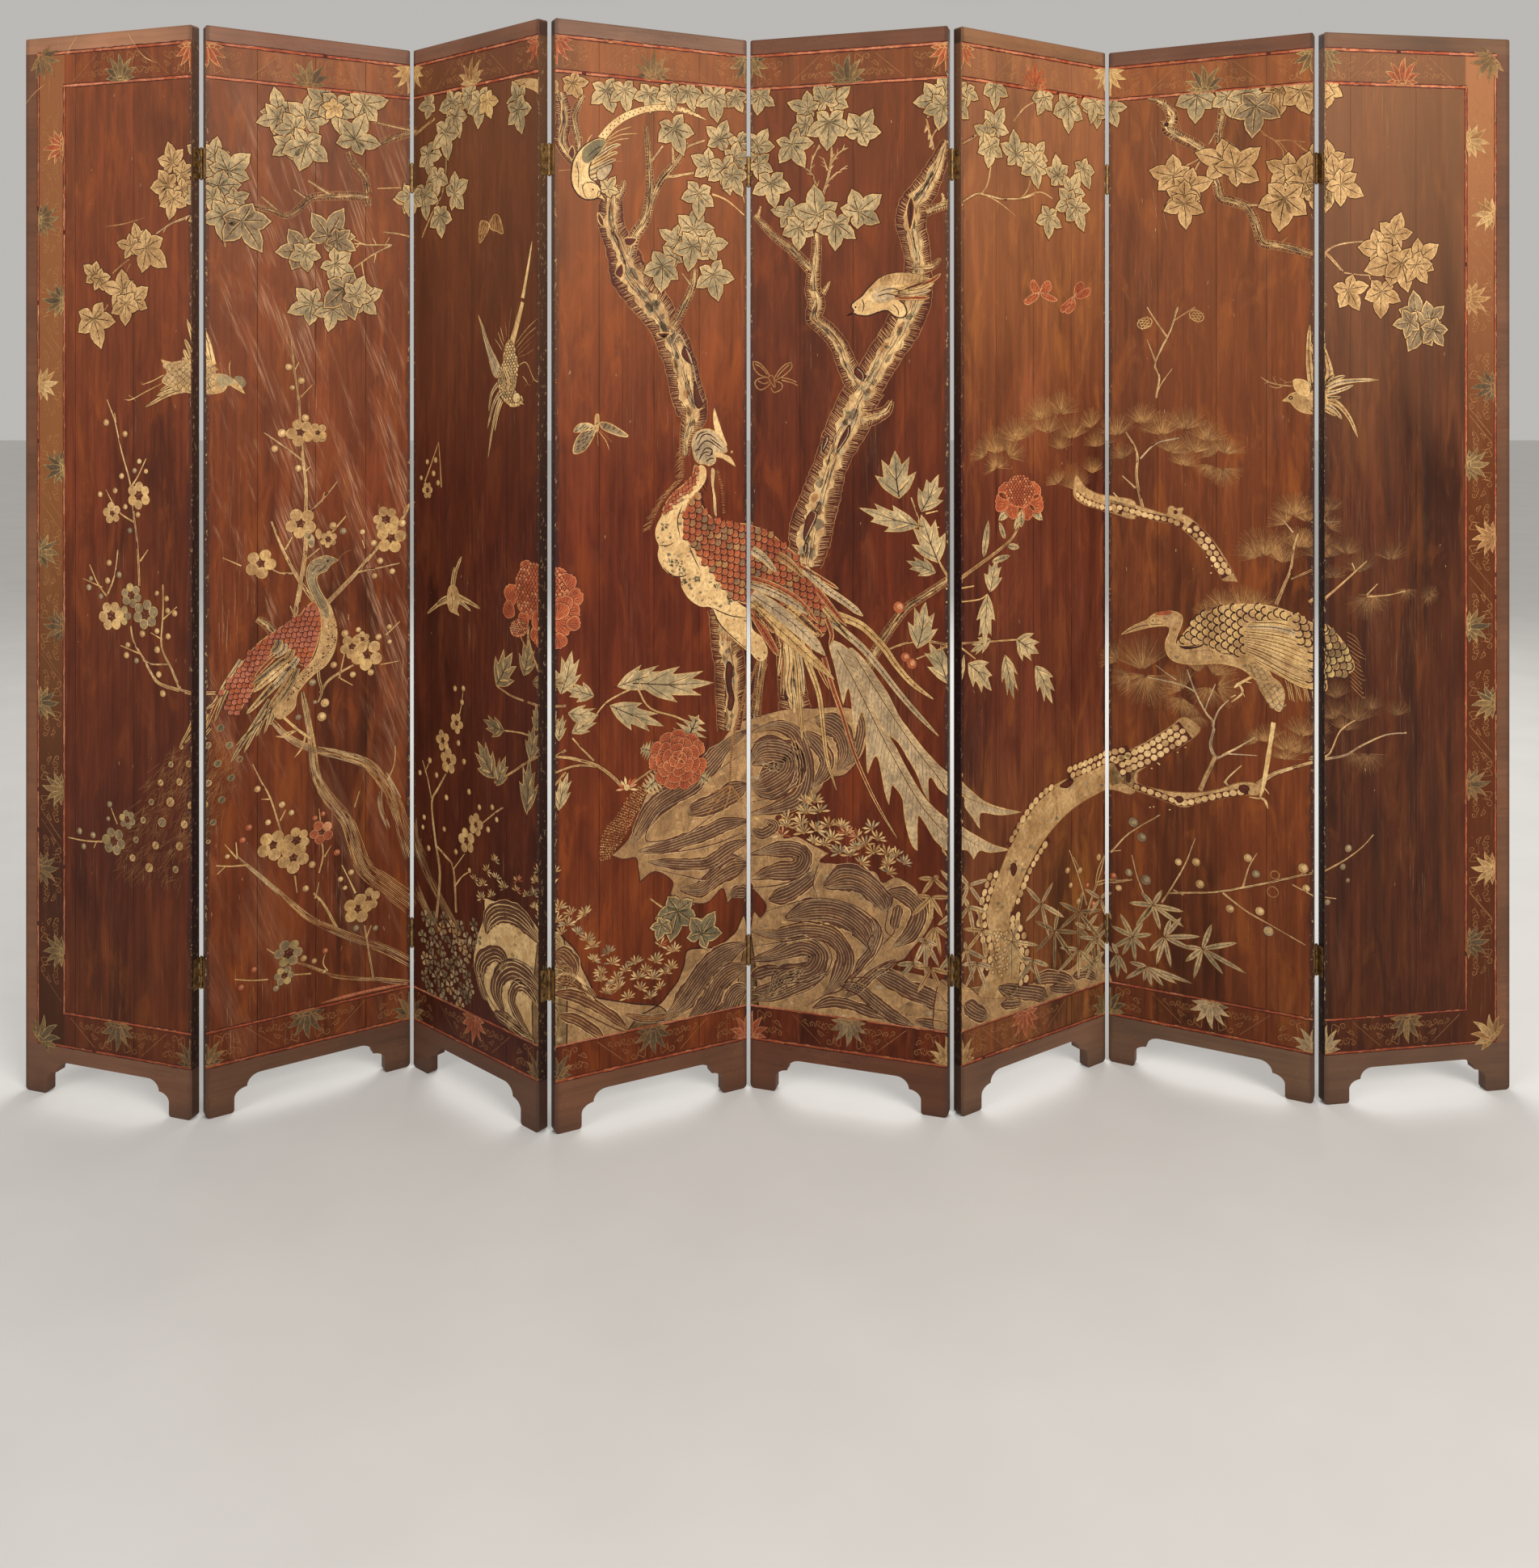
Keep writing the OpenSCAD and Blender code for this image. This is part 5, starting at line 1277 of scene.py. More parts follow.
bird4 = shape(g3((741, 700), (747, 655), (764, 620), (788, 592), (820, 570), (850, 560), (878, 568), (870, 600), (838, 632), (815, 672), (815, 716), (838, 736), (858, 762), (858, 788), (840, 803), (805, 807), (775, 794), (752, 765), (742, 735)), "cream", 0.54, "dark", 2.0)
shape(g3((786, 606), (812, 580), (850, 562), (880, 572), (868, 600), (845, 630), (818, 655), (796, 660), (782, 640)), "green", 0.56, "gold", 1.4)
shape(g3((844, 692), (870, 674), (902, 662), (906, 680), (886, 714), (864, 730), (846, 722)), "silver", 0.57, "dark", 1.4)
shape(g3((852, 772), (866, 788), (884, 816, 1), (862, 804), (846, 796)), "gold", 0.57, "dark", 1.2)
for pts in (((798, 738), (786, 756), (794, 788), (806, 804)), ((800, 740), (822, 736), (846, 748)), ((800, 640), (838, 604), (868, 590)), ((808, 648), (848, 618)), ((760, 650), (770, 700), (768, 760)), ((778, 630), (776, 680))):
    line(g3(*pts), 1.4, "dark", 0.60, wobble=0.4)
dot(m(*g3((828, 766))[0]), 3.4, "gold_bright", 0.60)
dot(m(*g3((828, 766))[0]), 2.0, "dark", 0.62)
for i in range(26):
    q = g3((752 + 34 * rnd.random(), 650 + 110 * rnd.random()))[0]
    if inside(m(*q), bird4):
        dot(m(*q), 0.9, "dull", 0.56, 6)
for pts in (((862, 738), (884, 722), (888, 745)), ((872, 733), (914, 718)), ((905, 650), (945, 652)), ((690, 690), (745, 685))):
    line(g3(*pts), 1.6, "gold", 0.46)
leaves(g3, 3.267, [(890, 758, 44, 60)], 0.48)
# loose hair feathers behind its neck
for i in range(44):
    t = rnd.random()
    x, y = 800 + 70 * t + jit(6), 690 - 105 * t + jit(8)
    a, ll = math.radians(22 + jit(22)), 16 + 10 * rnd.random()
    p = m(*g3((x, y))[0])
    stroke([p, (p[0] + ll * 0.5 * math.cos(a), p[1] + ll * 0.5 * math.sin(a) + 1.2), (p[0] + ll * math.cos(a), p[1] + ll * math.sin(a))], 0.8, rnd.choice(("ochre", "gold", "tan")), 0.455)

# the bird on the right trunk of panel 5
shape(g4((465, 1225, 1), (490, 1208), (480, 1190), (490, 1172), (520, 1150), (545, 1120), (590, 1080), (640, 1062), (700, 1060), (760, 1072), (790, 1085), (770, 1110), (740, 1130), (720, 1140), (690, 1150), (668, 1165),
          (685, 1180), (696, 1212), (680, 1232), (650, 1228), (620, 1205), (590, 1210), (545, 1225), (505, 1222), (490, 1216)), "cream", 0.58, "dark", 2.0)
shape(g4((548, 1128), (590, 1082), (640, 1063), (700, 1061), (760, 1073), (790, 1086), (760, 1106), (700, 1104), (640, 1108), (590, 1128)), "tan", 0.59, "gold", 1.2)
shape(g4((560, 1150), (575, 1120), (620, 1110), (680, 1125), (700, 1140), (660, 1155), (610, 1175), (575, 1172)), "silver", 0.60, "gold", 1.2)
for pts, bd in ((((690, 1120), (740, 1105), (790, 1090), (828, 1062)), "coral"), (((700, 1130), (750, 1120), (802, 1098)), "cream"), (((660, 1140), (710, 1142), (748, 1135), (790, 1125)), "silver"),
                (((650, 1150), (700, 1155), (786, 1155)), "coral"), (((640, 1135), (700, 1120), (770, 1090)), "gold")):
    feather(g4(*pts), 11, 6, 0.62, bd, "gold", "dark", 0)
for pts in (((520, 1160), (530, 1185), (522, 1215)), ((590, 1130), (640, 1120), (690, 1135)), ((580, 1150), (620, 1140), (665, 1150)), ((600, 1165), (630, 1158)), ((640, 1180), (660, 1200), (665, 1225)), ((620, 1195), (650, 1210))):
    line(g4(*pts), 1.5, "dark", 0.65)
for i in range(12):
    line(g4((600 + 15 * i, 1066 + abs(i - 5)), (592 + 15 * i, 1092)), 1.5, "dark", 0.65)
dot(m(*g4((497, 1192))[0]), 4.0, "gold_bright", 0.66)
dot(m(*g4((497, 1192))[0]), 2.2, "dark", 0.68)
for i in range(30):
    q = g4((500 + rnd.random() * 60, 1165 + rnd.random() * 45))[0]
    dot(m(*q), 0.8, "dull", 0.645, 6)

# butterflies
for pts in (((405, 900), (375, 895), (368, 945), (372, 982), (395, 950), (408, 925)), ((412, 905), (430, 868), (452, 880), (466, 942), (440, 935), (416, 925))):
    w_ = shape(g3(*pts), "ochre", 0.3, "gold", 1.3)
    hatch(w_, 70, 4.5, 7, 1.0, "dark", 0.36)
stroke([m(*g3((405, 930))[0]), m(*g3((413, 890))[0])], 3, "gold", 0.36)
for pts in (((425, 930), (430, 950)), ((398, 880), (392, 872))):
    line(g3(*pts), 1.0, "gold", 0.3)
for pts, bd in ((((750, 590), (758, 540), (790, 502), (836, 495), (822, 540), (790, 582)), "gold"), (((752, 505), (770, 474), (812, 470), (838, 490), (800, 500)), "tan"),
                (((858, 466), (900, 472), (966, 515), (958, 524), (915, 514), (868, 492)), "gold"), (((838, 440), (852, 438), (850, 492), (838, 500)), "cream")):
    w_ = shape(g7(*pts), {"gold": "dull", "tan": "olive"}.get(bd, "tan"), 0.3, "gold", 1.5)
    hatch(w_, 30, 6, 8, 1.3, "dark", 0.36)
for pts in (((850, 500), (880, 540), (895, 580)), ((845, 500), (850, 560)), ((855, 495), (905, 545))):
    line(g7(*pts), 1.0, "gold", 0.3)
for pts in (((155, 203), (178, 208), (205, 235), (216, 262), (180, 252), (160, 228), (155, 203)), ((298, 206), (300, 225), (275, 252), (236, 272), (250, 240), (275, 215), (298, 206)),
            ((205, 262), (175, 268), (163, 285), (180, 308), (205, 300), (220, 285)), ((238, 275), (262, 285), (262, 305), (235, 318), (222, 300)), ((212, 262), (222, 280), (238, 300), (232, 262), (222, 255), (212, 262)),
            ((165, 212), (190, 228), (208, 250)), ((290, 215), (265, 238), (245, 262)), ((175, 275), (195, 285), (215, 280)), ((262, 272), (300, 282), (322, 292)), ((255, 262), (290, 268), (318, 280))):
    line(g10(*pts), 1.7, "ochre", 0.3, taper="none")
for c0, s in (((1212, 1130), 1), ((1345, 1150), -1)):
    for pts in ((((0, 0), (-18, -38), (-32, -42), (-38, -20), (-24, 8)), ((0, 0), (18, -34), (36, -38), (44, -12), (22, 12)), ((-4, 6), (-30, 12), (-62, 38), (-46, 52), (-12, 30)), ((6, 8), (30, 10), (66, 32), (48, 40), (12, 24))) if s > 0 else
                (((0, 0), (4, -40), (24, -56), (38, -46), (30, -18)), ((6, 0), (36, -26), (60, -32), (58, -6), (26, 10)), ((-4, 2), (-30, 20), (-54, 44), (-44, 62), (-14, 36)), ((-2, 8), (-20, 40), (-36, 58), (-20, 66), (4, 40)))):
        w_ = shape(g4(*[(c0[0] + a, c0[1] + b) for a, b in pts]), "coral", 0.3, "coral_light", 1.0)
        hatch(w_, 50, 4, 4, 0.9, "ground", 0.35)
    line(g4((c0[0] - 8, c0[1] + 14), (c0[0] + 8, c0[1] - 14)), 2.4, "cream", 0.37)
    for a, b in ((10, 46), (34, 62), (-6, 44)):
        line(g4(c0, (c0[0] + a, c0[1] + b)), 0.9, "ochre", 0.3)

# -- panels 1 and 2: plum trees, the smaller phoenix, a bird across the joint


def blossoms(g, k, rows, lift, **kw):
    for r in rows:
        (p,) = g((r[0], r[1]))
        col = r[3] if len(r) > 3 else "tan"
        rim = {"coral": "coral_light", "silver": "gold", "dull": "olive_gold"}.get(col, "gold")
        plum(m(*p), r[2] / k * mm(p[0]), lift + rnd.random() * 0.02, petal=col, rim=rim, heart="ochre", rot=rnd.random() * 72, **kw)


def buds(g, k, rows, lift):
    for r in rows:
        (p,) = g((r[0], r[1]))
        bud(m(*p), r[2] / k * mm(p[0]), lift, r[3] if len(r) > 3 else "tan")


def streaks(pts, w, lift, n=9, cols=("gold", "silver", "ochre", "tan"), lw=1.2, seg=(5, 14)):
    """An old branch drawn only with long broken lines along it."""
    c = smooth([m(p[0], p[1]) for p in pts], 6)
    nn = len(c)
    nr = normals(c)
    for q in range(n):
        o = ((q + 0.5) / n - 0.5)
        i = rnd.randint(0, 3)
        while i < nn - 3:
            j = min(nn - 1, i + rnd.randint(*seg))
            pp = []
            for a in range(i, j + 1):
                ww = w[0] + (w[1] - w[0]) * a / nn
                oo = o * ww + jit(0.25)
                pp.append((c[a][0] + nr[a][0] * oo, c[a][1] + nr[a][1] * oo))
            stroke(pp, lw * (0.7 + 0.6 * rnd.random()), rnd.choice(cols), lift, taper="both")
            i = j + rnd.randint(0, 2)


def hairs(px, py, r, ang, n, lift, col="ochre", spread=35):
    c = m(px, py)
    rr = r * mm(px)
    for _ in range(n):
        a = math.radians(ang + jit(spread))
        r0 = rr * (0.1 + 0.5 * rnd.random())
        r1 = r0 + rr * (0.4 + 0.6 * rnd.random())
        o = jit(rr * 0.45)
        p0 = (c[0] + r0 * math.cos(a) - o * math.sin(a), c[1] + r0 * math.sin(a) + o * math.cos(a))
        p1 = (c[0] + r1 * math.cos(a) - 0.6 * o * math.sin(a), c[1] + r1 * math.sin(a) + 0.6 * o * math.cos(a))
        stroke([p0, p1], 0.75, col, lift)


S = 0.24
for pts, w0, w1 in ((((400, 345), (430, 430), (452, 530), (482, 640), (492, 700), (500, 780), (514, 900), (520, 1040)), 2, 7), (((428, 395), (432, 430)), 1, 3), (((545, 565), (515, 630), (490, 670)), 1.5, 4),
                    (((395, 680), (440, 760), (500, 802)), 1, 4), (((552, 905), (523, 948)), 1.5, 4), (((440, 905), (428, 1000), (402, 1070)), 2, 6), (((335, 960), (365, 1030), (398, 1078)), 2, 5),
                    (((310, 1012), (382, 1045)), 1, 3), (((608, 1035), (608, 1150), (603, 1265), (640, 1350), (672, 1425)), 2, 8), (((660, 1118), (608, 1165)), 1, 3), (((562, 1214), (606, 1240)), 1, 3),
                    (((632, 1332), (560, 1330), (525, 1298)), 5, 2), (((488, 1190), (500, 1250), (535, 1310), (562, 1362), (592, 1402), (650, 1424), (745, 1448)), 4, 10), (((450, 1262), (520, 1292)), 1, 3)):
    twig(g6(*pts), w0, w1, S, "gold" if w1 < 5 else "bark", thorns=0)
blossoms(g6, 3.015, [(418, 768, 38), (518, 703, 52), (490, 1075, 46, "dull"), (460, 1150, 34, "dull"), (543, 1146, 56, "dull"), (416, 1152, 56)], S + 0.1)
buds(g6, 3.015, [(397, 430, 13), (467, 473, 12), (520, 575, 10, "olive"), (503, 610, 10, "dull"), (545, 612, 9, "gold"), (454, 630, 11), (375, 698, 11), (430, 684, 11), (468, 744, 10), (515, 774, 11), (485, 833, 11, "dull"),
                 (408, 953, 12), (445, 998, 12, "dull"), (402, 1020, 12), (332, 1045, 12, "olive"), (340, 1012, 9, "olive"), (377, 1078, 11, "dull"), (586, 1067, 10), (622, 1087, 11), (626, 1132, 11), (652, 1142, 12),
                 (532, 1218, 13), (586, 1208, 11), (628, 1228, 12), (478, 1260, 11), (587, 1278, 13), (473, 1298, 12), (510, 1318, 11, "dull"), (593, 1370, 12), (608, 1441, 13)], S + 0.08)
blossoms(g8, 3.015, [(475, 765, 36, "dull"), (425, 846, 52, "dull")], S + 0.1)
buds(g8, 3.015, [(410, 708, 12, "dull"), (404, 762, 9, "dull"), (298, 808, 12, "dull"), (348, 823, 12, "dull"), (313, 865, 11, "dull")], S + 0.08)
twig(g8((255, 832), (320, 845), (382, 848)), 1.5, 4, S)
twig(g8((360, 850), (350, 872)), 2, 1, S)
twig(g8((438, 782), (425, 750), (415, 722)), 3, 1, S)

for pts, w0, w1 in ((((1088, 125), (1100, 250), (1115, 350), (1120, 450), (1130, 560), (1142, 680), (1140, 780), (1140, 890), (1130, 980), (1110, 1100), (1095, 1175)), 2, 13), (((1115, 205), (1100, 235)), 1, 3),
                    (((1165, 290), (1122, 335)), 1, 3), (((985, 468), (1060, 520), (1126, 570)), 1.5, 6), (((1158, 595), (1140, 612)), 1, 3), (((1258, 650), (1215, 705), (1150, 770)), 2, 6), (((1210, 690), (1200, 728)), 2, 1),
                    (((1012, 800), (1040, 870), (1072, 940), (1120, 1025), (1170, 1095)), 3, 11), (((1090, 858), (1064, 905)), 2, 5), (((978, 953), (1040, 990), (1092, 992)), 3, 5), (((830, 935), (900, 965)), 1, 2),
                    (((1192, 900), (1144, 938)), 2, 5), (((1290, 780), (1240, 838)), 2, 4), (((1532, 728), (1500, 790), (1420, 882), (1330, 990), (1222, 1102)), 4, 12), (((1490, 955), (1400, 975), (1320, 992)), 1.5, 6),
                    (((1360, 900), (1352, 870)), 1, 2), (((1082, 1115), (1098, 1150)), 2, 5), (((1492, 1172), (1440, 1222)), 1.5, 3), (((1487, 1320), (1420, 1333)), 1, 2), (((1285, 1290), (1272, 1350), (1265, 1385)), 3, 6),
                    (((1318, 1335), (1230, 1388), (1195, 1440)), 4, 8), (((1270, 1385), (1315, 1410)), 3, 1), (((1540, 725), (1515, 745), (1505, 770)), 1, 3)):
    twig(g6(*pts), w0, w1, S, "gold" if w1 < 6 else "bark", thorns=0)
blossoms(g6, 3.015, [(1185, 468, 34), (1120, 468, 48), (1122, 806, 54), (1225, 866, 32), (1440, 792, 48), (1458, 862, 54), (972, 957, 53)], S + 0.1)
for c0, r, col in (((1160, 868), 22, "silver"), ((1150, 850), 18, "dull"), ((1188, 846), 20, "tan"), ((1160, 882), 17, "silver")):
    (a,) = g6(c0)
    dot(m(*a), r / 3.015 * mm(a[0]), "gold", S + 0.12, 12, 0.6, 30)
    dot(m(*a), r / 3.015 * mm(a[0]) - 1, col, S + 0.14, 12, 0.6, 30)
buds(g6, 3.015, [(1077, 223, 13), (1124, 274, 13), (1090, 300, 10), (1139, 413, 14), (1052, 470, 16), (1025, 528, 13), (1112, 601, 13), (1200, 485, 19), (1242, 815, 14), (1280, 835, 13, "dull"), (1352, 838, 10),
                 (1500, 805, 14), (1395, 880, 12), (1418, 946, 12), (1397, 1002, 11), (1463, 985, 11), (1287, 1217, 14), (1337, 1203, 10), (1452, 1192, 10), (1412, 1230, 12), (1453, 1248, 9), (1245, 1334, 12),
                 (1316, 1370, 11), (1383, 1362, 12), (1166, 1400, 13, "dull")], S + 0.08)
blossoms(g6, 3.015, [(1312, 1266, 42), (1350, 1240, 30), (1370, 1296, 56)], S + 0.1)
buds(g8, 3.015, [(1212, 330, 16), (1200, 382, 17), (1113, 384, 11, "dull"), (1175, 328, 8, "dull")], S + 0.08)

# old branches
streaks(g8((1010, 395), (1080, 462), (1165, 502), (1260, 522), (1340, 545), (1390, 575), (1440, 640), (1480, 720), (1505, 800), (1535, 905)), (10, 34), S, 10)
streaks(g8((1130, 300), (1150, 400), (1165, 500), (1178, 600), (1225, 685), (1292, 765), (1325, 855), (1360, 945), (1440, 1010), (1540, 1085)), (8, 44), S, 12)
streaks(g8((880, 900), (950, 960), (1020, 1020), (1090, 1080), (1150, 1130), (1250, 1180), (1360, 1222), (1450, 1255), (1535, 1300)), (4, 22), S, 6)
streaks(g8((1088, 1290), (1180, 1322), (1250, 1350), (1400, 1362), (1525, 1374)), (4, 12), S, 5)
streaks(g8((1440, 590), (1465, 640), (1490, 690)), (6, 12), S, 4)
streaks(g8((1420, 640), (1420, 720), (1450, 800)), (12, 8), S, 5, ("silver", "ochre"))
for pts, w0, w1 in ((((1475, 490), (1470, 560), (1445, 620)), 1.5, 4), (((1340, 660), (1322, 720)), 2, 5), (((1360, 1160), (1376, 1260), (1392, 1358)), 4, 6), (((1385, 1160), (1366, 1205)), 2, 4), (((1170, 1040), (1210, 1085), (1255, 1170)), 4, 8),
                    (((942, 560), (975, 625), (1010, 690), (1048, 812)), 2, 5), (((975, 690), (1005, 690)), 1, 3), (((1065, 730), (1045, 770)), 1, 3), (((880, 850), (885, 905)), 1, 4), (((838, 858), (885, 912)), 1, 4),
                    (((805, 938), (860, 940), (925, 935)), 2, 4), (((810, 970), (840, 942)), 1, 2), (((1190, 725), (1196, 780)), 1, 2), (((1200, 845), (1205, 900), (1190, 965)), 3, 3), (((1235, 862), (1210, 905)), 1, 3),
                    (((1275, 935), (1300, 985), (1326, 1040)), 1.5, 4), (((1100, 975), (1108, 1040)), 4, 2), (((875, 1362), (940, 1366), (1000, 1362)), 1.5, 3), (((995, 1248), (1040, 1275), (1090, 1296)), 2, 4),
                    (((1088, 1345), (1160, 1340)), 2, 3), (((1215, 1262), (1205, 1300), (1222, 1330)), 1, 3), (((1300, 20), (1300, 0)), 1, 1), (((1190, 1000), (1175, 1060)), 1, 3)):
    twig(g8(*pts), w0, w1, S + 0.02, "gold" if w1 < 6 else "bark", thorns=0)
blossoms(g8, 3.015, [(1200, 812, 42, "coral"), (1018, 862, 54), (1106, 843, 48), (1094, 908, 54), (1376, 1062, 40), (1336, 1098, 52), (1060, 1348, 36, "dull"), (1076, 1264, 52, "dull")], S + 0.1)
buds(g8, 3.015, [(960, 652, 12), (1052, 710, 12), (1087, 740, 11), (1000, 776, 11), (928, 795, 13, "coral"), (905, 842, 12, "coral"), (848, 903, 9), (1175, 760, 10, "coral"), (1205, 744, 10, "coral"), (1257, 888, 12, "coral"),
                 (1165, 933, 13), (1140, 1023, 12), (1310, 962, 11), (1270, 988, 10), (1287, 1020, 8), (1328, 1170, 12, "dull"), (1400, 1170, 11, "dull"), (1133, 1283, 12), (1172, 1293, 10), (1213, 1255, 11, "coral"), (1210, 1332, 7),
                 (948, 1325, 11, "coral"), (900, 1392, 12, "coral"), (1030, 1395, 12, "dull")], S + 0.08)
line(g8((1200, 1450), (1350, 1410), (1520, 1376)), 4.5, "red_line", S, wobble=1.2)
bough(g8((958, 18), (985, 32), (1010, 55), (1026, 76)), [6, 12, 14, 12], S + 0.05, "bark", "gold", "dark", 1.4, fringe=False)

# the smaller phoenix
Q = 0.46
eyes = [(822, 424, 14, "green"), (855, 488, 13, "green"), (895, 540, 11, "dull"), (812, 557, 14, "green"), (862, 610, 13, "green"), (776, 488, 12, "dull"), (777, 630, 12, "dull"), (827, 692, 13, "green"), (795, 776, 12, "green"),
        (777, 848, 8, "dull"), (677, 495, 9, "tan"), (638, 560, 11, "dull"), (705, 558, 13, "tan"), (600, 628, 12, "tan"), (670, 625, 14, "tan"), (565, 700, 12, "dull"), (636, 700, 18, "tan"), (712, 712, 14, "tan"),
        (535, 768, 12, "dull"), (605, 776, 18, "dull"), (688, 784, 15, "tan"), (508, 841, 12, "dull"), (581, 862, 15, "tan"), (670, 865, 16, "tan"), (495, 908, 13, "tan"), (557, 945, 17, "tan"), (655, 952, 13, "dull")]
for x, y, r, col in eyes:
    (p,) = g8((x, y))
    hairs(p[0], p[1], 26, 235, 22, Q - 0.2)
    c = m(*p)
    rr = r / 3.015 * mm(p[0])
    dot(c, rr, "gold" if col != "green" else "olive_gold", Q, 12)
    dot(c, rr - 1.0, col, Q + 0.03, 12)
    stroke([(c[0] - rr * 0.5, c[1] - rr * 0.6), (c[0] + rr * 0.5, c[1] + rr * 0.6)], 1.0, "dark", Q + 0.06, taper="none")
for pts, w0, w1, bd in (
    (((852, 255), (812, 320), (790, 370), (766, 430)), 10, 3, "coral"), (((900, 170), (840, 260), (800, 330), (768, 352)), 9, 4, "silver"), (((880, 230), (838, 300), (800, 400)), 9, 3, "dull"), (((728, 378), (706, 430), (671, 492)), 9, 2, "gold"),
    (((730, 430), (712, 455), (690, 480)), 5, 2, "ochre"), (((1010, 320), (950, 410), (905, 480), (860, 552)), 12, 4, "dull"), (((1020, 330), (960, 420), (910, 516)), 10, 3, "silver"), (((1000, 340), (980, 400), (957, 455)), 7, 2, "dull"),
    (((1015, 345), (1000, 400), (985, 445)), 7, 2, "silver"), (((1030, 350), (1012, 400), (1005, 410)), 6, 2, "dull"), (((1060, 300), (1010, 360), (945, 425), (880, 490)), 12, 4, "silver"),
    (((1185, 195), (1190, 240), (1200, 290), (1185, 330)), 5, 2, "dull"), (((1128, 290), (1140, 350), (1150, 410)), 5, 2, "dull"),
):
    feather(g8(*pts), w0, w1, Q, bd, "gold", "dark")
wing2 = shape(g6((1175, 1100), (1196, 1150), (1196, 1175)) + g8((1194, 60), (1180, 120), (1145, 190), (1105, 175), (1060, 115), (1010, 150), (968, 210), (945, 280), (918, 320), (888, 366), (852, 362), (846, 330), (860, 270),
              (822, 300), (850, 250), (885, 205), (920, 160), (955, 115), (1000, 80), (1060, 40), (1120, 0)) + g6((1140, 1120),), "coral", Q + 0.08, "gold", 1.2)
scale_arcs(wing2, 13, -145, Q + 0.12, "coral_light", None, "maroon", fills=("pink", "pink", "coral", "pink", "rose"))
neck2 = shape(g6((1262, 944, 1), (1238, 932), (1215, 927), (1190, 934), (1162, 950), (1146, 975), (1143, 1010), (1152, 1045), (1176, 1095), (1196, 1145), (1198, 1200)) + g8((1190, 110), (1170, 165), (1135, 205), (1100, 240), (1060, 285),
              (1032, 340), (1024, 375), (1045, 390), (1075, 372), (1100, 345), (1108, 300), (1135, 260), (1175, 220), (1215, 190), (1243, 145), (1256, 90), (1254, 40), (1244, 5)) + g6((1232, 1115), (1202, 1070), (1184, 1030),
              (1182, 1005), (1195, 992), (1215, 985), (1228, 968), (1242, 955)), "tan", Q + 0.12, "gold", 1.3)
shape(g6((1262, 944, 1), (1238, 932), (1215, 927), (1190, 934), (1162, 950), (1146, 975), (1143, 1010), (1152, 1045), (1176, 1095), (1196, 1128), (1222, 1112), (1202, 1070), (1184, 1030), (1182, 1005), (1195, 992), (1215, 985), (1228, 968), (1242, 955)), "green", Q + 0.132, "gold", 1.0)
shape(g6((1250, 944, 1), (1215, 932), (1190, 938), (1165, 955), (1152, 980), (1150, 1010), (1160, 1045), (1184, 1095), (1206, 1145), (1215, 1160), (1228, 1150), (1222, 1112), (1192, 1068), (1172, 1025), (1176, 1000), (1195, 985), (1215, 978),
         (1225, 962)), "dull", Q + 0.14, "olive", 0.8)
blotches(neck2, 46, ("tan", "olive", "dull", "cream"), Q + 0.15, 1.2, 3.2)
for i in range(90):
    t = rnd.random()
    seg = g8((1240, 40), (1235, 120), (1190, 190), (1120, 240), (1060, 330))
    j = min(3, int(t * 4))
    f = t * 4 - j
    q = (seg[j][0] + (seg[j + 1][0] - seg[j][0]) * f + jit(5), seg[j][1] + (seg[j + 1][1] - seg[j][1]) * f + jit(5))
    if inside(m(*q), neck2):
        dot(m(*q), 0.9 + rnd.random(), "dark", Q + 0.17, 5)
for pts, w0, w1, bd in (
    (((1040, 95), (1035, 120), (1010, 145)), 16, 12, "dull"), (((1060, 110), (1055, 135), (1020, 160)), 14, 12, "silver"), (((1090, 130), (1075, 160), (1045, 180)), 16, 12, "tan"), (((1110, 160), (1090, 190), (1060, 210)), 14, 12, "silver"),
    (((1070, 180), (1020, 225), (945, 290)), 17, 12, "cream"), (((1085, 195), (1040, 250), (960, 330)), 16, 10, "silver"), (((1095, 210), (1060, 270), (1000, 350)), 15, 10, "tan"), (((1060, 165), (1000, 215), (940, 262)), 12, 8, "dull"),
    (((1030, 150), (985, 195), (950, 235)), 9, 7, "coral"), (((1110, 200), (1085, 260), (1040, 330)), 12, 8, "dull"), (((1020, 260), (960, 330), (920, 370)), 14, 6, "tan"),
):
    feather(g8(*pts), w0, w1, Q + 0.18, bd, "gold", "dark", 6, profile=lambda t: 0.55 + 0.9 * math.sin(math.pi * min(1, 0.15 + t * 0.8)) * 0.55)
for pts in (((1168, 985), (1180, 965), (1200, 962)), ((1180, 990), (1205, 975), (1215, 960)), ((1200, 985), (1190, 968))):
    line(g6(*pts), 1.3, "dark", Q + 0.18)
dot(m(*g6((1222, 947))[0]), 2.6, "dark", Q + 0.18)
line(g6((1262, 944), (1280, 920), (1310, 905)), 1.0, "ochre", Q)
for pts, w in ((((1060, 386), (1110, 430), (1162, 466)), 4.2), (((1108, 430), (1065, 455), (1028, 455)), 2.8), (((1140, 452), (1125, 500), (1098, 534)), 2.8), (((1110, 432), (1070, 442), (1055, 460)), 2.0)):
    line(g8(*pts), w, "gold", Q + 0.05, taper="end")

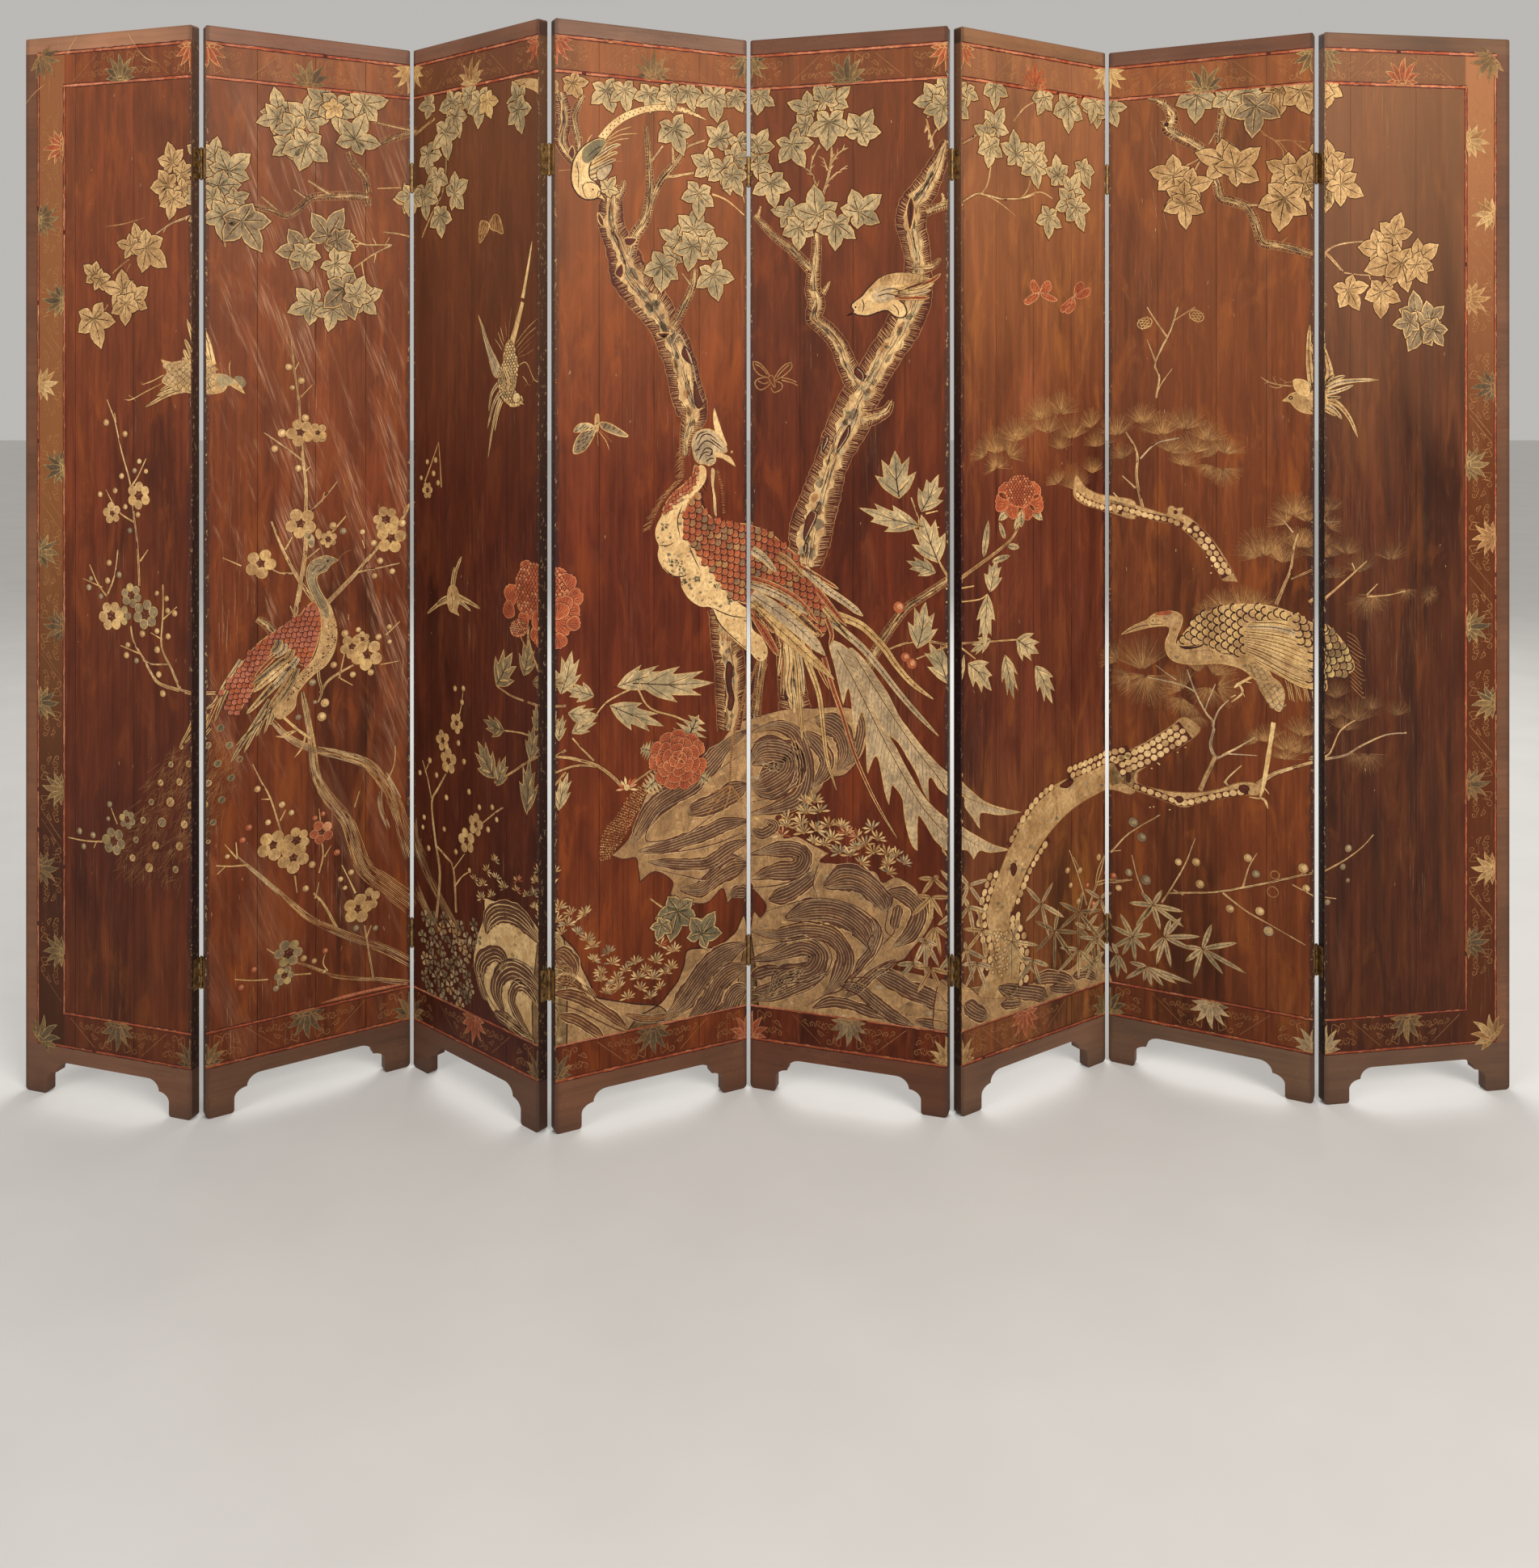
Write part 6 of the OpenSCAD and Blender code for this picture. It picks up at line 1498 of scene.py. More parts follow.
# the bird that flies across the first joint
B = 0.42
for pts, w0, w1, bd in ((((735, 215), (722, 130), (698, 44)), 15, 4, "cream"), (((730, 220), (708, 160), (690, 120)), 12, 5, "tan"), (((722, 222), (700, 190), (686, 158)), 10, 6, "cream"), (((718, 228), (695, 210), (682, 188)), 10, 6, "tan"),
                        (((740, 300), (640, 320), (543, 373)), 13, 3, "tan"), (((700, 300), (640, 310), (585, 330)), 10, 4, "cream"), (((690, 290), (640, 290), (598, 312)), 8, 4, "tan")):
    feather(g6(*pts), w0, w1, B, bd, "gold", "dark")
body1 = shape(g6((602, 196, 1), (640, 206), (690, 200), (738, 208), (742, 312), (700, 318), (655, 300), (612, 284), (608, 268), (624, 240)), "tan", B + 0.06, "gold", 1.3)
scale_arcs(body1, 13, 180, B + 0.10, "cream", None, "dull", fills=("tan", "gold", "tan"))
for i in range(14):
    line(g6((640 + rnd.random() * 90, 215 + rnd.random() * 80), (625 + rnd.random() * 90, 225 + rnd.random() * 80)), 1.0, "dark", B + 0.12)
shape(g6((762, 230), (790, 250), (830, 250), (858, 262), (886, 283), (913, 323, 1), (880, 304), (852, 290), (832, 314), (795, 322), (762, 314)), "tan", B + 0.04, "gold", 1.6)
shape(g6((800, 255), (835, 252), (862, 264), (880, 284), (855, 288), (835, 300), (815, 290)), "olive", B + 0.08)
shape(g6((872, 262), (900, 258), (918, 280), (905, 300), (880, 290)), "dull", B - 0.1)
for pts in (((860, 262), (855, 225), (860, 198)), ((830, 245), (820, 205)), ((612, 252), (570, 275), (528, 290)), ((540, 292), (526, 280)), ((606, 284), (540, 318), (490, 345), (466, 344)), ((500, 340), (480, 328)), ((500, 340), (506, 350))):
    line(g6(*pts), 1.5, "gold", B)
line(g6((782, 262), (775, 285), (790, 305)), 1.2, "dark", B + 0.1)

# leaf clusters of panels 1 and 2
leaves(g1, 3.267, [(695, 650, 66, 105), (738, 700, 52, 20), (672, 750, 70, 185), (742, 770, 60, -40), (700, 812, 62, -98)], 0.30, body="tan")
leaves(g1, 3.267, [(555, 968, 58, 110), (525, 995, 50, 170), (598, 1010, 88, -42)], 0.30, body="tan")
leaves(g1, 3.267, [(378, 1108, 50, 150), (405, 1130, 46, -60), (488, 1170, 78, 165), (545, 1208, 66, 35), (510, 1236, 66, -85)], 0.30, body="tan")
leaves(g1, 3.267, [(382, 1300, 90, -72)], 0.30, body="tan")
twig(g1((790, 862), (740, 885), (690, 905), (632, 945)), 7, 3, 0.26, "bark", thorns=2)
twig(g1((522, 1048), (488, 1075), (455, 1105)), 4, 2, 0.26, "ochre")
twig(g1((528, 1066), (515, 1090), (508, 1118)), 3, 1, 0.26, "ochre")
twig(g1((436, 1232), (425, 1250), (405, 1268)), 3, 1, 0.26, "ochre")
line(g1((425, 916), (500, 905), (585, 880)), 1.6, "ochre", 0.26, wobble=1)
leaves(g1, 3.267, [(868, 620, 56, 78), (856, 690, 46, 190), (930, 682, 84, 42), (890, 762, 84, -60), (855, 800, 60, 200), (952, 800, 46, 30), (905, 880, 82, -100)], 0.30)
leaves(g1, 3.267, [(985, 905, 98, -62)], 0.66, body="dull", vein="dark")
twig(g1((905, 960), (912, 998)), 4, 5, 0.26, "tan")
leaves(g1, 3.267, [(1128, 448, 72, 110), (1115, 480, 60, 200), (1245, 470, 84, 80), (1185, 520, 70, 190), (1160, 590, 60, 215), (1236, 595, 90, -100)], 0.30)
leaves(g1, 3.267, [(1300, 400, 60, 150), (1365, 440, 84, -85), (1480, 418, 82, 15), (1440, 552, 88, 65)], 0.66)
leaves(g1, 3.267, [(1352, 438, 44, -120)], 0.98, body="gold", vein="dull")
leaves(g1, 3.267, [(1210, 1012, 82, 185), (1330, 942, 92, 65), (1368, 975, 60, -30)], 0.30, body="dull")
leaves(g1, 3.267, [(1235, 1030, 62, -85), (1362, 1072, 74, -35)], 0.50)
leaves(g1, 3.267, [(1252, 1232, 80, 200), (1470, 1205, 76, 25), (1345, 1262, 66, -95)], 0.36)
leaves(g1, 3.267, [(1398, 1180, 96, -68)], 0.60, body="dull")
leaves(g1, 3.267, [(1440, 1190, 62, 60)], 0.72, body="olive")
for pts, w0, w1, h in ((((900, 530), (880, 535), (800, 560), (722, 592)), 14, 9, 1.2), (((880, 528), (805, 512), (718, 490)), 9, 6, 1.0), (((625, 612), (645, 660), (690, 715), (702, 780)), 9, 12, 1.3),
                       (((705, 800), (640, 792), (560, 792), (475, 800), (430, 838), (375, 872), (300, 845), (205, 832)), 15, 6, 1.4), (((462, 730), (520, 768), (555, 790)), 5, 9, 1.0), (((404, 766), (450, 800)), 4, 8, 0.8),
                       (((272, 795), (335, 848)), 3, 6, 0.8), (((700, 800), (705, 835)), 12, 4, 0.8)):
    bough(g2(*pts), [w0 + (w1 - w0) * i / (len(pts) - 1) for i in range(len(pts))], 0.27, "tan" if w0 > 8 else "bark", "ochre", "dark", h, fringe=False)
for pts, w0, w1 in ((((800, 990), (740, 990), (680, 986), (622, 948)), 5, 2), (((680, 986), (615, 985)), 2, 1), (((665, 990), (625, 1030)), 2, 1), (((735, 985), (722, 962)), 2, 1), (((800, 990), (740, 1020), (700, 1045), (645, 1084)), 5, 1.5),
                    (((678, 1062), (688, 1125)), 3, 1), (((735, 1025), (728, 1062)), 3, 1), (((770, 995), (790, 960)), 1, 1), (((765, 938), (830, 946), (882, 960)), 2, 5), (((742, 762), (860, 758)), 2, 1)):
    twig(g2(*pts), w0, w1, 0.26, "gold", thorns=0)
leaves(g2, 3.267, [(868, 805, 58, 180)], 0.30, body="gold", vein="dull")

# -- panels 6 to 8: pines, the crane, birds, berries and bamboo


def fans(g, k, rows, lift, col="needle"):
    for i, r in enumerate(rows):
        (p,) = g((r[0], r[1]))
        big = 1.16 if g is g10 else 1.06
        needles(p[0], p[1], big * r[2] / k, r[3] - 6, r[4] + 6, lift + 0.014 * (i % 4), int(12 + r[2] / 1.9 * (r[4] - r[3]) / 360 * 2.5), col)


def pebbles(outline, edges, lift, size=8.5, rows=2, body="tan", stone="cream", gap="ground", rim="gold"):
    """A pine trunk: a pale body with rows of rounded scales on a dark strip along its edges."""
    b = shape(outline, "ground", lift - 0.05, "ochre", 0.9, 4)
    cx, cy = sum(p[0] for p in b) / len(b), sum(p[1] for p in b) / len(b)
    nb = normals(b, True)
    turn = 1 if area2(b) > 0 else -1
    b = [(p[0] + v[0] * 1.8 * turn, p[1] + v[1] * 1.8 * turn) for p, v in zip(b, nb)]
    fill(b, body, lift)
    stroke(b, 1.0, rim, lift + 0.03, closed=True, wobble=0.6)
    blotches(b, int(abs(area2(b)) / 2 / 420), ("cream", "olive", "dull", "gold", "silver", "ochre"), lift + 0.012, 2.0, 6.0)
    for pts, n, inward in edges:
        c = smooth(mp(pts), 6)
        ll = length(c)
        w = size * n * 0.95
        nr = normals(c)
        mid = [(p[0] + nr[i][0] * inward * w * 0.5, p[1] + nr[i][1] * inward * w * 0.5) for i, p in enumerate(c)]
        ribbon(mid, [w] * len(mid), gap, lift + 0.04)
        for r in range(n):
            o = inward * (r + 0.5) * size * 0.92
            cnt = int(ll / (size * 1.02))
            for j in range(cnt):
                p, d = line_at(c, (j + 0.5 + 0.5 * (r % 2)) / (cnt + 0.5))
                a = math.radians(d)
                q = (p[0] + o * -math.sin(a), p[1] + o * math.cos(a))
                dot((q[0] + jit(0.5), q[1] + jit(0.5)), size * 0.51 * (0.84 + 0.22 * rnd.random()), stone if rnd.random() < 0.7 else body, lift + 0.09 + 0.005 * (j % 2), 11, 0.86, a)
    return b


N = 0.10
fans(g10, 3.015, [(1065, 545, 85, 20, 160), (1020, 560, 60, 60, 190), (1135, 500, 80, 20, 165), (1110, 560, 70, -10, 120), (1225, 420, 78, 20, 170), (1180, 480, 66, 30, 170), (1305, 400, 78, 10, 165), (1255, 470, 76, 20, 160),
                  (1345, 490, 78, 20, 165), (1420, 450, 60, 40, 170), (1355, 680, 80, 20, 160), (1290, 660, 50, 40, 180), (1440, 520, 60, 20, 170), (1420, 620, 55, 20, 150), (1300, 530, 60, 20, 160), (1065, 600, 55, 0, 200)], N)
fans(g12, 2.78, [(120, 440, 62, 30, 170), (205, 400, 66, 15, 165), (140, 520, 50, 40, 180), (268, 440, 74, 20, 165), (350, 420, 72, 20, 165), (300, 500, 66, 0, 150), (380, 500, 66, 10, 150), (425, 460, 66, 10, 150), (345, 545, 50, 0, 160),
                 (490, 505, 58, 10, 150), (482, 555, 60, 180, 360), (430, 540, 44, 190, 330), (450, 510, 50, 60, 190)], N)
fans(g12, 2.78, [(728, 715, 72, 25, 160), (700, 745, 60, 60, 190), (622, 858, 96, 40, 175), (600, 862, 60, 90, 190), (660, 860, 66, 20, 120), (735, 830, 70, 30, 150), (690, 880, 60, 30, 150), (770, 740, 60, 40, 150), (765, 830, 60, 30, 140)], N, "needle")
fans(g12, 2.78, [(850, 700, 50, 20, 170), (845, 760, 50, -20, 120), (850, 860, 66, 20, 170), (905, 850, 60, 10, 150), (860, 930, 44, 0, 180), (975, 1000, 70, 180, 350), (1000, 990, 60, 180, 360), (1060, 870, 60, 20, 160), (960, 910, 66, 30, 170),
                 (1190, 990, 34, 0, 360), (1110, 970, 40, 180, 350)], N, "needle_dark")
fans(g12, 2.78, [(545, 1045, 82, 20, 150), (590, 1040, 66, 20, 120), (480, 1040, 66, 40, 165), (430, 1060, 50, 60, 170)], N)
fans(g13, 2.78, [(205, 190, 108, 40, 160), (120, 160, 60, 90, 200), (215, 210, 100, 180, 360), (160, 210, 60, 150, 270), (340, 260, 72, 60, 200), (340, 290, 58, 180, 330), (450, 210, 74, 10, 120), (430, 250, 66, 200, 330), (460, 250, 70, -60, 60),
                 (385, 320, 56, 150, 300), (395, 200, 60, 50, 140), (400, 350, 40, 200, 330)], N)
fans(g13, 2.78, [(635, 440, 58, 40, 170), (600, 440, 40, 90, 200), (700, 470, 64, 30, 160), (750, 420, 64, 20, 150), (745, 480, 60, 20, 160), (700, 500, 50, 10, 170)], N)
fans(g13, 2.78, [(865, 360, 60, 40, 170), (940, 370, 80, 20, 150), (990, 330, 50, 20, 150), (900, 400, 60, 10, 150), (980, 480, 66, 180, 350), (940, 480, 46, 180, 300), (1080, 350, 50, 20, 150), (870, 290, 56, 30, 150)], N, "needle_dark")

for pts, w0, w1, col in (
    (((325, 0), (300, 80), (265, 150), (247, 200), (262, 240), (250, 312)), 5, 5, "tan"), (((220, 0), (245, 40), (287, 100)), 2, 4, "tan"), (((220, 112), (238, 158), (250, 190)), 1, 4, "tan"), (((306, 212), (270, 262), (256, 290)), 1, 3, "tan"),
    (((385, 0), (345, 25), (315, 45)), 2, 3, "tan"), (((148, 430), (185, 500), (184, 590), (205, 692)), 3, 9, "bark"), (((330, 450), (250, 470), (196, 522)), 2, 5, "silver"), (((135, 580), (180, 622)), 1.5, 4, "bark"),
    (((740, 780), (726, 820), (714, 900), (690, 960), (664, 1022)), 3, 9, "bark"), (((790, 903), (715, 936)), 7, 4, "tan"), (((690, 735), (722, 775)), 1, 3, "silver"), (((815, 1017), (880, 960), (976, 873)), 8, 2, "bark"),
    (((975, 996), (1050, 990), (1108, 976)), 3, 2, "tan"), (((1012, 952), (975, 990)), 2, 3, "tan"), (((820, 740), (880, 738)), 3, 1, "dull"), (((935, 905), (925, 880)), 1, 2, "bark"),
):
    twig(g12(*pts), w0, w1, 0.24, col, thorns=0)
for pts, w0, w1, col in (
    (((220, 216), (330, 240), (386, 266)), 1.5, 4, "silver"), (((358, 190), (385, 265), (420, 335), (450, 380), (438, 450), (455, 492)), 2, 9, "silver"), (((455, 240), (430, 300), (418, 335)), 1.5, 3, "silver"),
    (((500, 295), (465, 332), (445, 385)), 2, 4, "silver"), (((455, 490), (430, 542), (402, 606)), 10, 11, "tan"), (((592, 423), (520, 465), (460, 495)), 1.5, 8, "silver"), (((600, 486), (500, 480)), 1, 3, "silver"),
    (((250, 175), (290, 205), (320, 225)), 1, 2, "silver"), (((820, 495), (850, 475), (885, 400), (940, 362)), 6, 2, "tan"), (((815, 500), (900, 485), (960, 450), (1040, 415), (1112, 408)), 7, 2.5, "silver"), (((960, 450), (990, 435)), 2, 1, "silver"),
):
    twig(g13(*pts), w0, w1, 0.24, col, thorns=0)

# pine trunk of panels 6 and 7
pebbles(g11((1580, 530), (1500, 545), (1430, 575), (1370, 600), (1300, 625), (1240, 670), (1180, 740), (1130, 830), (1095, 910), (1060, 1000), (1035, 1080), (1020, 1140), (1035, 1200), (1050, 1260), (1030, 1340), (1000, 1400), (1010, 1430),
            (1130, 1420), (1150, 1320), (1148, 1240), (1120, 1180), (1118, 1120), (1140, 1060), (1165, 980), (1205, 900), (1250, 830), (1310, 760), (1370, 710), (1440, 670), (1500, 655), (1580, 665)), [
    (g11((1075, 960), (1045, 1050), (1026, 1130), (1045, 1210), (1055, 1260), (1030, 1350)), 2, -1), (g11((1570, 540), (1490, 555), (1410, 588), (1330, 620)), 2, -1),
    (g11((1280, 650), (1220, 700), (1160, 785), (1115, 870)), 1, -1), (g11((1142, 1390), (1150, 1310), (1142, 1230), (1114, 1170), (1116, 1110)), 2, -1), (g11((1130, 1080), (1165, 985), (1210, 895), (1255, 830)), 1, -1)], 0.34, 15.5)
for s in (g11((1300, 640), (1330, 618), (1350, 622), (1330, 645)), g11((1118, 935), (1132, 930), (1138, 950), (1128, 975), (1118, 960))):
    shape(s, "ground", 0.5, "dark", 2.0)
pebbles(g13((80, 492), (130, 478), (190, 452), (250, 418), (300, 385), (342, 353), (380, 368), (404, 398), (365, 436), (310, 470), (250, 502), (196, 538), (180, 560), (196, 585), (260, 602), (330, 612), (400, 612), (470, 600), (530, 580),
            (580, 578), (620, 596), (600, 622), (545, 622), (480, 634), (400, 650), (350, 664), (300, 650), (230, 622), (175, 606), (130, 585), (80, 590)), [
    (g13((84, 496), (140, 478), (200, 452), (260, 416), (330, 368)), 3, -1), (g13((170, 600), (235, 622), (300, 648), (350, 660), (420, 646), (500, 630), (570, 620)), 1, 1)], 0.34, 14.5)
shape(g13((152, 545), (162, 550), (160, 575), (150, 572)), "ground", 0.5, "dark", 1.4)
shape(g13((318, 630), (335, 626), (345, 640), (328, 648)), "ground", 0.5, "dark", 1.4)
shape(g13((540, 590), (560, 588), (572, 602), (552, 614), (538, 604)), "ground", 0.5, "dark", 1.4)
for pts, w0, w1 in ((((500, 590), (492, 570), (545, 520)), 7, 2), (((600, 585), (650, 552), (720, 528), (790, 508)), 12, 6), (((485, 575), (500, 590)), 3, 6)):
    twig(g13(*pts), w0, w1, 0.36, "tan", thorns=0)
for c0 in ((258, 512), (262, 516), (236, 530), (325, 475), (352, 458), (230, 664), (298, 672), (243, 662)):
    dot(m(*g13(c0)[0]), 2.2, "cream", 0.3, 6, 0.6)
pebbles(g10((1360, 628), (1395, 670), (1440, 695), (1500, 705), (1580, 725), (1580, 790), (1500, 770), (1440, 752), (1385, 735), (1350, 700)), [
    (g10((1355, 705), (1400, 738), (1460, 758), (1530, 775)), 1, 1)], 0.34, 13.5)
pebbles(g12((80, 658), (130, 668), (180, 680), (230, 695), (285, 710), (290, 692), (305, 682), (320, 692), (345, 690), (340, 710), (362, 720), (400, 752), (450, 805), (490, 865), (515, 910), (532, 945, 1), (480, 942, 1), (450, 890), (425, 850),
            (380, 800), (340, 762), (300, 745), (250, 735), (190, 718), (130, 700), (80, 692)), [
    (g12((92, 694), (150, 706), (210, 725), (290, 742), (340, 762)), 1, 1), (g12((350, 768), (400, 815), (440, 875), (478, 935)), 2, 1)], 0.34, 13.5)
twig(g12((104, 638), (130, 668)), 1.5, 5, 0.36, "cream")
dot(m(*g12((318, 705))[0]), 4.5, "ground", 0.46, 8)
for c0 in ((436, 858), (443, 890), (425, 860), (440, 914)):
    dot(m(*g12(c0)[0]), 2.0, "cream", 0.3, 6, 0.6)

# cones
for c0, a in (((212, 55), 20), ((390, 30), -30)):
    (p,) = g12(c0)
    f = frame2(m(*p), a, 28 / 2.78 * mm(p[0]))
    o = [f(0.62 * math.cos(t * math.tau / 14), 0.9 * math.sin(t * math.tau / 14)) for t in range(14)]
    stroke(smooth(o, 3, True), 1.4, "gold", 0.26, taper="none", closed=True)
    for t in (-0.35, 0, 0.35):
        stroke([f(t - 0.3, -0.6), f(t + 0.3, 0.6)], 1.1, "gold", 0.26, taper="none")
        stroke([f(t + 0.3, -0.6), f(t - 0.3, 0.6)], 1.1, "gold", 0.26, taper="none")

# crane
C = 0.50
shape(g12((130, 1126, 1), (165, 1100), (200, 1084), (240, 1070), (286, 1080), (286, 1094), (235, 1100), (185, 1112)), "tan", C + 0.02, "gold", 1.0)
line(g12((140, 1122), (200, 1096), (280, 1090)), 1.3, "dark", C + 0.06)
leg = shape(g13((560, 172), (600, 170), (635, 190), (650, 215), (675, 235), (690, 262), (692, 290), (680, 330), (665, 330), (640, 305), (615, 270), (598, 235), (580, 205)), "tan", C + 0.01, "gold", 1.3)
blotches(leg, 22, ("dull", "cream", "olive", "gold"), C + 0.03, 1.4, 3.6)
scale_arcs(leg, 13, -100, C + 0.04, "gold", None, "dull")
crane = shape(g12((222, 1082), (232, 1064), (262, 1050), (305, 1046), (334, 1056), (342, 1075), (334, 1105), (320, 1140), (320, 1160), (345, 1168), (395, 1166), (415, 1152), (470, 1190), (560, 1205), (610, 1232), (655, 1280), (620, 1290),
                  (585, 1275), (560, 1252), (520, 1234), (460, 1224), (400, 1228), (345, 1226), (305, 1212), (286, 1184), (284, 1150), (298, 1115), (292, 1098), (260, 1096), (232, 1094)), "tan", C + 0.04, "gold", 1.8)
blotches(crane, 60, ("cream", "olive", "dull", "gold", "ochre"), C + 0.05, 1.5, 4.5)
shape(g12((246, 1056), (270, 1046), (306, 1046), (300, 1056), (270, 1060)), "coral", C + 0.08)
dot(m(*g12((240, 1078))[0]), 5.0, "gold_bright", C + 0.1)
dot(m(*g12((240, 1078))[0]), 3.0, "dark", C + 0.12)
dot(m(*g12((240, 1078))[0]), 1.3, "cream", C + 0.14)
shape(g12((295, 1066), (312, 1058), (318, 1075), (308, 1100), (300, 1125), (298, 1095)), "bark", C + 0.08)
shape(g12((320, 1158), (345, 1166), (390, 1166), (418, 1156), (400, 1170), (350, 1176)), "dark", C + 0.09)
wing = shape(g12((324, 1158), (345, 1125), (372, 1095), (410, 1062), (460, 1035), (530, 1023), (620, 1025), (700, 1044), (760, 1074), (800, 1092), (850, 1104), (892, 1150), (926, 1215), (930, 1244), (905, 1262), (850, 1270), (800, 1272),
                  (800, 1318), (740, 1300), (690, 1275), (640, 1246), (600, 1218), (555, 1198), (510, 1190), (460, 1182), (420, 1158), (390, 1158), (355, 1164)), "tan", C + 0.12, "gold", 1.8)
front = mp(g12((326, 1158), (372, 1095), (410, 1062), (460, 1035), (530, 1023), (620, 1025), (700, 1044), (780, 1080), (770, 1110), (690, 1082), (600, 1075), (560, 1100), (555, 1140), (560, 1195), (500, 1188), (420, 1158)))
scale_arcs(front, 18, 185, C + 0.16, "cream", None, "dark", fills=("gold", "gold", "tan"))
back = mp(g12((815, 1095), (850, 1104), (892, 1150), (926, 1215), (930, 1244), (905, 1262), (850, 1270), (815, 1272)))
scale_arcs(back, 18, -35, C + 0.16, "olive_gold", None, "dark", fills=("lotus", "lotus", "olive_gold"))
edge = mp(g12((700, 1050), (790, 1090), (790, 1310), (770, 1310), (775, 1230), (755, 1160), (715, 1100)))
scale_arcs(edge, 18, -40, C + 0.24, "cream", None, "dark", fills=("gold", "tan", "tan"))
for pts in (((560, 1100), (640, 1100), (700, 1110), (745, 1130)), ((556, 1116), (640, 1125), (710, 1140), (765, 1165)), ((556, 1134), (630, 1146), (700, 1166), (770, 1196)), ((556, 1150), (620, 1166), (690, 1192), (775, 1232)),
            ((558, 1166), (620, 1188), (690, 1222), (780, 1262)), ((560, 1182), (615, 1206), (690, 1248), (785, 1290)), ((580, 1086), (660, 1086), (720, 1098)), ((590, 1208), (650, 1240), (720, 1280), (785, 1306))):
    feather(g12(*pts), 7, 17, C + 0.20, rnd.choice(("tan", "gold", "silver")), "cream", "dark", 0, profile=lambda t: 0.6 + 0.45 * t)
for pts in (((470, 1190), (500, 1196), (560, 1206)), ((610, 1215), (620, 1240)), ((350, 1190), (420, 1180), (450, 1186))):
    line(g12(*pts), 1.2, "dull", C + 0.1)
for pts, w in ((((655, 372), (640, 470), (622, 580), (608, 632)), 6.5), (((606, 630), (625, 640), (636, 668)), 3.6), (((606, 634), (570, 628)), 2.6), (((616, 588), (640, 618)), 2.8), (((582, 214), (535, 240), (520, 252)), 4.2),
               (((536, 240), (548, 270), (510, 302)), 3.2), (((545, 262), (556, 284)), 2.6), (((560, 232), (580, 236)), 2.4), (((525, 278), (506, 286)), 2.2)):
    line(g13(*pts), w, "gold_bright" if w > 4 else "cream", C - 0.06, taper="end")
for i in range(10):
    x = 700 + 9 * i
    line(g13((x - 6, 222 + 3 * i), (x + 6, 262 + 3 * (i % 3) * 5), (x + 10, 295 + 3 * (i % 4))), 1.2, "gold", C - 0.1)
for i in range(14):
    y = 60 + 14 * i
    line(g13((905 + i, y), (935 + 2 * i, y + 18 + 2 * i), (950 + (i % 5) * 6, y + 40)), 0.9, "ochre", C - 0.2)

# bird across the last joint
D = 0.42
for pts, w0, w1, bd in ((((790, 285), (778, 200), (776, 130), (780, 60)), 14, 4, "tan"), (((815, 300), (846, 240), (842, 190), (818, 118)), 20, 5, "tan"), (((815, 290), (870, 262), (940, 252), (1016, 250)), 14, 3, "silver"),
                        (((815, 320), (870, 330), (915, 380), (944, 448)), 14, 3, "tan"), (((820, 280), (860, 250), (900, 236)), 10, 5, "dull"), (((818, 300), (870, 290), (930, 268)), 10, 4, "silver"),
                        (((818, 275), (845, 245), (862, 232)), 9, 5, "tan"), (((818, 330), (860, 350), (890, 385)), 10, 5, "silver"), (((822, 345), (850, 362), (870, 372)), 8, 4, "tan"), (((818, 308), (850, 312), (885, 310)), 8, 4, "dull")):
    feather(g12(*pts), w0, w1, D, bd, "gold", "dark", 6)
shape(g12((686, 322, 1), (702, 310), (712, 300), (735, 292), (765, 296), (800, 296), (835, 300), (838, 330), (815, 352), (790, 366), (755, 362), (728, 345), (715, 328), (702, 324)), "tan", D + 0.08, "gold", 1.5)
shape(g12((724, 252), (745, 248), (770, 258), (778, 290), (770, 305), (745, 298), (728, 280)), "gold", D + 0.10, "gold_bright", 1.3)
dot(m(*g12((714, 312))[0]), 4.2, "dark", D + 0.12)
dot(m(*g12((714, 312))[0]), 1.8, "tan", D + 0.14)
line(g12((760, 310), (780, 330), (785, 350)), 1.2, "dull", D + 0.14)
for pts in (((722, 272), (680, 268), (640, 258), (610, 240)), ((665, 262), (652, 240)), ((700, 258), (676, 246)), ((640, 258), (625, 262)), ((690, 270), (665, 278), (640, 270)), ((720, 256), (690, 262))):
    line(g12(*pts), 2.0, "tan", D)

# berries
for pts, w0, w1 in ((((95, 818), (160, 752), (265, 690)), 5, 1), (((95, 815), (130, 812)), 2, 1), (((270, 992), (300, 948), (350, 862), (386, 770)), 6, 1.5), (((290, 960), (340, 958), (450, 955), (550, 940), (650, 920), (740, 900), (795, 888)), 4, 6),
                    (((825, 886), (900, 845), (960, 800), (998, 758)), 4, 1.5), (((598, 822), (570, 870), (550, 938)), 1.5, 4), (((480, 958), (560, 1020), (640, 1066), (765, 1138)), 4, 1.5), (((740, 902), (770, 878)), 2, 1),
                    (((720, 930), (795, 970)), 2, 2), (((168, 828), (185, 900), (207, 958)), 1.5, 3), (((825, 972), (870, 978)), 2, 1), (((310, 948), (345, 965)), 5, 2), (((75, 830), (50, 920), (20, 1010), (0, 1080)), 3, 5),
                    (((44, 922), (110, 915), (156, 912)), 3, 1)):
    twig(g13(*pts), w0, w1, 0.24, "tan" if w0 > 3 else "bark", thorns=0)
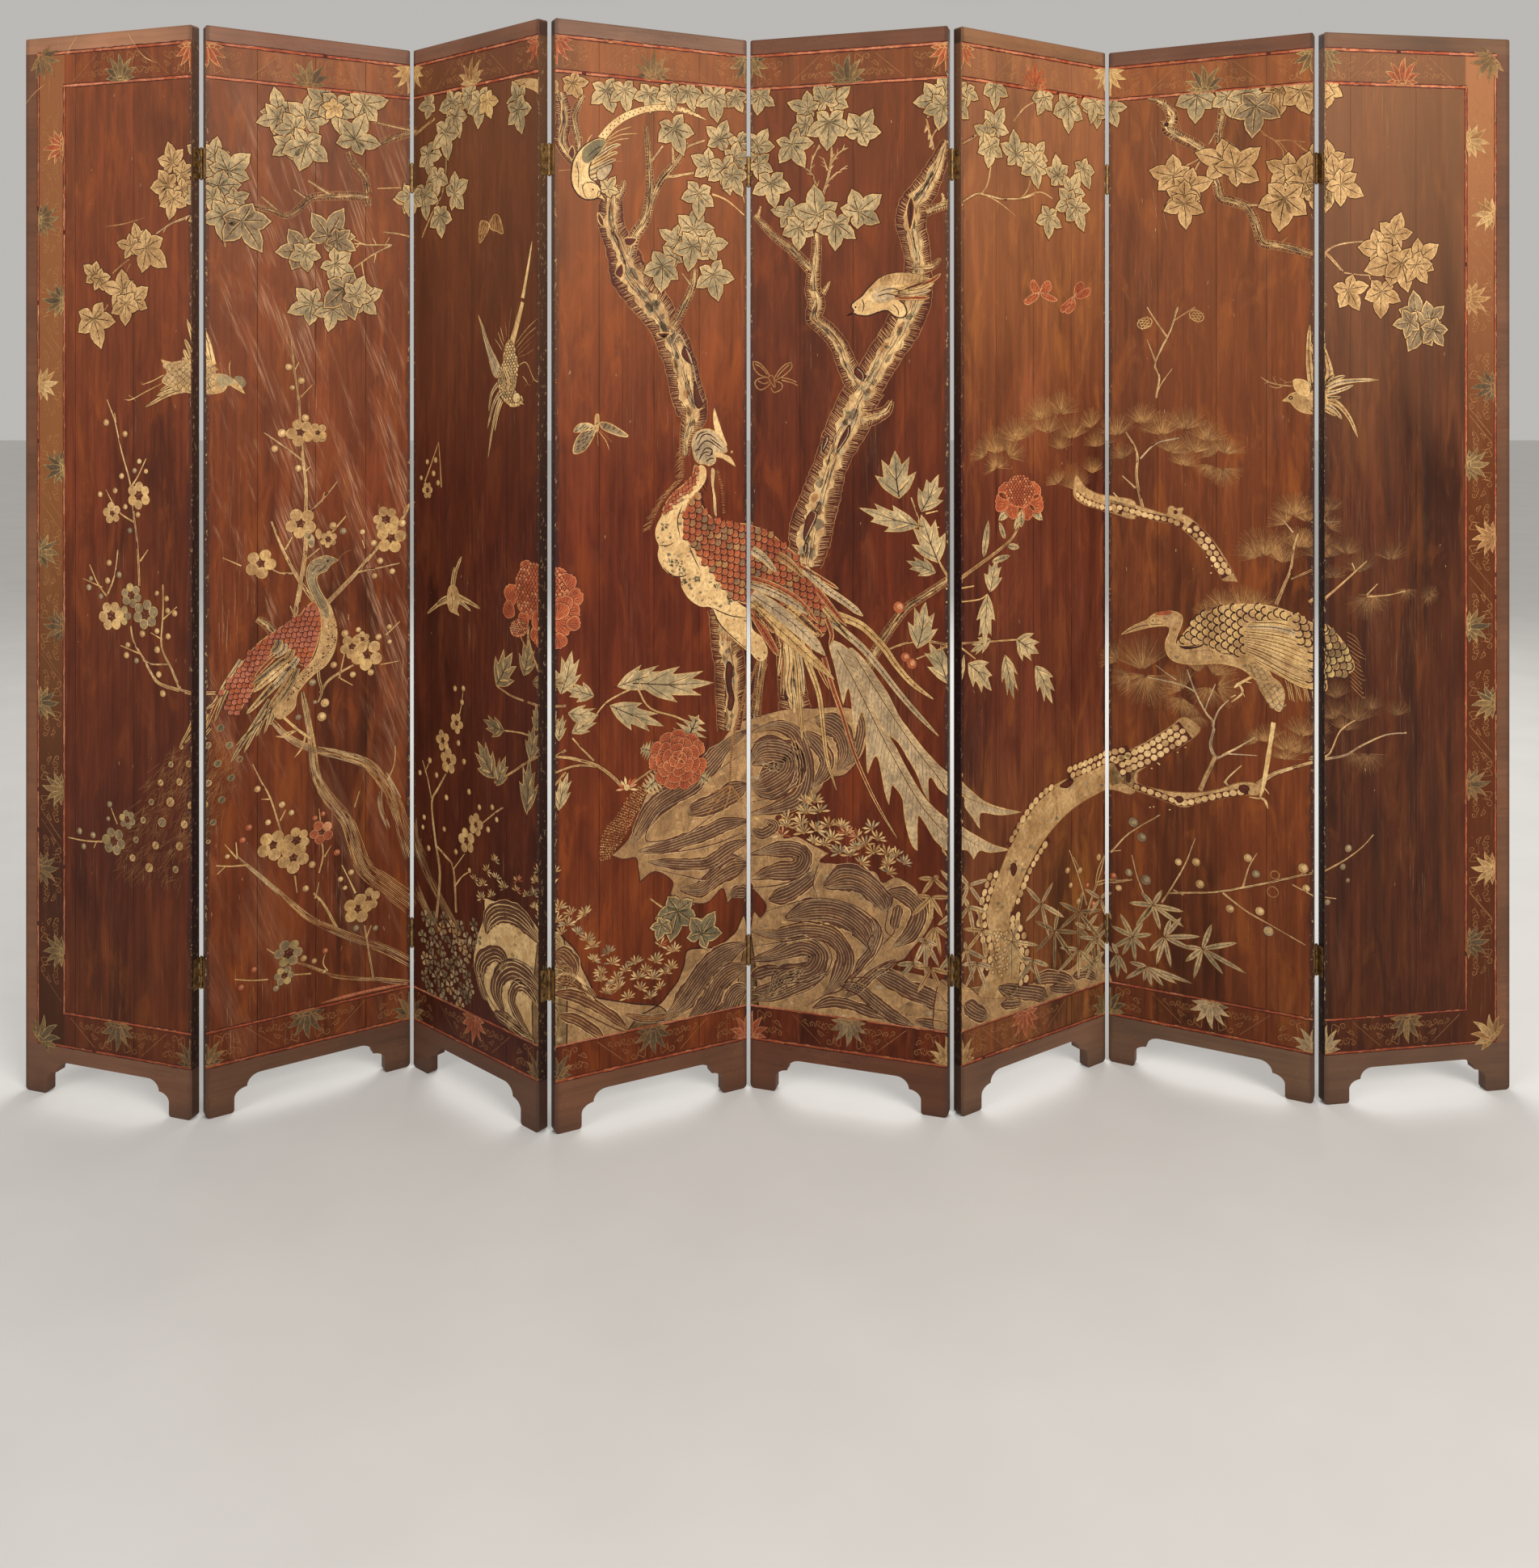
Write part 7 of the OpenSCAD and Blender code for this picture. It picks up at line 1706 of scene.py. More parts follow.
buds(g13, 2.78, [(173, 715, 17, "dull"), (202, 767, 16, "dull"), (328, 852, 12), (389, 852, 14), (402, 928, 15), (567, 838, 14), (595, 893, 14, "dull"), (757, 873, 17), (767, 942, 13), (505, 1013, 14), (608, 1021, 15), (638, 1090, 17, "olive"),
                 (215, 914, 18, "dull"), (158, 888, 13, "dull"), (122, 940, 11), (105, 903, 12), (53, 835, 9, "coral"), (38, 997, 10, "coral"), (912, 805, 13, "dull"), (893, 868, 11, "dull"), (840, 990, 11, "dull"), (910, 915, 8, "dull")], 0.30)
for c0, r in (((660, 897), 14), ((652, 955), 18)):
    (p,) = g13(c0)
    c = m(*p)
    rr = r / 2.78 * mm(p[0])
    stroke([(c[0] + rr * math.cos(t * math.tau / 16), c[1] + rr * math.sin(t * math.tau / 16)) for t in range(16)], 1.6, "ochre", 0.30, taper="none", closed=True)


def bamboo(g, node, tips, k, lift, w=9, col="moss", reach=1.0):
    for t in tips:
        t = (node[0] + (t[0] - node[0]) * reach, node[1] + (t[1] - node[1]) * reach + (22 if reach > 1 else 0))
        a, b = g(node, t)
        pa, pb = m(*a), m(*b)
        d = math.degrees(math.atan2(pb[1] - pa[1], pb[0] - pa[0]))
        simple_leaf(pa, math.hypot(pb[0] - pa[0], pb[1] - pa[1]), w, d, lift + 0.012 * rnd.randint(0, 8), col, "ochre" if rnd.random() < 0.6 else "gold", "dark", 0, 0)


for node, tips in (((240, 1000), ((200, 955), (158, 992), (182, 1072), (265, 1084), (344, 1022), (348, 1076), (272, 948), (210, 1045))), ((170, 1108), ((128, 1030), (98, 1072), (98, 1150), (135, 1172), (180, 1194), (216, 1155), (238, 1100), (205, 1060))),
                   ((280, 1110), ((338, 1042), (402, 1108), (302, 1214), (252, 1204), (228, 1160), (378, 1155), (300, 1050))), ((410, 1150), ((442, 1066), (530, 1130), (562, 1236), (482, 1238), (380, 1254), (335, 1142), (352, 1194))),
                   ((220, 1212), ((160, 1196), (145, 1254), (236, 1280), (276, 1278), (322, 1270), (376, 1270), (208, 1262), (180, 1225))), ((120, 1170), ((92, 1215), (118, 1250), (150, 1235), (100, 1130))),
                   ((30, 1120), ((-20, 1080), (70, 1060), (72, 1130), (40, 1200), (-10, 1190))), ((40, 1190), ((72, 1160), (76, 1215), (50, 1262), (5, 1262), (-10, 1230))), ((10, 1080), ((50, 1030), (60, 1080), (-30, 1060)))):
    bamboo(g13, node, tips, 2.78, 0.34, 11, rnd.choice(("olive", "moss", "silver")))

# leaf clusters of panels 7 and 8
leaves(g5, 2.83, [(18, 382, 60, -95), (68, 382, 52, -70)], 0.40)
bough(g5((200, 345), (250, 362), (278, 395), (285, 420), (268, 450), (310, 480), (360, 505), (415, 540)), [6, 12, 18, 20, 22, 20, 18, 14], 0.30, "cream", "gold", "dark", 0.6)
bough(g5((285, 440), (262, 438), (244, 426)), [14, 8, 2], 0.31, "tan", "gold", "dark", 0)
dot(m(*g5((264, 436))[0]), 5.0, "dark", 0.5, 8)
bough(g5((415, 590), (440, 640), (452, 690), (490, 705), (545, 725), (575, 780), (598, 848), (640, 858), (700, 870), (775, 892)), [14, 14, 15, 15, 13, 14, 14, 13, 13, 9], 0.30, "tan", "gold", "dark", 1.3)
bough(g5((462, 360), (456, 420), (446, 470), (450, 520)), [13, 12, 11, 9], 0.31, "tan", "gold", "dark", 1.0)
leaves(g5, 2.83, [(370, 345, 74, -92), (480, 345, 58, -85), (545, 330, 60, -100)], 0.40)
leaves(g5, 2.83, [(660, 325, 70, -85), (738, 325, 72, -75)], 0.40, body="tan")
leaves(g5, 2.83, [(575, 382, 78, -98)], 0.60, body="dull")
leaves(g5, 2.83, [(460, 562, 74, 160), (512, 580, 80, 40)], 0.40, body="tan")
leaves(g5, 2.83, [(282, 612, 66, 160), (345, 655, 64, 10), (320, 690, 62, -140), (325, 722, 62, -92)], 0.40, body="tan")
leaves(g5, 2.83, [(680, 600, 66, 150), (742, 620, 76, 70), (755, 650, 74, -60), (675, 705, 84, -100)], 0.40, body="tan")
leaves(g5, 2.83, [(830, 565, 62, 92), (860, 610, 70, 40), (830, 660, 64, -95), (880, 650, 66, -30)], 0.40, body="tan")
leaves(g5, 2.83, [(832, 315, 56, -92)], 0.40, body="gold", vein="dull")
for pts, w0, w1 in ((((510, 520), (480, 495), (460, 488)), 2, 5), (((412, 505), (436, 465)), 2, 5), (((330, 582), (370, 562), (390, 545)), 2, 5), (((352, 632), (372, 580), (388, 550)), 3, 6), (((545, 718), (606, 718)), 7, 5),
                    (((665, 850), (690, 830)), 3, 1), (((590, 455), (640, 490), (700, 492), (740, 520), (785, 548)), 1.5, 3), (((640, 490), (670, 525), (672, 560)), 2, 1), (((700, 492), (750, 498)), 2, 1), (((735, 520), (732, 500)), 1, 1),
                    (((600, 470), (660, 500), (690, 540), (706, 565)), 1, 1)):
    twig(g5(*pts), w0, w1, 0.28, "tan" if w1 > 4 else "ochre", thorns=0)
leaves(g5, 2.83, [(1060, 815, 62, 75), (1005, 872, 66, 175), (1050, 920, 80, -160), (1150, 905, 66, 30), (1088, 930, 76, -75), (1140, 935, 58, -60)], 0.40, body="tan")
leaves(g5, 2.83, [(905, 1022, 66, -60)], 0.40, body="tan")
leaves(g5, 2.83, [(1015, 1030, 66, -95)], 0.40, body="tan")
leaves(g5, 2.83, [(1140, 1100, 62, 95), (1190, 1120, 60, 40), (1150, 1150, 74, -120), (1200, 1160, 54, -60), (1110, 1130, 50, 190)], 0.40, body="dull", rim="gold")
for pts, w0, w1 in ((((815, 888), (850, 862), (900, 850), (955, 845)), 5, 2), (((820, 885), (850, 915), (880, 950)), 8, 5), (((885, 955), (940, 962), (1000, 965)), 2, 1), (((965, 945), (980, 985)), 1, 1)):
    twig(g5(*pts), w0, w1, 0.28, "bark", thorns=0)
for i in range(26):
    x = 205 + rnd.random() * 110
    y = 400 + rnd.random() * 330
    (a, b) = g5((x, y), (x + 6 + rnd.random() * 14, y + 40 + rnd.random() * 60))
    stroke([m(*a), m(*b)], 0.9, "wear", 0.22, wobble=0.6)

# -- the lower plants of panels 3 to 6

# diving bird of panel 3
V = 0.42
left = shape(g7((365, 30, 1), (388, 85), (410, 150), (440, 210), (455, 250), (445, 285), (425, 270), (405, 200), (392, 150), (380, 90)), "silver", V, "gold", 1.1)
for pts in (((376, 70), (400, 150), (430, 230), (444, 268)), ((385, 80), (412, 165), (446, 250)), ((372, 62), (394, 160), (420, 250))):
    line(g7(*pts), 1.0, "dark", V + 0.05)
feather(g7((500, 150), (522, 70), (545, -20)), 15, 9, V, "cream", "gold", "dark", 0, shaft=False, pointed=False)
feather(g3((545, 1205), (565, 1090), (583, 975)), 9, 2, V, "cream", "gold", "dark", 0, shaft=False)
for pts in (((515, 150), (560, 90), (605, 45)), ((520, 165), (560, 115), (600, 80)), ((525, 180), (560, 140), (595, 110)), ((480, 120), (478, 90), (475, 60)), ((470, 140), (462, 110), (455, 80)),
            ((468, 160), (456, 130), (445, 100)), ((462, 175), (448, 150), (432, 128)), ((528, 192), (556, 165), (582, 140)), ((500, 140), (515, 60), (528, -20)), ((488, 135), (492, 70), (500, 0)), ((530, 200), (560, 190), (590, 170))):
    line(g7(*pts), 1.1, rnd.choice(("gold", "cream", "ochre")), V)
bird3 = shape(g7((485, 140), (510, 150), (515, 190), (525, 230), (520, 290), (515, 340), (545, 370), (536, 392), (510, 402), (490, 395), (468, 370), (450, 330), (448, 270), (465, 230), (470, 180)), "tan", V + 0.06, "gold", 1.4)
scale_arcs(bird3, 8.5, 95, V + 0.08, "gold", None, "dark", fills=("tan", "cream", "olive", "gold"))
for pts, w0, w1, bd in ((((455, 250), (470, 300), (462, 352)), 9, 5, "silver"), (((470, 245), (488, 300), (484, 350)), 9, 5, "cream"), (((488, 240), (505, 290), (504, 345)), 8, 4, "olive")):
    feather(g7(*pts), w0, w1, V + 0.11, bd, "gold", "dark", 4)
dot(m(*g7((520, 366))[0]), 26 / 3.267 * mm(640), "dark", V + 0.10, 12, 0.86)
dot(m(*g7((520, 366))[0]), 23 / 3.267 * mm(640), "cream", V + 0.12, 12, 0.86)
blotches([(m(*g7((520, 366))[0])[0] + 10 * math.cos(t), m(*g7((520, 366))[0])[1] + 9 * math.sin(t)) for t in [i * 0.5 for i in range(12)]], 8, ("dull", "olive"), V + 0.14, 0.8, 1.8)
dot(m(*g7((527, 372))[0]), 1.6, "dark", V + 0.16, 7)
shape(g7((538, 376), (552, 396, 1), (530, 390)), "gold", V + 0.12, "dark", 0.8)
for pts in (((530, 235), (560, 225), (590, 290), (615, 305)), ((545, 280), (556, 292), (565, 310)), ((604, 300), (616, 292)), ((590, 290), (584, 304)), ((565, 310), (576, 316)), ((565, 310), (556, 320))):
    line(g7(*pts), 1.5, "gold", V)
for pts, w0, w1, bd in ((((445, 310), (420, 350), (408, 420)), 9, 3, "silver"), (((450, 350), (425, 400), (403, 490)), 9, 2, "silver"), (((455, 370), (430, 450), (405, 610)), 8, 2, "silver"), (((462, 380), (445, 430), (432, 500)), 6, 2, "gold")):
    feather(g7(*pts), w0, w1, V + 0.02, bd, "gold", "dark", 0)
# small bird of panel 3
for pts, w0, w1, bd in ((((262, 1140), (275, 1070), (298, 1008)), 12, 4, "tan"), (((258, 1140), (262, 1090), (270, 1050)), 8, 3, "silver"), (((245, 1180), (205, 1200), (160, 1238)), 14, 3, "tan"), (((280, 1170), (325, 1190), (372, 1218)), 14, 3, "tan"),
                        (((248, 1170), (215, 1185), (190, 1215)), 8, 3, "silver"), (((280, 1185), (310, 1205), (335, 1228)), 8, 3, "silver")):
    feather(g7(*pts), w0, w1, V, bd, "gold", "dark", 0)
shape(g7((250, 1130), (270, 1125), (284, 1150), (288, 1190), (280, 1225), (288, 1246, 1), (268, 1236), (250, 1225), (240, 1190), (242, 1155)), "tan", V + 0.06, "gold", 1.4)
for pts in (((255, 1150), (262, 1190), (258, 1220)), ((270, 1145), (275, 1190))):
    line(g7(*pts), 1.2, "dark", V + 0.1)

# plum shrub, trunks and plants at the left of panel 3
blossoms(g7, 3.267, [(160, 740, 34)], 0.34)
buds(g7, 3.267, [(193, 618, 12), (160, 625, 11), (185, 672, 12), (203, 710, 12), (135, 690, 10)], 0.32)
twig(g7((205, 545), (180, 620), (150, 705)), 1, 4, 0.26, "gold")
twig(g7((205, 545), (212, 640), (216, 728)), 1, 4, 0.26, "gold")
for pts, w0, w1 in ((((195, 1235), (210, 1050), (190, 900), (178, 760), (205, 700), (235, 645)), 11, 3), (((140, 590), (160, 660), (176, 742)), 2, 5), (((276, 1205), (265, 1030), (235, 980), (198, 938)), 8, 5), (((265, 1030), (310, 968)), 4, 2),
                    (((385, 842), (430, 805), (466, 780)), 2, 5), (((305, 300), (295, 380), (280, 430)), 1, 4), (((240, 640), (236, 560), (222, 500)), 4, 2), (((330, 1040), (300, 1060), (270, 1100)), 2, 4), (((170, 590), (150, 640)), 1, 2)):
    twig(g9(*pts), w0, w1, 0.27, "bark" if w0 > 4 else "gold", thorns=0)
blossoms(g9, 3.267, [(278, 440, 40), (222, 510, 42), (245, 592, 50), (355, 850, 44), (318, 916, 50)], 0.36)
buds(g9, 3.267, [(305, 300, 12), (272, 300, 12), (300, 355, 12), (285, 520, 12), (308, 595, 12), (170, 590, 12), (197, 650, 12), (130, 640, 11), (237, 740, 12), (328, 717, 12), (370, 780, 12), (422, 780, 12), (440, 830, 11), (405, 870, 12),
                 (228, 868, 11), (147, 820, 11), (142, 860, 10), (165, 945, 12), (275, 960, 12), (330, 1035, 11)], 0.34)
for pts, w0, w1, n in ((((108, 900), (140, 1000), (200, 1130), (290, 1290)), 26, 22, 8), (((108, 1080), (150, 1180), (215, 1300)), 22, 20, 7), (((110, 820), (118, 900), (150, 980)), 12, 14, 5)):
    streaks(g9(*pts), (w0, w1), 0.26, n, ("dull", "silver", "ochre", "tan"), 1.3)
for px, py, r, col in ((432, 1000, 26, "gold"), (400, 1040, 26, "gold"), (437, 1070, 28, "gold"), (525, 1080, 24, "coral"), (385, 1095, 24, "gold"), (520, 1120, 22, "coral"), (600, 1085, 26, "gold"), (590, 1135, 26, "silver"), (380, 1150, 26, "gold"),
                       (595, 1190, 26, "gold"), (470, 1110, 26, "gold"), (350, 1075, 24, "gold"), (560, 1140, 22, "gold"), (420, 1140, 22, "gold"), (610, 1040, 24, "gold")):
    (p,) = g9((px, py))
    star(p[0], p[1], r / 3.267, 0.44, col)
for row in range(10):
    for q in range(6):
        x, y = 146 + (q + 0.5 * (row % 2)) * 43 + jit(8), 1222 + row * 41 + jit(8)
        if (y > 1390 and x > 332) or x > 366 or (row < 1 and q > 2):
            continue
        (p,) = g9((x, y))
        turn, tone = rnd.random() * 70, rnd.choice(("moss", "moss", "olive", "dull", "tan"))
        for i in range(5):
            wedge_leaf(p[0], p[1], (27 + rnd.random() * 5) / 3.267, turn + i * 72 + jit(8), 0.32 + 0.006 * ((row + q) % 3), tone if rnd.random() < 0.8 else "silver")


def lobed(g, k, rows, lift, body="tan"):
    for i, r in enumerate(rows):
        (p,) = g((r[0], r[1]))
        s = mm(p[0]) / k
        lobed_leaf(m(*p), r[2] * s, r[3] * s, r[4], lift + 0.04 * (i % 3), body, "gold", "dark")


def sprays(g, k, rows, lift, body="olive", serrate=1):
    for i, r in enumerate(rows):
        (p,) = g((r[0], r[1]))
        s = mm(p[0]) / k
        simple_leaf(m(*p), r[2] * s, r[3] * s, r[4], lift + 0.03 * (i % 3), body, "gold", "dark", serrate, 4)


# peonies on panels 3 and 4
for pts, w0, w1 in ((((568, 1290), (566, 1380), (575, 1470)), 8, 8), (((527, 1310), (545, 1350), (566, 1385)), 3, 5)):
    twig(g7(*pts), w0, w1, 0.30, "tan", thorns=0)
def rose_petal(g, k, px, py, r, ang, lift, tone="rose"):
    """One wide scalloped petal of a full-blown flower, veined from its root."""
    (p,) = g((px, py))
    s = r * mm(p[0]) / k
    f = frame2(m(*p), ang, s * 0.94, s)
    pts = [(-0.22, -0.8), (-0.78, -0.30), (-1.0, 0.22), (-0.84, 0.68), (-0.44, 0.92), (-0.26, 0.84, 1), (0.0, 1.0), (0.24, 0.86, 1), (0.46, 0.92), (0.86, 0.64), (1.0, 0.18), (0.76, -0.30), (0.22, -0.8)]
    out = smooth([f(q[0] * (1 + jit(0.06)), q[1] * (1 + jit(0.06))) + q[2:] for q in pts], 3, True)
    stroke(out, 3.0, "dark", lift - 0.004, closed=True)
    fill(out, tone, lift)
    stroke(out, 1.3, "rose_light", lift + 0.03, closed=True, wobble=0.5)
    for q in (-0.66, -0.34, 0.0, 0.34, 0.66):
        stroke([f(q * 0.3, -0.5), f(q * 0.9, 0.15), f(q * 1.1, 0.66 - abs(q) * 0.3)], 0.9, "maroon", lift + 0.02, taper="both")
        stroke([f(q * 0.6 + 0.12, -0.1), f(q * 1.0 + 0.14, 0.5 - abs(q) * 0.2)], 0.8, "rose_light", lift + 0.024, taper="both")


def globe(g, k, px, py, rx, ry, lift, size, tones):
    """The closed heart of a flower: small petals laid over one another like scales."""
    pts = [(px + rx * (1 + jit(0.07)) * math.cos(math.radians(a)), py + ry * (1 + jit(0.07)) * math.sin(math.radians(a))) for a in range(0, 360, 24)]
    out = shape(g(*pts), tones[0], lift, "rose_light", 1.4)
    scale_arcs(out, size, 90, lift + 0.02, "rose_light", None, "maroon", fills=tones)


for px, py, r, a in ((500, 1165, 46, 110), (492, 1225, 40, 150), (605, 1320, 44, 250), (632, 1200, 44, 20), (560, 1060, 38, 95), (622, 1090, 34, 60)):
    rose_petal(g7, 3.267, px, py, r, a, 0.40)
globe(g7, 3.267, 578, 1148, 62, 110, 0.46, 9.5, ("rose", "coral", "rose", "rose_light"))
for px, py, r, a in ((604, 1262, 44, 300), (552, 1262, 36, 220)):
    rose_petal(g7, 3.267, px, py, r, a, 0.54)
globe(g7, 3.267, 528, 1298, 34, 34, 0.52, 6.5, ("coral_light", "coral", "rose_light"))
for i, (px, py, r, a) in enumerate(((690, 1110, 35, 80), (722, 1118, 40, 60), (752, 1175, 38, 20), (742, 1230, 36, 0), (705, 1285, 45, -30), (746, 1278, 32, 0), (690, 1345, 36, -80), (712, 1205, 40, 90), (695, 1232, 38, 60))):
    rose_petal(g7, 3.267, px, py, r, a, 0.42 + 0.045 * i)
(p,) = g7((527, 1300))
bud(m(*p), 24 / 3.267 * mm(p[0]), 0.46, "coral")
(p,) = g9((1172, 588))
sprays(g9, 3.267, [(1180, 560, 165, 90, 60), (1120, 640, 110, 60, 215), (1235, 630, 90, 50, -40), (1090, 560, 80, 46, 160)], 0.42, "olive")
for ring, count, r, up in ((88, 11, 34, 0.0), (62, 9, 32, 0.10), (38, 6, 30, 0.20), (14, 4, 24, 0.28)):
    for i in range(count):
        a = 360 * i / count + ring + jit(8)
        rose_petal(g9, 3.267, 1172 + ring * math.cos(math.radians(a)), 588 - ring * math.sin(math.radians(a)), r, a, 0.52 + up + 0.005 * i, rnd.choice(("rose", "rose", "coral")))
lobed(g9, 3.267, [(440, 285, 150, 140, 55), (550, 245, 125, 105, 75), (588, 275, 70, 60, 0), (600, 470, 90, 60, 90), (468, 470, 115, 85, 170), (430, 660, 145, 130, 130), (440, 690, 120, 90, 65), (575, 590, 130, 85, 80), (560, 800, 200, 110, 85)], 0.40, "moss")
for pts, w0, w1 in ((((430, 680), (500, 640), (560, 600), (640, 560)), 5, 7), (((440, 290), (500, 330), (580, 360), (640, 380)), 4, 7), (((560, 810), (590, 720), (640, 650)), 4, 6), (((470, 470), (540, 480), (600, 500)), 3, 5),
                    (((945, 695), (900, 650), (840, 610), (740, 582), (670, 575)), 8, 6), (((745, 500), (790, 550), (832, 592)), 3, 5), (((670, 642), (760, 612), (842, 615)), 4, 6), (((830, 422), (890, 350), (1010, 290)), 3, 5),
                    (((965, 700), (1050, 640), (1110, 600)), 4, 6), (((1250, 470), (1180, 420), (1060, 380), (1010, 300)), 3, 5), (((568, 0), (566, 80), (590, 180), (640, 300)), 8, 7)):
    twig(g9(*pts), w0, w1, 0.30, "gold", thorns=0)
lobed(g9, 3.267, [(700, 320, 150, 110, 75), (830, 330, 110, 80, 160), (730, 400, 110, 80, -10), (690, 510, 90, 50, 80), (745, 480, 110, 70, 30), (690, 790, 130, 70, 75)], 0.40, "olive")
lobed(g9, 3.267, [(930, 290, 190, 100, 10), (1020, 280, 280, 140, -5), (900, 370, 220, 110, -25)], 0.40, "olive")
f = frame2(m(*g9((965, 705))[0]), 90, 38 / 3.267 * mm(g9((965, 705))[0][0]))
star(*g9((965, 705))[0], 38 / 3.267, 0.46, "coral", 6, 1.2)
dot(m(*g9((965, 700))[0]), 6, "cream", 0.5)

# star plants and ivy of panel 4
for px, py, r, col in ((690, 1190, 30, "tan"), (680, 1240, 30, "tan"), (795, 1215, 30, "tan"), (725, 1255, 30, "tan"), (765, 1290, 28, "silver"), (805, 1320, 28, "tan"), (825, 1345, 28, "tan"), (890, 1370, 30, "silver"), (830, 1400, 26, "tan"),
                       (905, 1410, 28, "tan"), (860, 1450, 26, "tan"), (1000, 1410, 30, "tan"), (1080, 1405, 30, "tan"), (1100, 1340, 28, "coral"), (1155, 1360, 28, "tan"), (925, 1475, 28, "tan"), (860, 1480, 24, "tan"), (1010, 1470, 30, "tan"),
                       (1070, 1470, 28, "tan"), (1145, 1430, 28, "tan"), (935, 1510, 26, "tan"), (1020, 1515, 28, "tan"), (1100, 1510, 26, "tan"), (880, 1530, 26, "tan"), (970, 1550, 26, "tan"), (1060, 1550, 26, "tan"), (740, 1210, 26, "tan"),
                       (960, 1440, 24, "gold"), (1040, 1440, 24, "gold"), (1120, 1450, 24, "gold"), (900, 1500, 22, "gold"), (700, 1290, 24, "tan")):
    (p,) = g9((px, py))
    star(p[0], p[1], r / 3.267, 0.46, "gold" if col == "tan" else col, 7)
    dot(m(*p), 3, "ochre", 0.5)
maples([(480 + 1168 / 3.267, 760 + 1212 / 3.267, 29, -104), (480 + 1272 / 3.267, 760 + 1282 / 3.267, 23, 58), (480 + 1105 / 3.267, 760 + 1262 / 3.267, 15, -112)], 0.44, "green")
twig(g9((1060, 1150), (1120, 1190), (1200, 1220), (1320, 1240)), 3, 3, 0.42, "gold")
# star plants of panel 5
for px, py, r, col in ((385, 700, 32, "g"), (355, 740, 32, "g"), (405, 735, 30, "g"), (285, 765, 30, "g"), (335, 780, 30, "g"), (280, 790, 28, "g"), (265, 825, 28, "coral"), (345, 815, 30, "g"), (390, 805, 32, "g"), (440, 790, 32, "g"),
                       (485, 795, 30, "g"), (450, 840, 32, "g"), (505, 820, 28, "coral"), (545, 830, 28, "coral"), (600, 800, 30, "g"), (575, 860, 32, "g"), (520, 900, 30, "g"), (480, 890, 30, "silver"), (605, 890, 30, "g"), (655, 895, 30, "g"),
                       (560, 930, 28, "g"), (660, 935, 28, "g"), (720, 930, 28, "silver"), (660, 965, 26, "g"), (420, 860, 26, "g"), (380, 850, 24, "g"), (620, 840, 28, "g"), (540, 870, 28, "g"), (690, 900, 26, "g"), (350, 700, 24, "g")):
    (p,) = g11((px, py))
    star(p[0], p[1], r / 3.015, 0.80, "gold" if col == "g" else col, 7)
    dot(m(*p), 3, "ochre", 0.84)

# leaves, buds and the peony across panels 5 and 6
for pts, w0, w1 in ((((885, 1015), (850, 1040), (790, 1080), (730, 1120), (680, 1180), (640, 1240), (600, 1310), (570, 1375)), 9, 18),):
    bough(g10(*pts), [w0 + (w1 - w0) * i / (len(pts) - 1) for i in range(len(pts))], 0.34, "tan", "gold", "dark", 1.2)
for pts, w0, w1 in ((((745, 710), (770, 780), (785, 850), (835, 900)), 3, 5), (((850, 950), (870, 985), (890, 1012)), 5, 8), (((650, 1282), (720, 1255), (800, 1245), (890, 1262)), 4, 7), (((765, 1312), (820, 1290), (872, 1268)), 3, 5),
                    (((1160, 770), (1130, 850), (1080, 900), (1000, 960), (925, 1015)), 6, 10), (((925, 1050), (980, 1040)), 4, 3), (((925, 1255), (1000, 1250), (1080, 1245), (1140, 1240)), 6, 4), (((925, 1265), (985, 1312)), 4, 2),
                    (((785, 850), (820, 830), (850, 820)), 3, 2), (((700, 1150), (690, 1120), (700, 1100)), 3, 2), (((620, 770), (700, 800), (770, 820)), 2, 4), (((845, 760), (800, 770)), 2, 3), (((925, 1100), (1000, 1090), (1030, 1070)), 3, 2)):
    twig(g10(*pts), w0, w1, 0.36, "gold", thorns=0)
lobed(g10, 3.015, [(700, 710, 150, 150, 95), (785, 760, 130, 100, 65), (770, 815, 200, 100, 165), (845, 950, 160, 130, 110), (835, 990, 100, 70, 160), (770, 1270, 150, 110, 80), (880, 1400, 140, 100, 115)], 0.42, "olive")
lobed(g10, 3.015, [(1040, 1060, 110, 90, 75), (1030, 1075, 170, 90, -95), (1140, 1240, 110, 110, -30), (960, 1330, 140, 110, -45), (1095, 1300, 150, 80, -75), (1210, 1340, 150, 90, -60), (1040, 1240, 90, 60, 200)], 0.42, "olive")
sprays(g10, 3.015, [(1015, 935, 140, 34, 80), (1095, 865, 70, 24, 115), (1105, 890, 60, 26, -10), (1045, 950, 95, 26, 10), (1130, 830, 90, 30, 60)], 0.42, "olive", 0)
for px, py, s in ((700, 1120, 22), (748, 1330, 20), (725, 1305, 18)):
    (p,) = g10((px, py))
    bud(m(*p), s / 3.015 * mm(p[0]), 0.44, "coral")
(p,) = g10((1155, 705))
sprays(g10, 3.015, [(1120, 745, 80, 40, 215), (1190, 745, 80, 40, -40), (1155, 760, 60, 40, -90)], 0.44, "olive", 0)
for px, py, r, a in ((1088, 728, 40, 170), (1210, 735, 38, 10), (1098, 690, 38, 130), (1200, 690, 38, 50), (1125, 755, 34, 230), (1180, 758, 34, 310)):
    rose_petal(g10, 3.015, px, py, r, a, 0.50)
globe(g10, 3.015, 1150, 688, 52, 60, 0.56, 8, ("rose", "coral", "rose", "rose_light"))

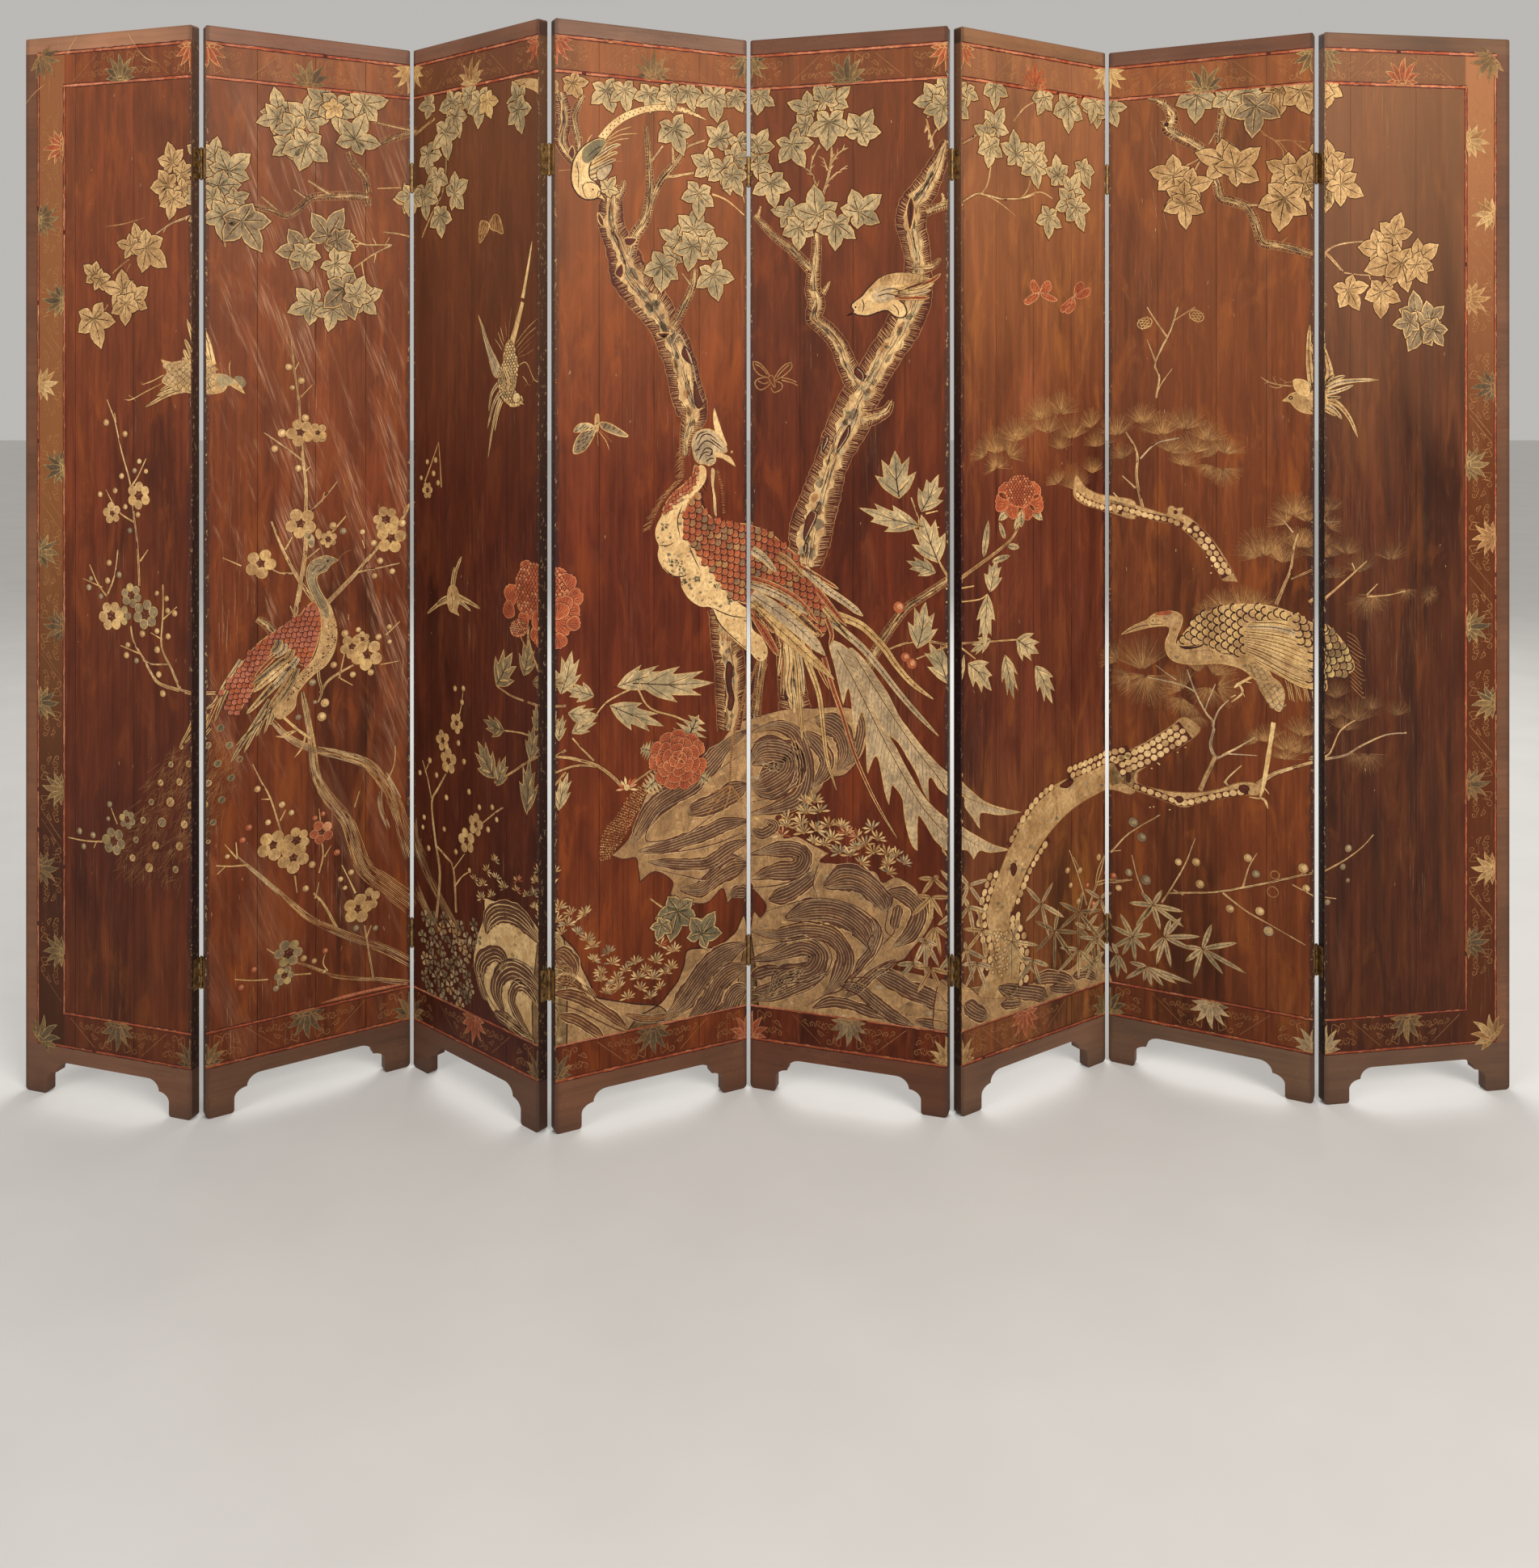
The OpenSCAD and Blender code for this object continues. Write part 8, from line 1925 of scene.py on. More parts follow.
# bamboo and the ground at the right
for node, tips in (((830, 985), ((790, 970), (800, 1010), (870, 1005), (882, 970))), ((820, 1055), ((780, 1035), (770, 1088), (850, 1092), (872, 1040), (820, 1100))), ((835, 1165), ((818, 1232), (850, 1228), (870, 1180), (800, 1200))),
                   ((800, 1215), ((770, 1262), (800, 1300), (835, 1270), (832, 1215), (780, 1200))), ((755, 1300), ((712, 1290), (722, 1320), (780, 1290))), ((820, 1320), ((772, 1300), (785, 1368), (850, 1370), (872, 1320)))):
    bamboo(g11, node, tips, 3.015, 0.62, 10, rnd.choice(("olive", "silver", "tan")), 1.45)
ground6 = shape(g11((905, 1380), (960, 1390), (1010, 1425), (1060, 1390), (1110, 1368), (1180, 1382), (1230, 1350), (1280, 1328), (1340, 1320), (1400, 1262), (1450, 1310), (1490, 1345), (1490, 1480), (1250, 1560), (1100, 1600), (905, 1640)),
                "rock_light", 0.28, "ground", 1.8)
for args in ((g16((1050, 225), (1120, 240), (1200, 250), (1240, 265)), 20, 18), (g16((1190, 200), (1240, 185), (1300, 190), (1345, 210)), 18, 14), (g16((1250, 225), (1310, 230), (1350, 225)), 12, 10), (g16((1340, 180), (1390, 170), (1430, 190)), 14, 10),
             (g16((1060, 290), (1110, 290), (1140, 285)), 14, 10), (g16((920, 290), (960, 320), (1010, 340)), 22, 16)):
    strata(args[0], args[1], args[2], 0.34)
mid6 = shape(g16((900, 235), (960, 240), (1000, 265), (1030, 215), (1010, 150), (1040, 80), (1030, 0), (1110, -40), (1130, 20), (1150, 80), (1130, 130), (1100, 190), (1050, 210)), "rock", 0.26, "gold", 1.3)
for node, tips in (((960, 1010), ((925, 960), (915, 1010), (935, 1060), (1000, 1050), (1010, 980))), ((960, 1090), ((918, 1060), (920, 1130), (975, 1150), (1010, 1090))), ((1010, 1180), ((960, 1160), (960, 1230), (1020, 1250), (1060, 1180), (1000, 1110))),
                   ((950, 1250), ((915, 1220), (918, 1300), (970, 1320), (1000, 1260))), ((1120, 1220), ((1050, 1180), (1070, 1270), (1120, 1310), (1180, 1290), (1190, 1215), (1140, 1150))), ((1230, 1080), ((1190, 1020), (1190, 1110), (1250, 1150), (1290, 1100), (1260, 1010))),
                   ((1280, 1180), ((1230, 1140), (1230, 1220), (1280, 1270), (1330, 1240), (1340, 1170), (1290, 1110))), ((1370, 1110), ((1320, 1070), (1320, 1140), (1370, 1190), (1430, 1170), (1430, 1090), (1380, 1040))), ((1440, 1210), ((1390, 1190), (1390, 1260), (1450, 1290), (1480, 1230), (1470, 1170))),
                   ((1370, 1250), ((1320, 1230), (1310, 1300), (1370, 1310), (1420, 1290))), ((1450, 1060), ((1410, 1020), (1420, 1090), (1480, 1100), (1480, 1030))), ((990, 1300), ((950, 1290), (960, 1350), (1020, 1360), (1040, 1300))), ((1200, 1290), ((1160, 1270), (1160, 1330), (1220, 1340), (1240, 1290)))):
    bamboo(g11, node, tips, 3.015, 0.40, 10, rnd.choice(("olive", "olive", "silver", "moss", "tan")), 1.45)
for i in range(34):
    (p,) = g11((1075 + jit(32), 1180 + rnd.random() * 170))
    bud(m(*p), 3.4 + rnd.random() * 1.2, 0.60, "tan")
for pts, w0, w1 in ((((1335, 880), (1360, 950), (1382, 1020), (1400, 1085)), 1.5, 5), (((1465, 900), (1440, 960), (1430, 1020), (1405, 1100), (1390, 1172)), 2, 6), (((1440, 1010), (1500, 1000), (1570, 990)), 4, 2), (((1350, 905), (1375, 955)), 2, 1)):
    twig(g11(*pts), w0, w1, 0.38, "tan", thorns=0)
buds(g11, 3.015, [(1328, 955, 12), (1375, 955, 12), (1445, 905, 13), (1425, 1080, 12, "coral"), (1370, 1070, 12), (1500, 975, 12, "coral"), (1520, 1020, 12), (1402, 1010, 10, "coral"), (1340, 1010, 10)], 0.44)

# the marks of age: pale scratches and rubbed strokes
for px0, py0, px1, py1, n, ll, col in ((255, 1040, 505, 1180, 16, 22, "wear"), (100, 110, 240, 420, 10, 20, "wear"), (690, 130, 920, 700, 14, 16, "wear"), (930, 120, 1160, 700, 14, 16, "wear"),
                                    (1180, 120, 1360, 900, 18, 18, "wear"), (1370, 120, 1620, 900, 24, 18, "wear"), (1640, 120, 1860, 1100, 10, 16, "wear"), (60, 500, 230, 1100, 12, 18, "wear"), (520, 700, 680, 1200, 12, 16, "wear")):
    for _ in range(n):
        px, py = px0 + rnd.random() * (px1 - px0), py0 + rnd.random() * (py1 - py0)
        q = ll * (0.25 + 0.75 * rnd.random()) / 3.0
        lean = jit(0.16)
        stroke([m(px, py), m(px + lean * q, py + q * 0.5), m(px + lean * q * 1.5, py + q)], 0.5 + rnd.random() * 0.6, col, 0.21, wobble=0.5)

# ---- materials ------------------------------------------------------------------------------------------


def lin(c):
    out = []
    for x in c:
        x = x / 255
        out.append(x / 12.92 if x <= 0.04045 else ((x + 0.055) / 1.055) ** 2.4)
    return (*out, 1.0)


class Mat:
    """A small node builder around one Principled shader."""

    def __init__(self, name, rough=0.45, **const):
        self.m = bpy.data.materials.new(name)
        self.m.use_nodes = True
        self.t = self.m.node_tree
        self.t.nodes.clear()
        out = self.node("ShaderNodeOutputMaterial")
        self.p = self.node("ShaderNodeBsdfPrincipled")
        self.t.links.new(self.p.outputs["BSDF"], out.inputs["Surface"])
        self.p.inputs["Roughness"].default_value = rough
        for k, v in const.items():
            self.p.inputs[k.replace("_", " ")].default_value = v
        tc = self.node("ShaderNodeTexCoord")
        self.obj = tc.outputs["Object"]

    def node(self, kind):
        return self.t.nodes.new(kind)

    def put(self, sock, v):
        if hasattr(v, "is_output") or isinstance(v, bpy.types.NodeSocket):
            self.t.links.new(v, sock)
        else:
            sock.default_value = v

    def map(self, vec, scale=(1, 1, 1), loc=(0, 0, 0), rot=(0, 0, 0)):
        n = self.node("ShaderNodeMapping")
        self.t.links.new(vec, n.inputs["Vector"])
        n.inputs["Location"].default_value = loc
        n.inputs["Rotation"].default_value = rot
        n.inputs["Scale"].default_value = scale
        return n.outputs["Vector"]

    def noise(self, vec, scale, detail=3.0, rough=0.55, dist=0.0):
        n = self.node("ShaderNodeTexNoise")
        self.t.links.new(vec, n.inputs["Vector"])
        n.inputs["Scale"].default_value = scale
        n.inputs["Detail"].default_value = detail
        n.inputs["Roughness"].default_value = rough
        n.inputs["Distortion"].default_value = dist
        return n.outputs["Fac"]

    def ramp(self, fac, stops, interp="LINEAR"):
        n = self.node("ShaderNodeValToRGB")
        self.put(n.inputs["Fac"], fac)
        r = n.color_ramp
        r.interpolation = interp
        while len(r.elements) > 1:
            r.elements.remove(r.elements[-1])
        r.elements[0].position = stops[0][0]
        r.elements[0].color = stops[0][1] if isinstance(stops[0][1], tuple) else (stops[0][1],) * 3 + (1,)
        for pos, col in stops[1:]:
            e = r.elements.new(pos)
            e.color = col if isinstance(col, tuple) else (col,) * 3 + (1,)
        return n.outputs["Color"]

    def math(self, op, a, b=0.0, c=None, clamp=False):
        n = self.node("ShaderNodeMath")
        n.operation = op
        n.use_clamp = clamp
        self.put(n.inputs[0], a)
        self.put(n.inputs[1], b)
        if c is not None:
            self.put(n.inputs[2], c)
        return n.outputs[0]

    def mix(self, fac, a, b, mode="MIX"):
        n = self.node("ShaderNodeMix")
        n.data_type = "RGBA"
        n.blend_type = mode
        self.put(n.inputs[0], fac)
        self.put(n.inputs[6], a)
        self.put(n.inputs[7], b)
        return n.outputs[2]

    def sep(self, vec):
        n = self.node("ShaderNodeSeparateXYZ")
        self.t.links.new(vec, n.inputs[0])
        return n.outputs

    def band(self, v, lo, hi, soft):
        """1 between lo and hi, falling off over soft outside them."""
        mid, half = (lo + hi) / 2, (hi - lo) / 2
        d = self.math("ABSOLUTE", self.math("SUBTRACT", v, mid))
        return self.math("SUBTRACT", 1.0, self.math("DIVIDE", self.math("SUBTRACT", d, half), soft, clamp=True), clamp=True)

    def bump(self, height, strength, dist=0.001):
        n = self.node("ShaderNodeBump")
        n.inputs["Strength"].default_value = strength
        n.inputs["Distance"].default_value = dist
        self.put(n.inputs["Height"], height)
        self.t.links.new(n.outputs["Normal"], self.p.inputs["Normal"])


# colours of the lacquer on each panel: deep, middle, light; strength of the pale scuffs. The differences in brightness
# between the panels are partly painted light and shade: panels turned away from the light are darker.
MIDDLE = {1: ((110, 51, 27), 0.30), 2: ((112, 54, 28), 0.85), 3: ((84, 38, 24), 0.40), 4: ((118, 54, 26), 0.30),
          5: ((98, 42, 22), 0.35), 6: ((142, 84, 46), 0.30), 7: ((114, 58, 30), 0.45), 8: ((84, 43, 25), 0.25)}
# painted sheen: how strongly a pale veil of painted light lies over the upper part
PAINTED_SHEEN = {1: 0.10, 2: 0.14, 3: 0.20, 4: 0.28, 5: 0.14, 6: 0.42, 7: 0.18, 8: 0.34}
# painted light and shade: how a panel lightens or darkens down its height
PAINTED_LIGHT_BY_HEIGHT = {2: [(0.919, (1, 1, 1)), (0.924, (1.15, 1.22, 1.22))], 5: [(0.919, (1, 1, 1)), (0.924, (1.12, 1.20, 1.18))], 7: [(0.919, (1, 1, 1)), (0.924, (1.22, 1.18, 1.12))],
         1: [(0.12, (0.85, 0.95, 0.95)), (0.22, (0.62, 0.64, 0.82)), (0.40, (0.78, 0.82, 0.90)), (0.60, (1, 1, 1))],
         4: [(0.20, (1, 1, 1)), (0.44, (0.64, 0.58, 0.78)), (0.58, (0.74, 0.68, 0.78)), (0.74, (1, 1, 0.92))],
         6: [(0.14, (0.80, 0.75, 0.75)), (0.36, (0.46, 0.33, 0.48)), (0.54, (0.50, 0.35, 0.48)), (0.72, (0.76, 0.68, 0.70)), (0.90, (0.82, 0.79, 0.90))]}
GROUND = {n: (tuple(x * 0.64 for x in c), c, tuple(x * 1.24 for x in c), w) for n, (c, w) in MIDDLE.items()}


def local(mat, n):
    """Panel n's own coordinates, in metres: along its width, back from its front, up."""
    a, c = math.radians(-TURN[n]), CORNER[n]
    ca, sa = math.cos(a), math.sin(a)
    x, y = c[0] / 1000, c[1] / 1000
    return mat.map(mat.obj, loc=(-(ca * x - sa * y), -(sa * x + ca * y), 0), rot=(0, 0, a))


def shade_to_floor(k, z):
    """Painted shade: the whole surface is darker towards the floor."""
    return k.ramp(k.math("DIVIDE", z, 2.2), [(0.04, 0.62), (0.30, 0.84), (0.60, 0.98), (0.96, 1.0)])


def lacquer(n):
    deep, middle, light, scuff = GROUND[n]
    k = Mat(f"lacquer_{n}", 0.4, Specular_IOR_Level=0.09)
    L = local(k, n)
    u, v, z = k.sep(L)
    seed = (n * 3.7, n * 1.3, n * 2.1)
    # broad clouds drawn out along the boards
    cloud = k.noise(k.map(L, (7.5, 2, 1.25), seed), 1.0, 4, 0.6, 0.6)
    base = k.ramp(cloud, [(0.30, lin(deep)), (0.47, lin(middle)), (0.56, lin(middle)), (0.74, lin(light))])
    # grain and brush streaks
    streak = k.noise(k.map(L, (150, 20, 3.2), seed), 1.0, 5, 0.65, 0.2)
    base = k.mix(k.math("MULTIPLY", k.ramp(streak, [(0.38, 0.75), (0.62, 0.0)]), 0.42), base, lin(tuple(x * 0.62 for x in deep)))
    glow = k.noise(k.map(L, (52, 10, 3.6), tuple(s + 5 for s in seed)), 1.0, 4, 0.6, 0.3)
    base = k.mix(k.math("MULTIPLY", k.ramp(glow, [(0.52, 0.0), (0.74, 1.0)]), 0.40), base, lin(tuple(min(255, x * 1.12) for x in light)))
    # long soft flames of a warmer and of a darker brown
    flame = k.noise(k.map(L, (26, 6, 6.6), tuple(s + 12 for s in seed)), 1.0, 5, 0.60, 0.7)
    base = k.mix(k.math("MULTIPLY", k.ramp(flame, [(0.52, 0.0), (0.68, 1.0)]), 0.62), base, lin((min(255, middle[0] * 1.28), middle[1] * 1.38, middle[2] * 1.15)))
    base = k.mix(k.math("MULTIPLY", k.ramp(flame, [(0.30, 1.0), (0.46, 0.0)]), 0.50), base, lin((middle[0] * 0.66, middle[1] * 0.56, middle[2] * 0.62)))
    # each board has taken the lacquer a little differently
    joints = JOINTS_AT[n - 1]
    shade = [0.10, 0.55, 0.25, 0.8, 0.4]
    stops = [(0.0, shade[n % 5])] + [(s, shade[(n + i + 1) % 5]) for i, s in enumerate(joints)]
    tone = k.ramp(k.math("DIVIDE", u, W / 1000), stops, "CONSTANT")
    base = k.mix(k.math("MULTIPLY", tone, 0.16), base, lin(tuple(x * 0.7 for x in middle)))
    # dark ingrained patches
    patch = k.noise(k.map(L, (16, 5, 2.6), tuple(s + 9 for s in seed)), 1.0, 5, 0.62, 0.8)
    base = k.mix(k.math("MULTIPLY", k.ramp(patch, [(0.60, 0.0), (0.78, 1.0)]), 0.6), base, lin((46, 20, 14)))
    if n in (1, 8):
        inner, outer = (0.0975, 0.032) if n == 1 else (W / 1000 - 0.0975, W / 1000 - 0.032)
        strip_ = k.band(u, min(inner, outer), max(inner, outer), 0.001)
        tones = [(0.20, (74, 38, 20)), (0.50, (134, 84, 45)), (0.85, (138, 86, 50))] if n == 1 else [(0.20, (90, 44, 20)), (0.60, (92, 46, 18)), (0.85, (152, 94, 56))]
        base = k.mix(k.math("MULTIPLY", strip_, 0.8), base, k.ramp(k.math("DIVIDE", z, 2.2), [(p, lin(c)) for p, c in tones]))
        if n == 8:
            stain = k.noise(k.map(L, (24, 5, 1.5), (4, 7, 2)), 1.0, 5, 0.62, 0.6)
            base = k.mix(k.math("MULTIPLY", k.math("MULTIPLY", k.ramp(stain, [(0.50, 0.0), (0.64, 1.0)]), k.math("SUBTRACT", 1.0, strip_)), 0.62), base, lin((46, 28, 20)))
    # rubbed places: clusters of fine pale scratches, some upright and some leaning
    lean = k.map(L, rot=(0, 0.34 if n == 2 else 0.04, 0))
    hair = k.noise(k.map(lean, (330, 25, 12), seed), 1.0, 3, 0.65)
    area = k.noise(k.map(lean, (20, 4, 4.2), tuple(s + 15 for s in seed)), 1.0, 3, 0.6, 0.4)
    rub = {1: 0.10, 2: 0.92, 3: 0.14, 4: 0.12, 5: 0.10, 6: 0.45, 7: 0.20, 8: 0.14}[n]
    low, high = (0.49, 0.61) if n == 2 else (0.57, 0.69)
    marks = k.math("MULTIPLY", k.ramp(hair, [(0.50, 0.0), (0.62, 1.0)]), k.ramp(area, [(low, 0.0), (high, 1.0)]))
    down = k.ramp(k.math("DIVIDE", z, 2.2), [(0.28, 0.2), (0.44, 1.0), (0.80, 1.0), (0.92, 0.15)] if n == 2 else [(0.20, 0.6), (0.45, 1.0), (0.70, 0.4)])
    marks = k.math("MULTIPLY", marks, down)
    base = k.mix(k.math("MULTIPLY", marks, rub * 0.66), base, lin((186, 144, 112)))
    base = k.mix(k.math("MULTIPLY", k.ramp(area, [(low, 0.0), (high + 0.04, 1.0)]), rub * (0.16 if n == 2 else 0.08)), base, lin((160, 104, 76)))
    # joints between boards telegraph through as fine dark lines
    crack_noise = k.noise(k.map(L, (3, 3, 14), seed), 1.0, 3)
    cracks = None
    extra = {8: [0.20, 0.32, 0.46, 0.62], 1: [0.5], 4: [0.34], 7: [0.38], 6: [0.62]}.get(n, [])
    for s in joints + extra:
        d = k.math("ABSOLUTE", k.math("SUBTRACT", u, s * W / 1000))
        wgt = 0.9 if s in joints else 0.55
        one = k.math("MULTIPLY", k.math("SUBTRACT", 1.0, k.math("DIVIDE", d, 0.0011 if s in joints else 0.0008), clamp=True), wgt)
        cracks = one if cracks is None else k.math("MAXIMUM", cracks, one)
    cracks = k.math("MULTIPLY", cracks, k.ramp(crack_noise, [(0.30, 0.25), (0.6, 1.0)]))
    base = k.mix(cracks, base, lin((38, 18, 13)))
    # pale upright scuffs
    fine = k.noise(k.map(L, (420, 30, 9), seed), 1.0, 4, 0.7)
    where = k.noise(k.map(L, (7, 3, 3.2), tuple(s + 2 for s in seed)), 1.0, 3, 0.55, 0.5)
    sc = k.math("MULTIPLY", k.ramp(fine, [(0.60, 0.0), (0.70, 1.0)]), k.ramp(where, [(0.50, 0.0), (0.66, 1.0)]))
    base = k.mix(k.math("MULTIPLY", sc, scuff), base, lin((196, 150, 108)))
    # worn long edges: a dark strip with pale chips
    edge = k.math("MINIMUM", u, k.math("SUBTRACT", W / 1000, u))
    ragged = k.noise(k.map(L, (90, 40, 26), seed), 1.0, 4, 0.65)
    strip = k.math("SUBTRACT", 1.0, k.math("DIVIDE", edge, k.math("MULTIPLY", ragged, 0.022)), clamp=True)
    strip = k.ramp(strip, [(0.12, 0.0), (0.45, 1.0)])
    edge_here = 1.0 if n not in (1, 8) else 0.9
    base = k.mix(k.math("MULTIPLY", strip, 0.75 * edge_here), base, lin((58, 38, 32)))
    chips = k.noise(k.map(L, (260, 200, 110), tuple(s + 4 for s in seed)), 1.0, 3, 0.6)
    near = k.math("SUBTRACT", 1.0, k.math("DIVIDE", edge, 0.0075), clamp=True)
    base = k.mix(k.math("MULTIPLY", k.ramp(chips, [(0.60, 0.0), (0.66, 1.0)]), k.math("MULTIPLY", near, 0.85)), base, lin((206, 168, 122)))
    # the end faces, in the gaps, are painted dark
    ends = k.math("SUBTRACT", 1.0, k.math("DIVIDE", edge, 0.0006), clamp=True)
    base = k.mix(k.math("MULTIPLY", ends, 0.7), base, lin((44, 30, 25)))
    # the back has one plain, darker coat
    back = k.math("GREATER_THAN", v, 0.0213)
    plain = k.ramp(cloud, [(0.3, lin((52, 26, 19))), (0.7, lin((84, 44, 31)))])
    plain = k.mix(k.math("MULTIPLY", k.ramp(streak, [(0.36, 0.8), (0.62, 0.0)]), 0.6), plain, lin((34, 18, 14)))
    plain = k.mix(cracks, plain, lin((24, 14, 11)))
    plain = k.mix(k.math("MULTIPLY", sc, 0.5), plain, lin((150, 112, 82)))
    plain = k.mix(k.math("MULTIPLY", strip, 0.7), plain, lin((40, 28, 24)))
    # painted sheen: a pale veil of light painted over the upper part of the panel
    painted_sheen_mask = k.ramp(k.math("DIVIDE", k.math("ADD", z, k.math("MULTIPLY", cloud, 0.5)), 2.4), [(0.60, 0.0), (0.98, 1.0)])
    base = k.mix(k.math("MULTIPLY", painted_sheen_mask, PAINTED_SHEEN[n]), base, lin((180, 126, 84)))
    # painted light and shade down the panel's height
    if n in PAINTED_LIGHT_BY_HEIGHT:
        base = k.mix(1.0, base, k.ramp(k.math("DIVIDE", z, 2.2), [(p, c + (1,)) for p, c in PAINTED_LIGHT_BY_HEIGHT[n]]), "MULTIPLY")
    base = k.mix(back, base, plain)
    # painted shade: darker towards the floor
    base = k.mix(1.0, base, shade_to_floor(k, z), "MULTIPLY")
    k.put(k.p.inputs["Base Color"], base)
    rough = k.math("ADD", k.math("MULTIPLY", streak, 0.26), 0.30)
    rough = k.math("ADD", rough, k.math("MULTIPLY", sc, 0.25), clamp=True)
    k.put(k.p.inputs["Roughness"], rough)
    h = k.math("ADD", k.math("MULTIPLY", streak, 0.35), k.math("MULTIPLY", cloud, 0.6))
    h = k.math("SUBTRACT", h, k.math("MULTIPLY", cracks, 1.2))
    k.bump(h, 0.35, 0.0012)
    return k.m


RIM_TONES = {1: (152, 106, 78), 2: (122, 84, 64), 3: (118, 80, 60), 4: (124, 90, 70), 5: (112, 72, 52), 6: (128, 90, 62), 7: (108, 72, 54), 8: (108, 76, 54)}


def rim(n, foot=False, side=False):
    """Plain brown wood with a thin old coat."""
    tone = RIM_TONES[n]
    if foot:
        tone = {1: (98, 66, 48), 2: (92, 62, 44), 3: (84, 56, 40), 4: (92, 60, 42), 5: (92, 56, 38), 6: (98, 70, 52), 7: (96, 70, 52), 8: (90, 64, 48)}[n]
    if side:
        tone = {1: (106, 68, 46), 8: (100, 66, 46)}[n]
    k = Mat(f"rim_{'apron' if foot else 'stile' if side else 'rail'}_{n}", 0.5, Specular_IOR_Level=0.16)
    L = local(k, n)
    u, v, z = k.sep(L)
    seed = (n * 2.3, n * 4.1, n * 0.9)
    cloud = k.noise(k.map(L, (4, 4, 7), seed), 1.0, 3, 0.5, 0.3)
    base = k.ramp(cloud, [(0.30, lin(tuple(x * 0.86 for x in tone))), (0.70, lin(tuple(min(255, x * 1.12) for x in tone)))])
    grain = k.noise(k.map(L, (5, 20, 130), seed), 1.0, 4, 0.6, 0.15)
    base = k.mix(k.math("MULTIPLY", k.ramp(grain, [(0.36, 1.0), (0.58, 0.0)]), 0.22), base, lin(tuple(x * 0.55 for x in tone)))
    warm = k.noise(k.map(L, (9, 9, 16), tuple(s + 3 for s in seed)), 1.0, 3, 0.5, 0.3)
    base = k.mix(k.math("MULTIPLY", k.ramp(warm, [(0.50, 0.0), (0.75, 1.0)]), 0.35), base, lin(tuple(x * f for x, f in zip(tone, (1.02, 0.82, 0.68)))))
    # a few fine dark cracks and small pale nicks
    crack = k.noise(k.map(L, (9, 9, 60), tuple(s + 6 for s in seed)), 1.0, 5, 0.7, 1.2)
    line_ = k.math("ABSOLUTE", k.math("SUBTRACT", crack, 0.5))
    some = k.noise(k.map(L, (4, 4, 6), tuple(s + 8 for s in seed)), 1.0, 2, 0.5)
    line_ = k.math("MULTIPLY", k.ramp(line_, [(0.004, 1.0), (0.012, 0.0)]), k.ramp(some, [(0.52, 0.0), (0.64, 1.0)]))
    base = k.mix(k.math("MULTIPLY", line_, 0.6), base, lin(tuple(x * 0.42 for x in tone)))
    speck = k.noise(k.map(L, (330, 330, 330), seed), 1.0, 3, 0.6)
    base = k.mix(k.ramp(speck, [(0.70, 0.0), (0.76, 0.5)]), base, lin((196, 156, 116)))
    edge = k.math("MINIMUM", u, k.math("SUBTRACT", W / 1000, u))
    ragged = k.noise(k.map(L, (50, 50, 30), seed), 1.0, 4, 0.6)
    strip = k.math("SUBTRACT", 1.0, k.math("DIVIDE", edge, k.math("MULTIPLY", ragged, 0.022)), clamp=True)
    base = k.mix(k.math("MULTIPLY", k.ramp(strip, [(0.10, 0.0), (0.6, 1.0)]), 0.55 if n not in (1, 8) else 0.35), base, lin((64, 44, 36)))
    # the top edge is rubbed a little paler
    top = k.math("SUBTRACT", 1.0, k.math("DIVIDE", k.math("SUBTRACT", 2.1995, z), k.math("MULTIPLY", ragged, 0.010)), clamp=True)
    base = k.mix(k.math("MULTIPLY", top, 0.35), base, lin((186, 146, 112)))
    # the end faces, in the gaps, are painted dark
    ends = k.math("SUBTRACT", 1.0, k.math("DIVIDE", edge, 0.0006), clamp=True)
    base = k.mix(k.math("MULTIPLY", ends, 0.6), base, lin((46, 32, 27)))
    back = k.math("GREATER_THAN", v, 0.0213)
    base = k.mix(k.math("MULTIPLY", back, 0.6), base, lin((52, 34, 27)))
    if foot:
        # darker just above the floor
        low = k.math("SUBTRACT", 1.0, k.math("DIVIDE", z, k.math("ADD", 0.010, k.math("MULTIPLY", cloud, 0.05))), clamp=True)
        base = k.mix(k.math("MULTIPLY", low, 0.5), base, lin((52, 38, 31)))
    k.put(k.p.inputs["Base Color"], base)
    k.put(k.p.inputs["Roughness"], k.math("ADD", k.math("MULTIPLY", grain, 0.25), 0.36))
    k.bump(k.math("ADD", k.math("MULTIPLY", cloud, 0.3), k.math("MULTIPLY", grain, 0.4)), 0.25, 0.0006)
    return k.m


def metal(name, bright, dull, rough):
    k = Mat(name, rough, Metallic=0.85, Specular_IOR_Level=0.5)
    n1 = k.noise(k.map(k.obj, (90, 90, 90)), 1.0, 5, 0.65, 0.4)
    n2 = k.noise(k.map(k.obj, (900, 900, 260)), 1.0, 3, 0.6)
    base = k.ramp(n1, [(0.36, lin(dull)), (0.62, lin(bright))])
    base = k.mix(k.math("MULTIPLY", k.ramp(n2, [(0.5, 0.0), (0.68, 1.0)]), 0.5), base, lin(tuple(x * 0.45 for x in dull)))
    k.put(k.p.inputs["Base Color"], base)
    k.put(k.p.inputs["Roughness"], k.math("ADD", k.math("MULTIPLY", n1, 0.4), rough - 0.15))
    k.bump(n2, 0.25, 0.0002)
    return k.m


def bare_wood():
    k = Mat("bare_wood", 0.7)
    g = k.noise(k.map(k.obj, (200, 200, 40)), 1.0, 4, 0.6)
    k.put(k.p.inputs["Base Color"], k.ramp(g, [(0.3, lin((140, 104, 66))), (0.7, lin((186, 150, 106)))]))
    k.bump(g, 0.3, 0.0004)
    return k.m


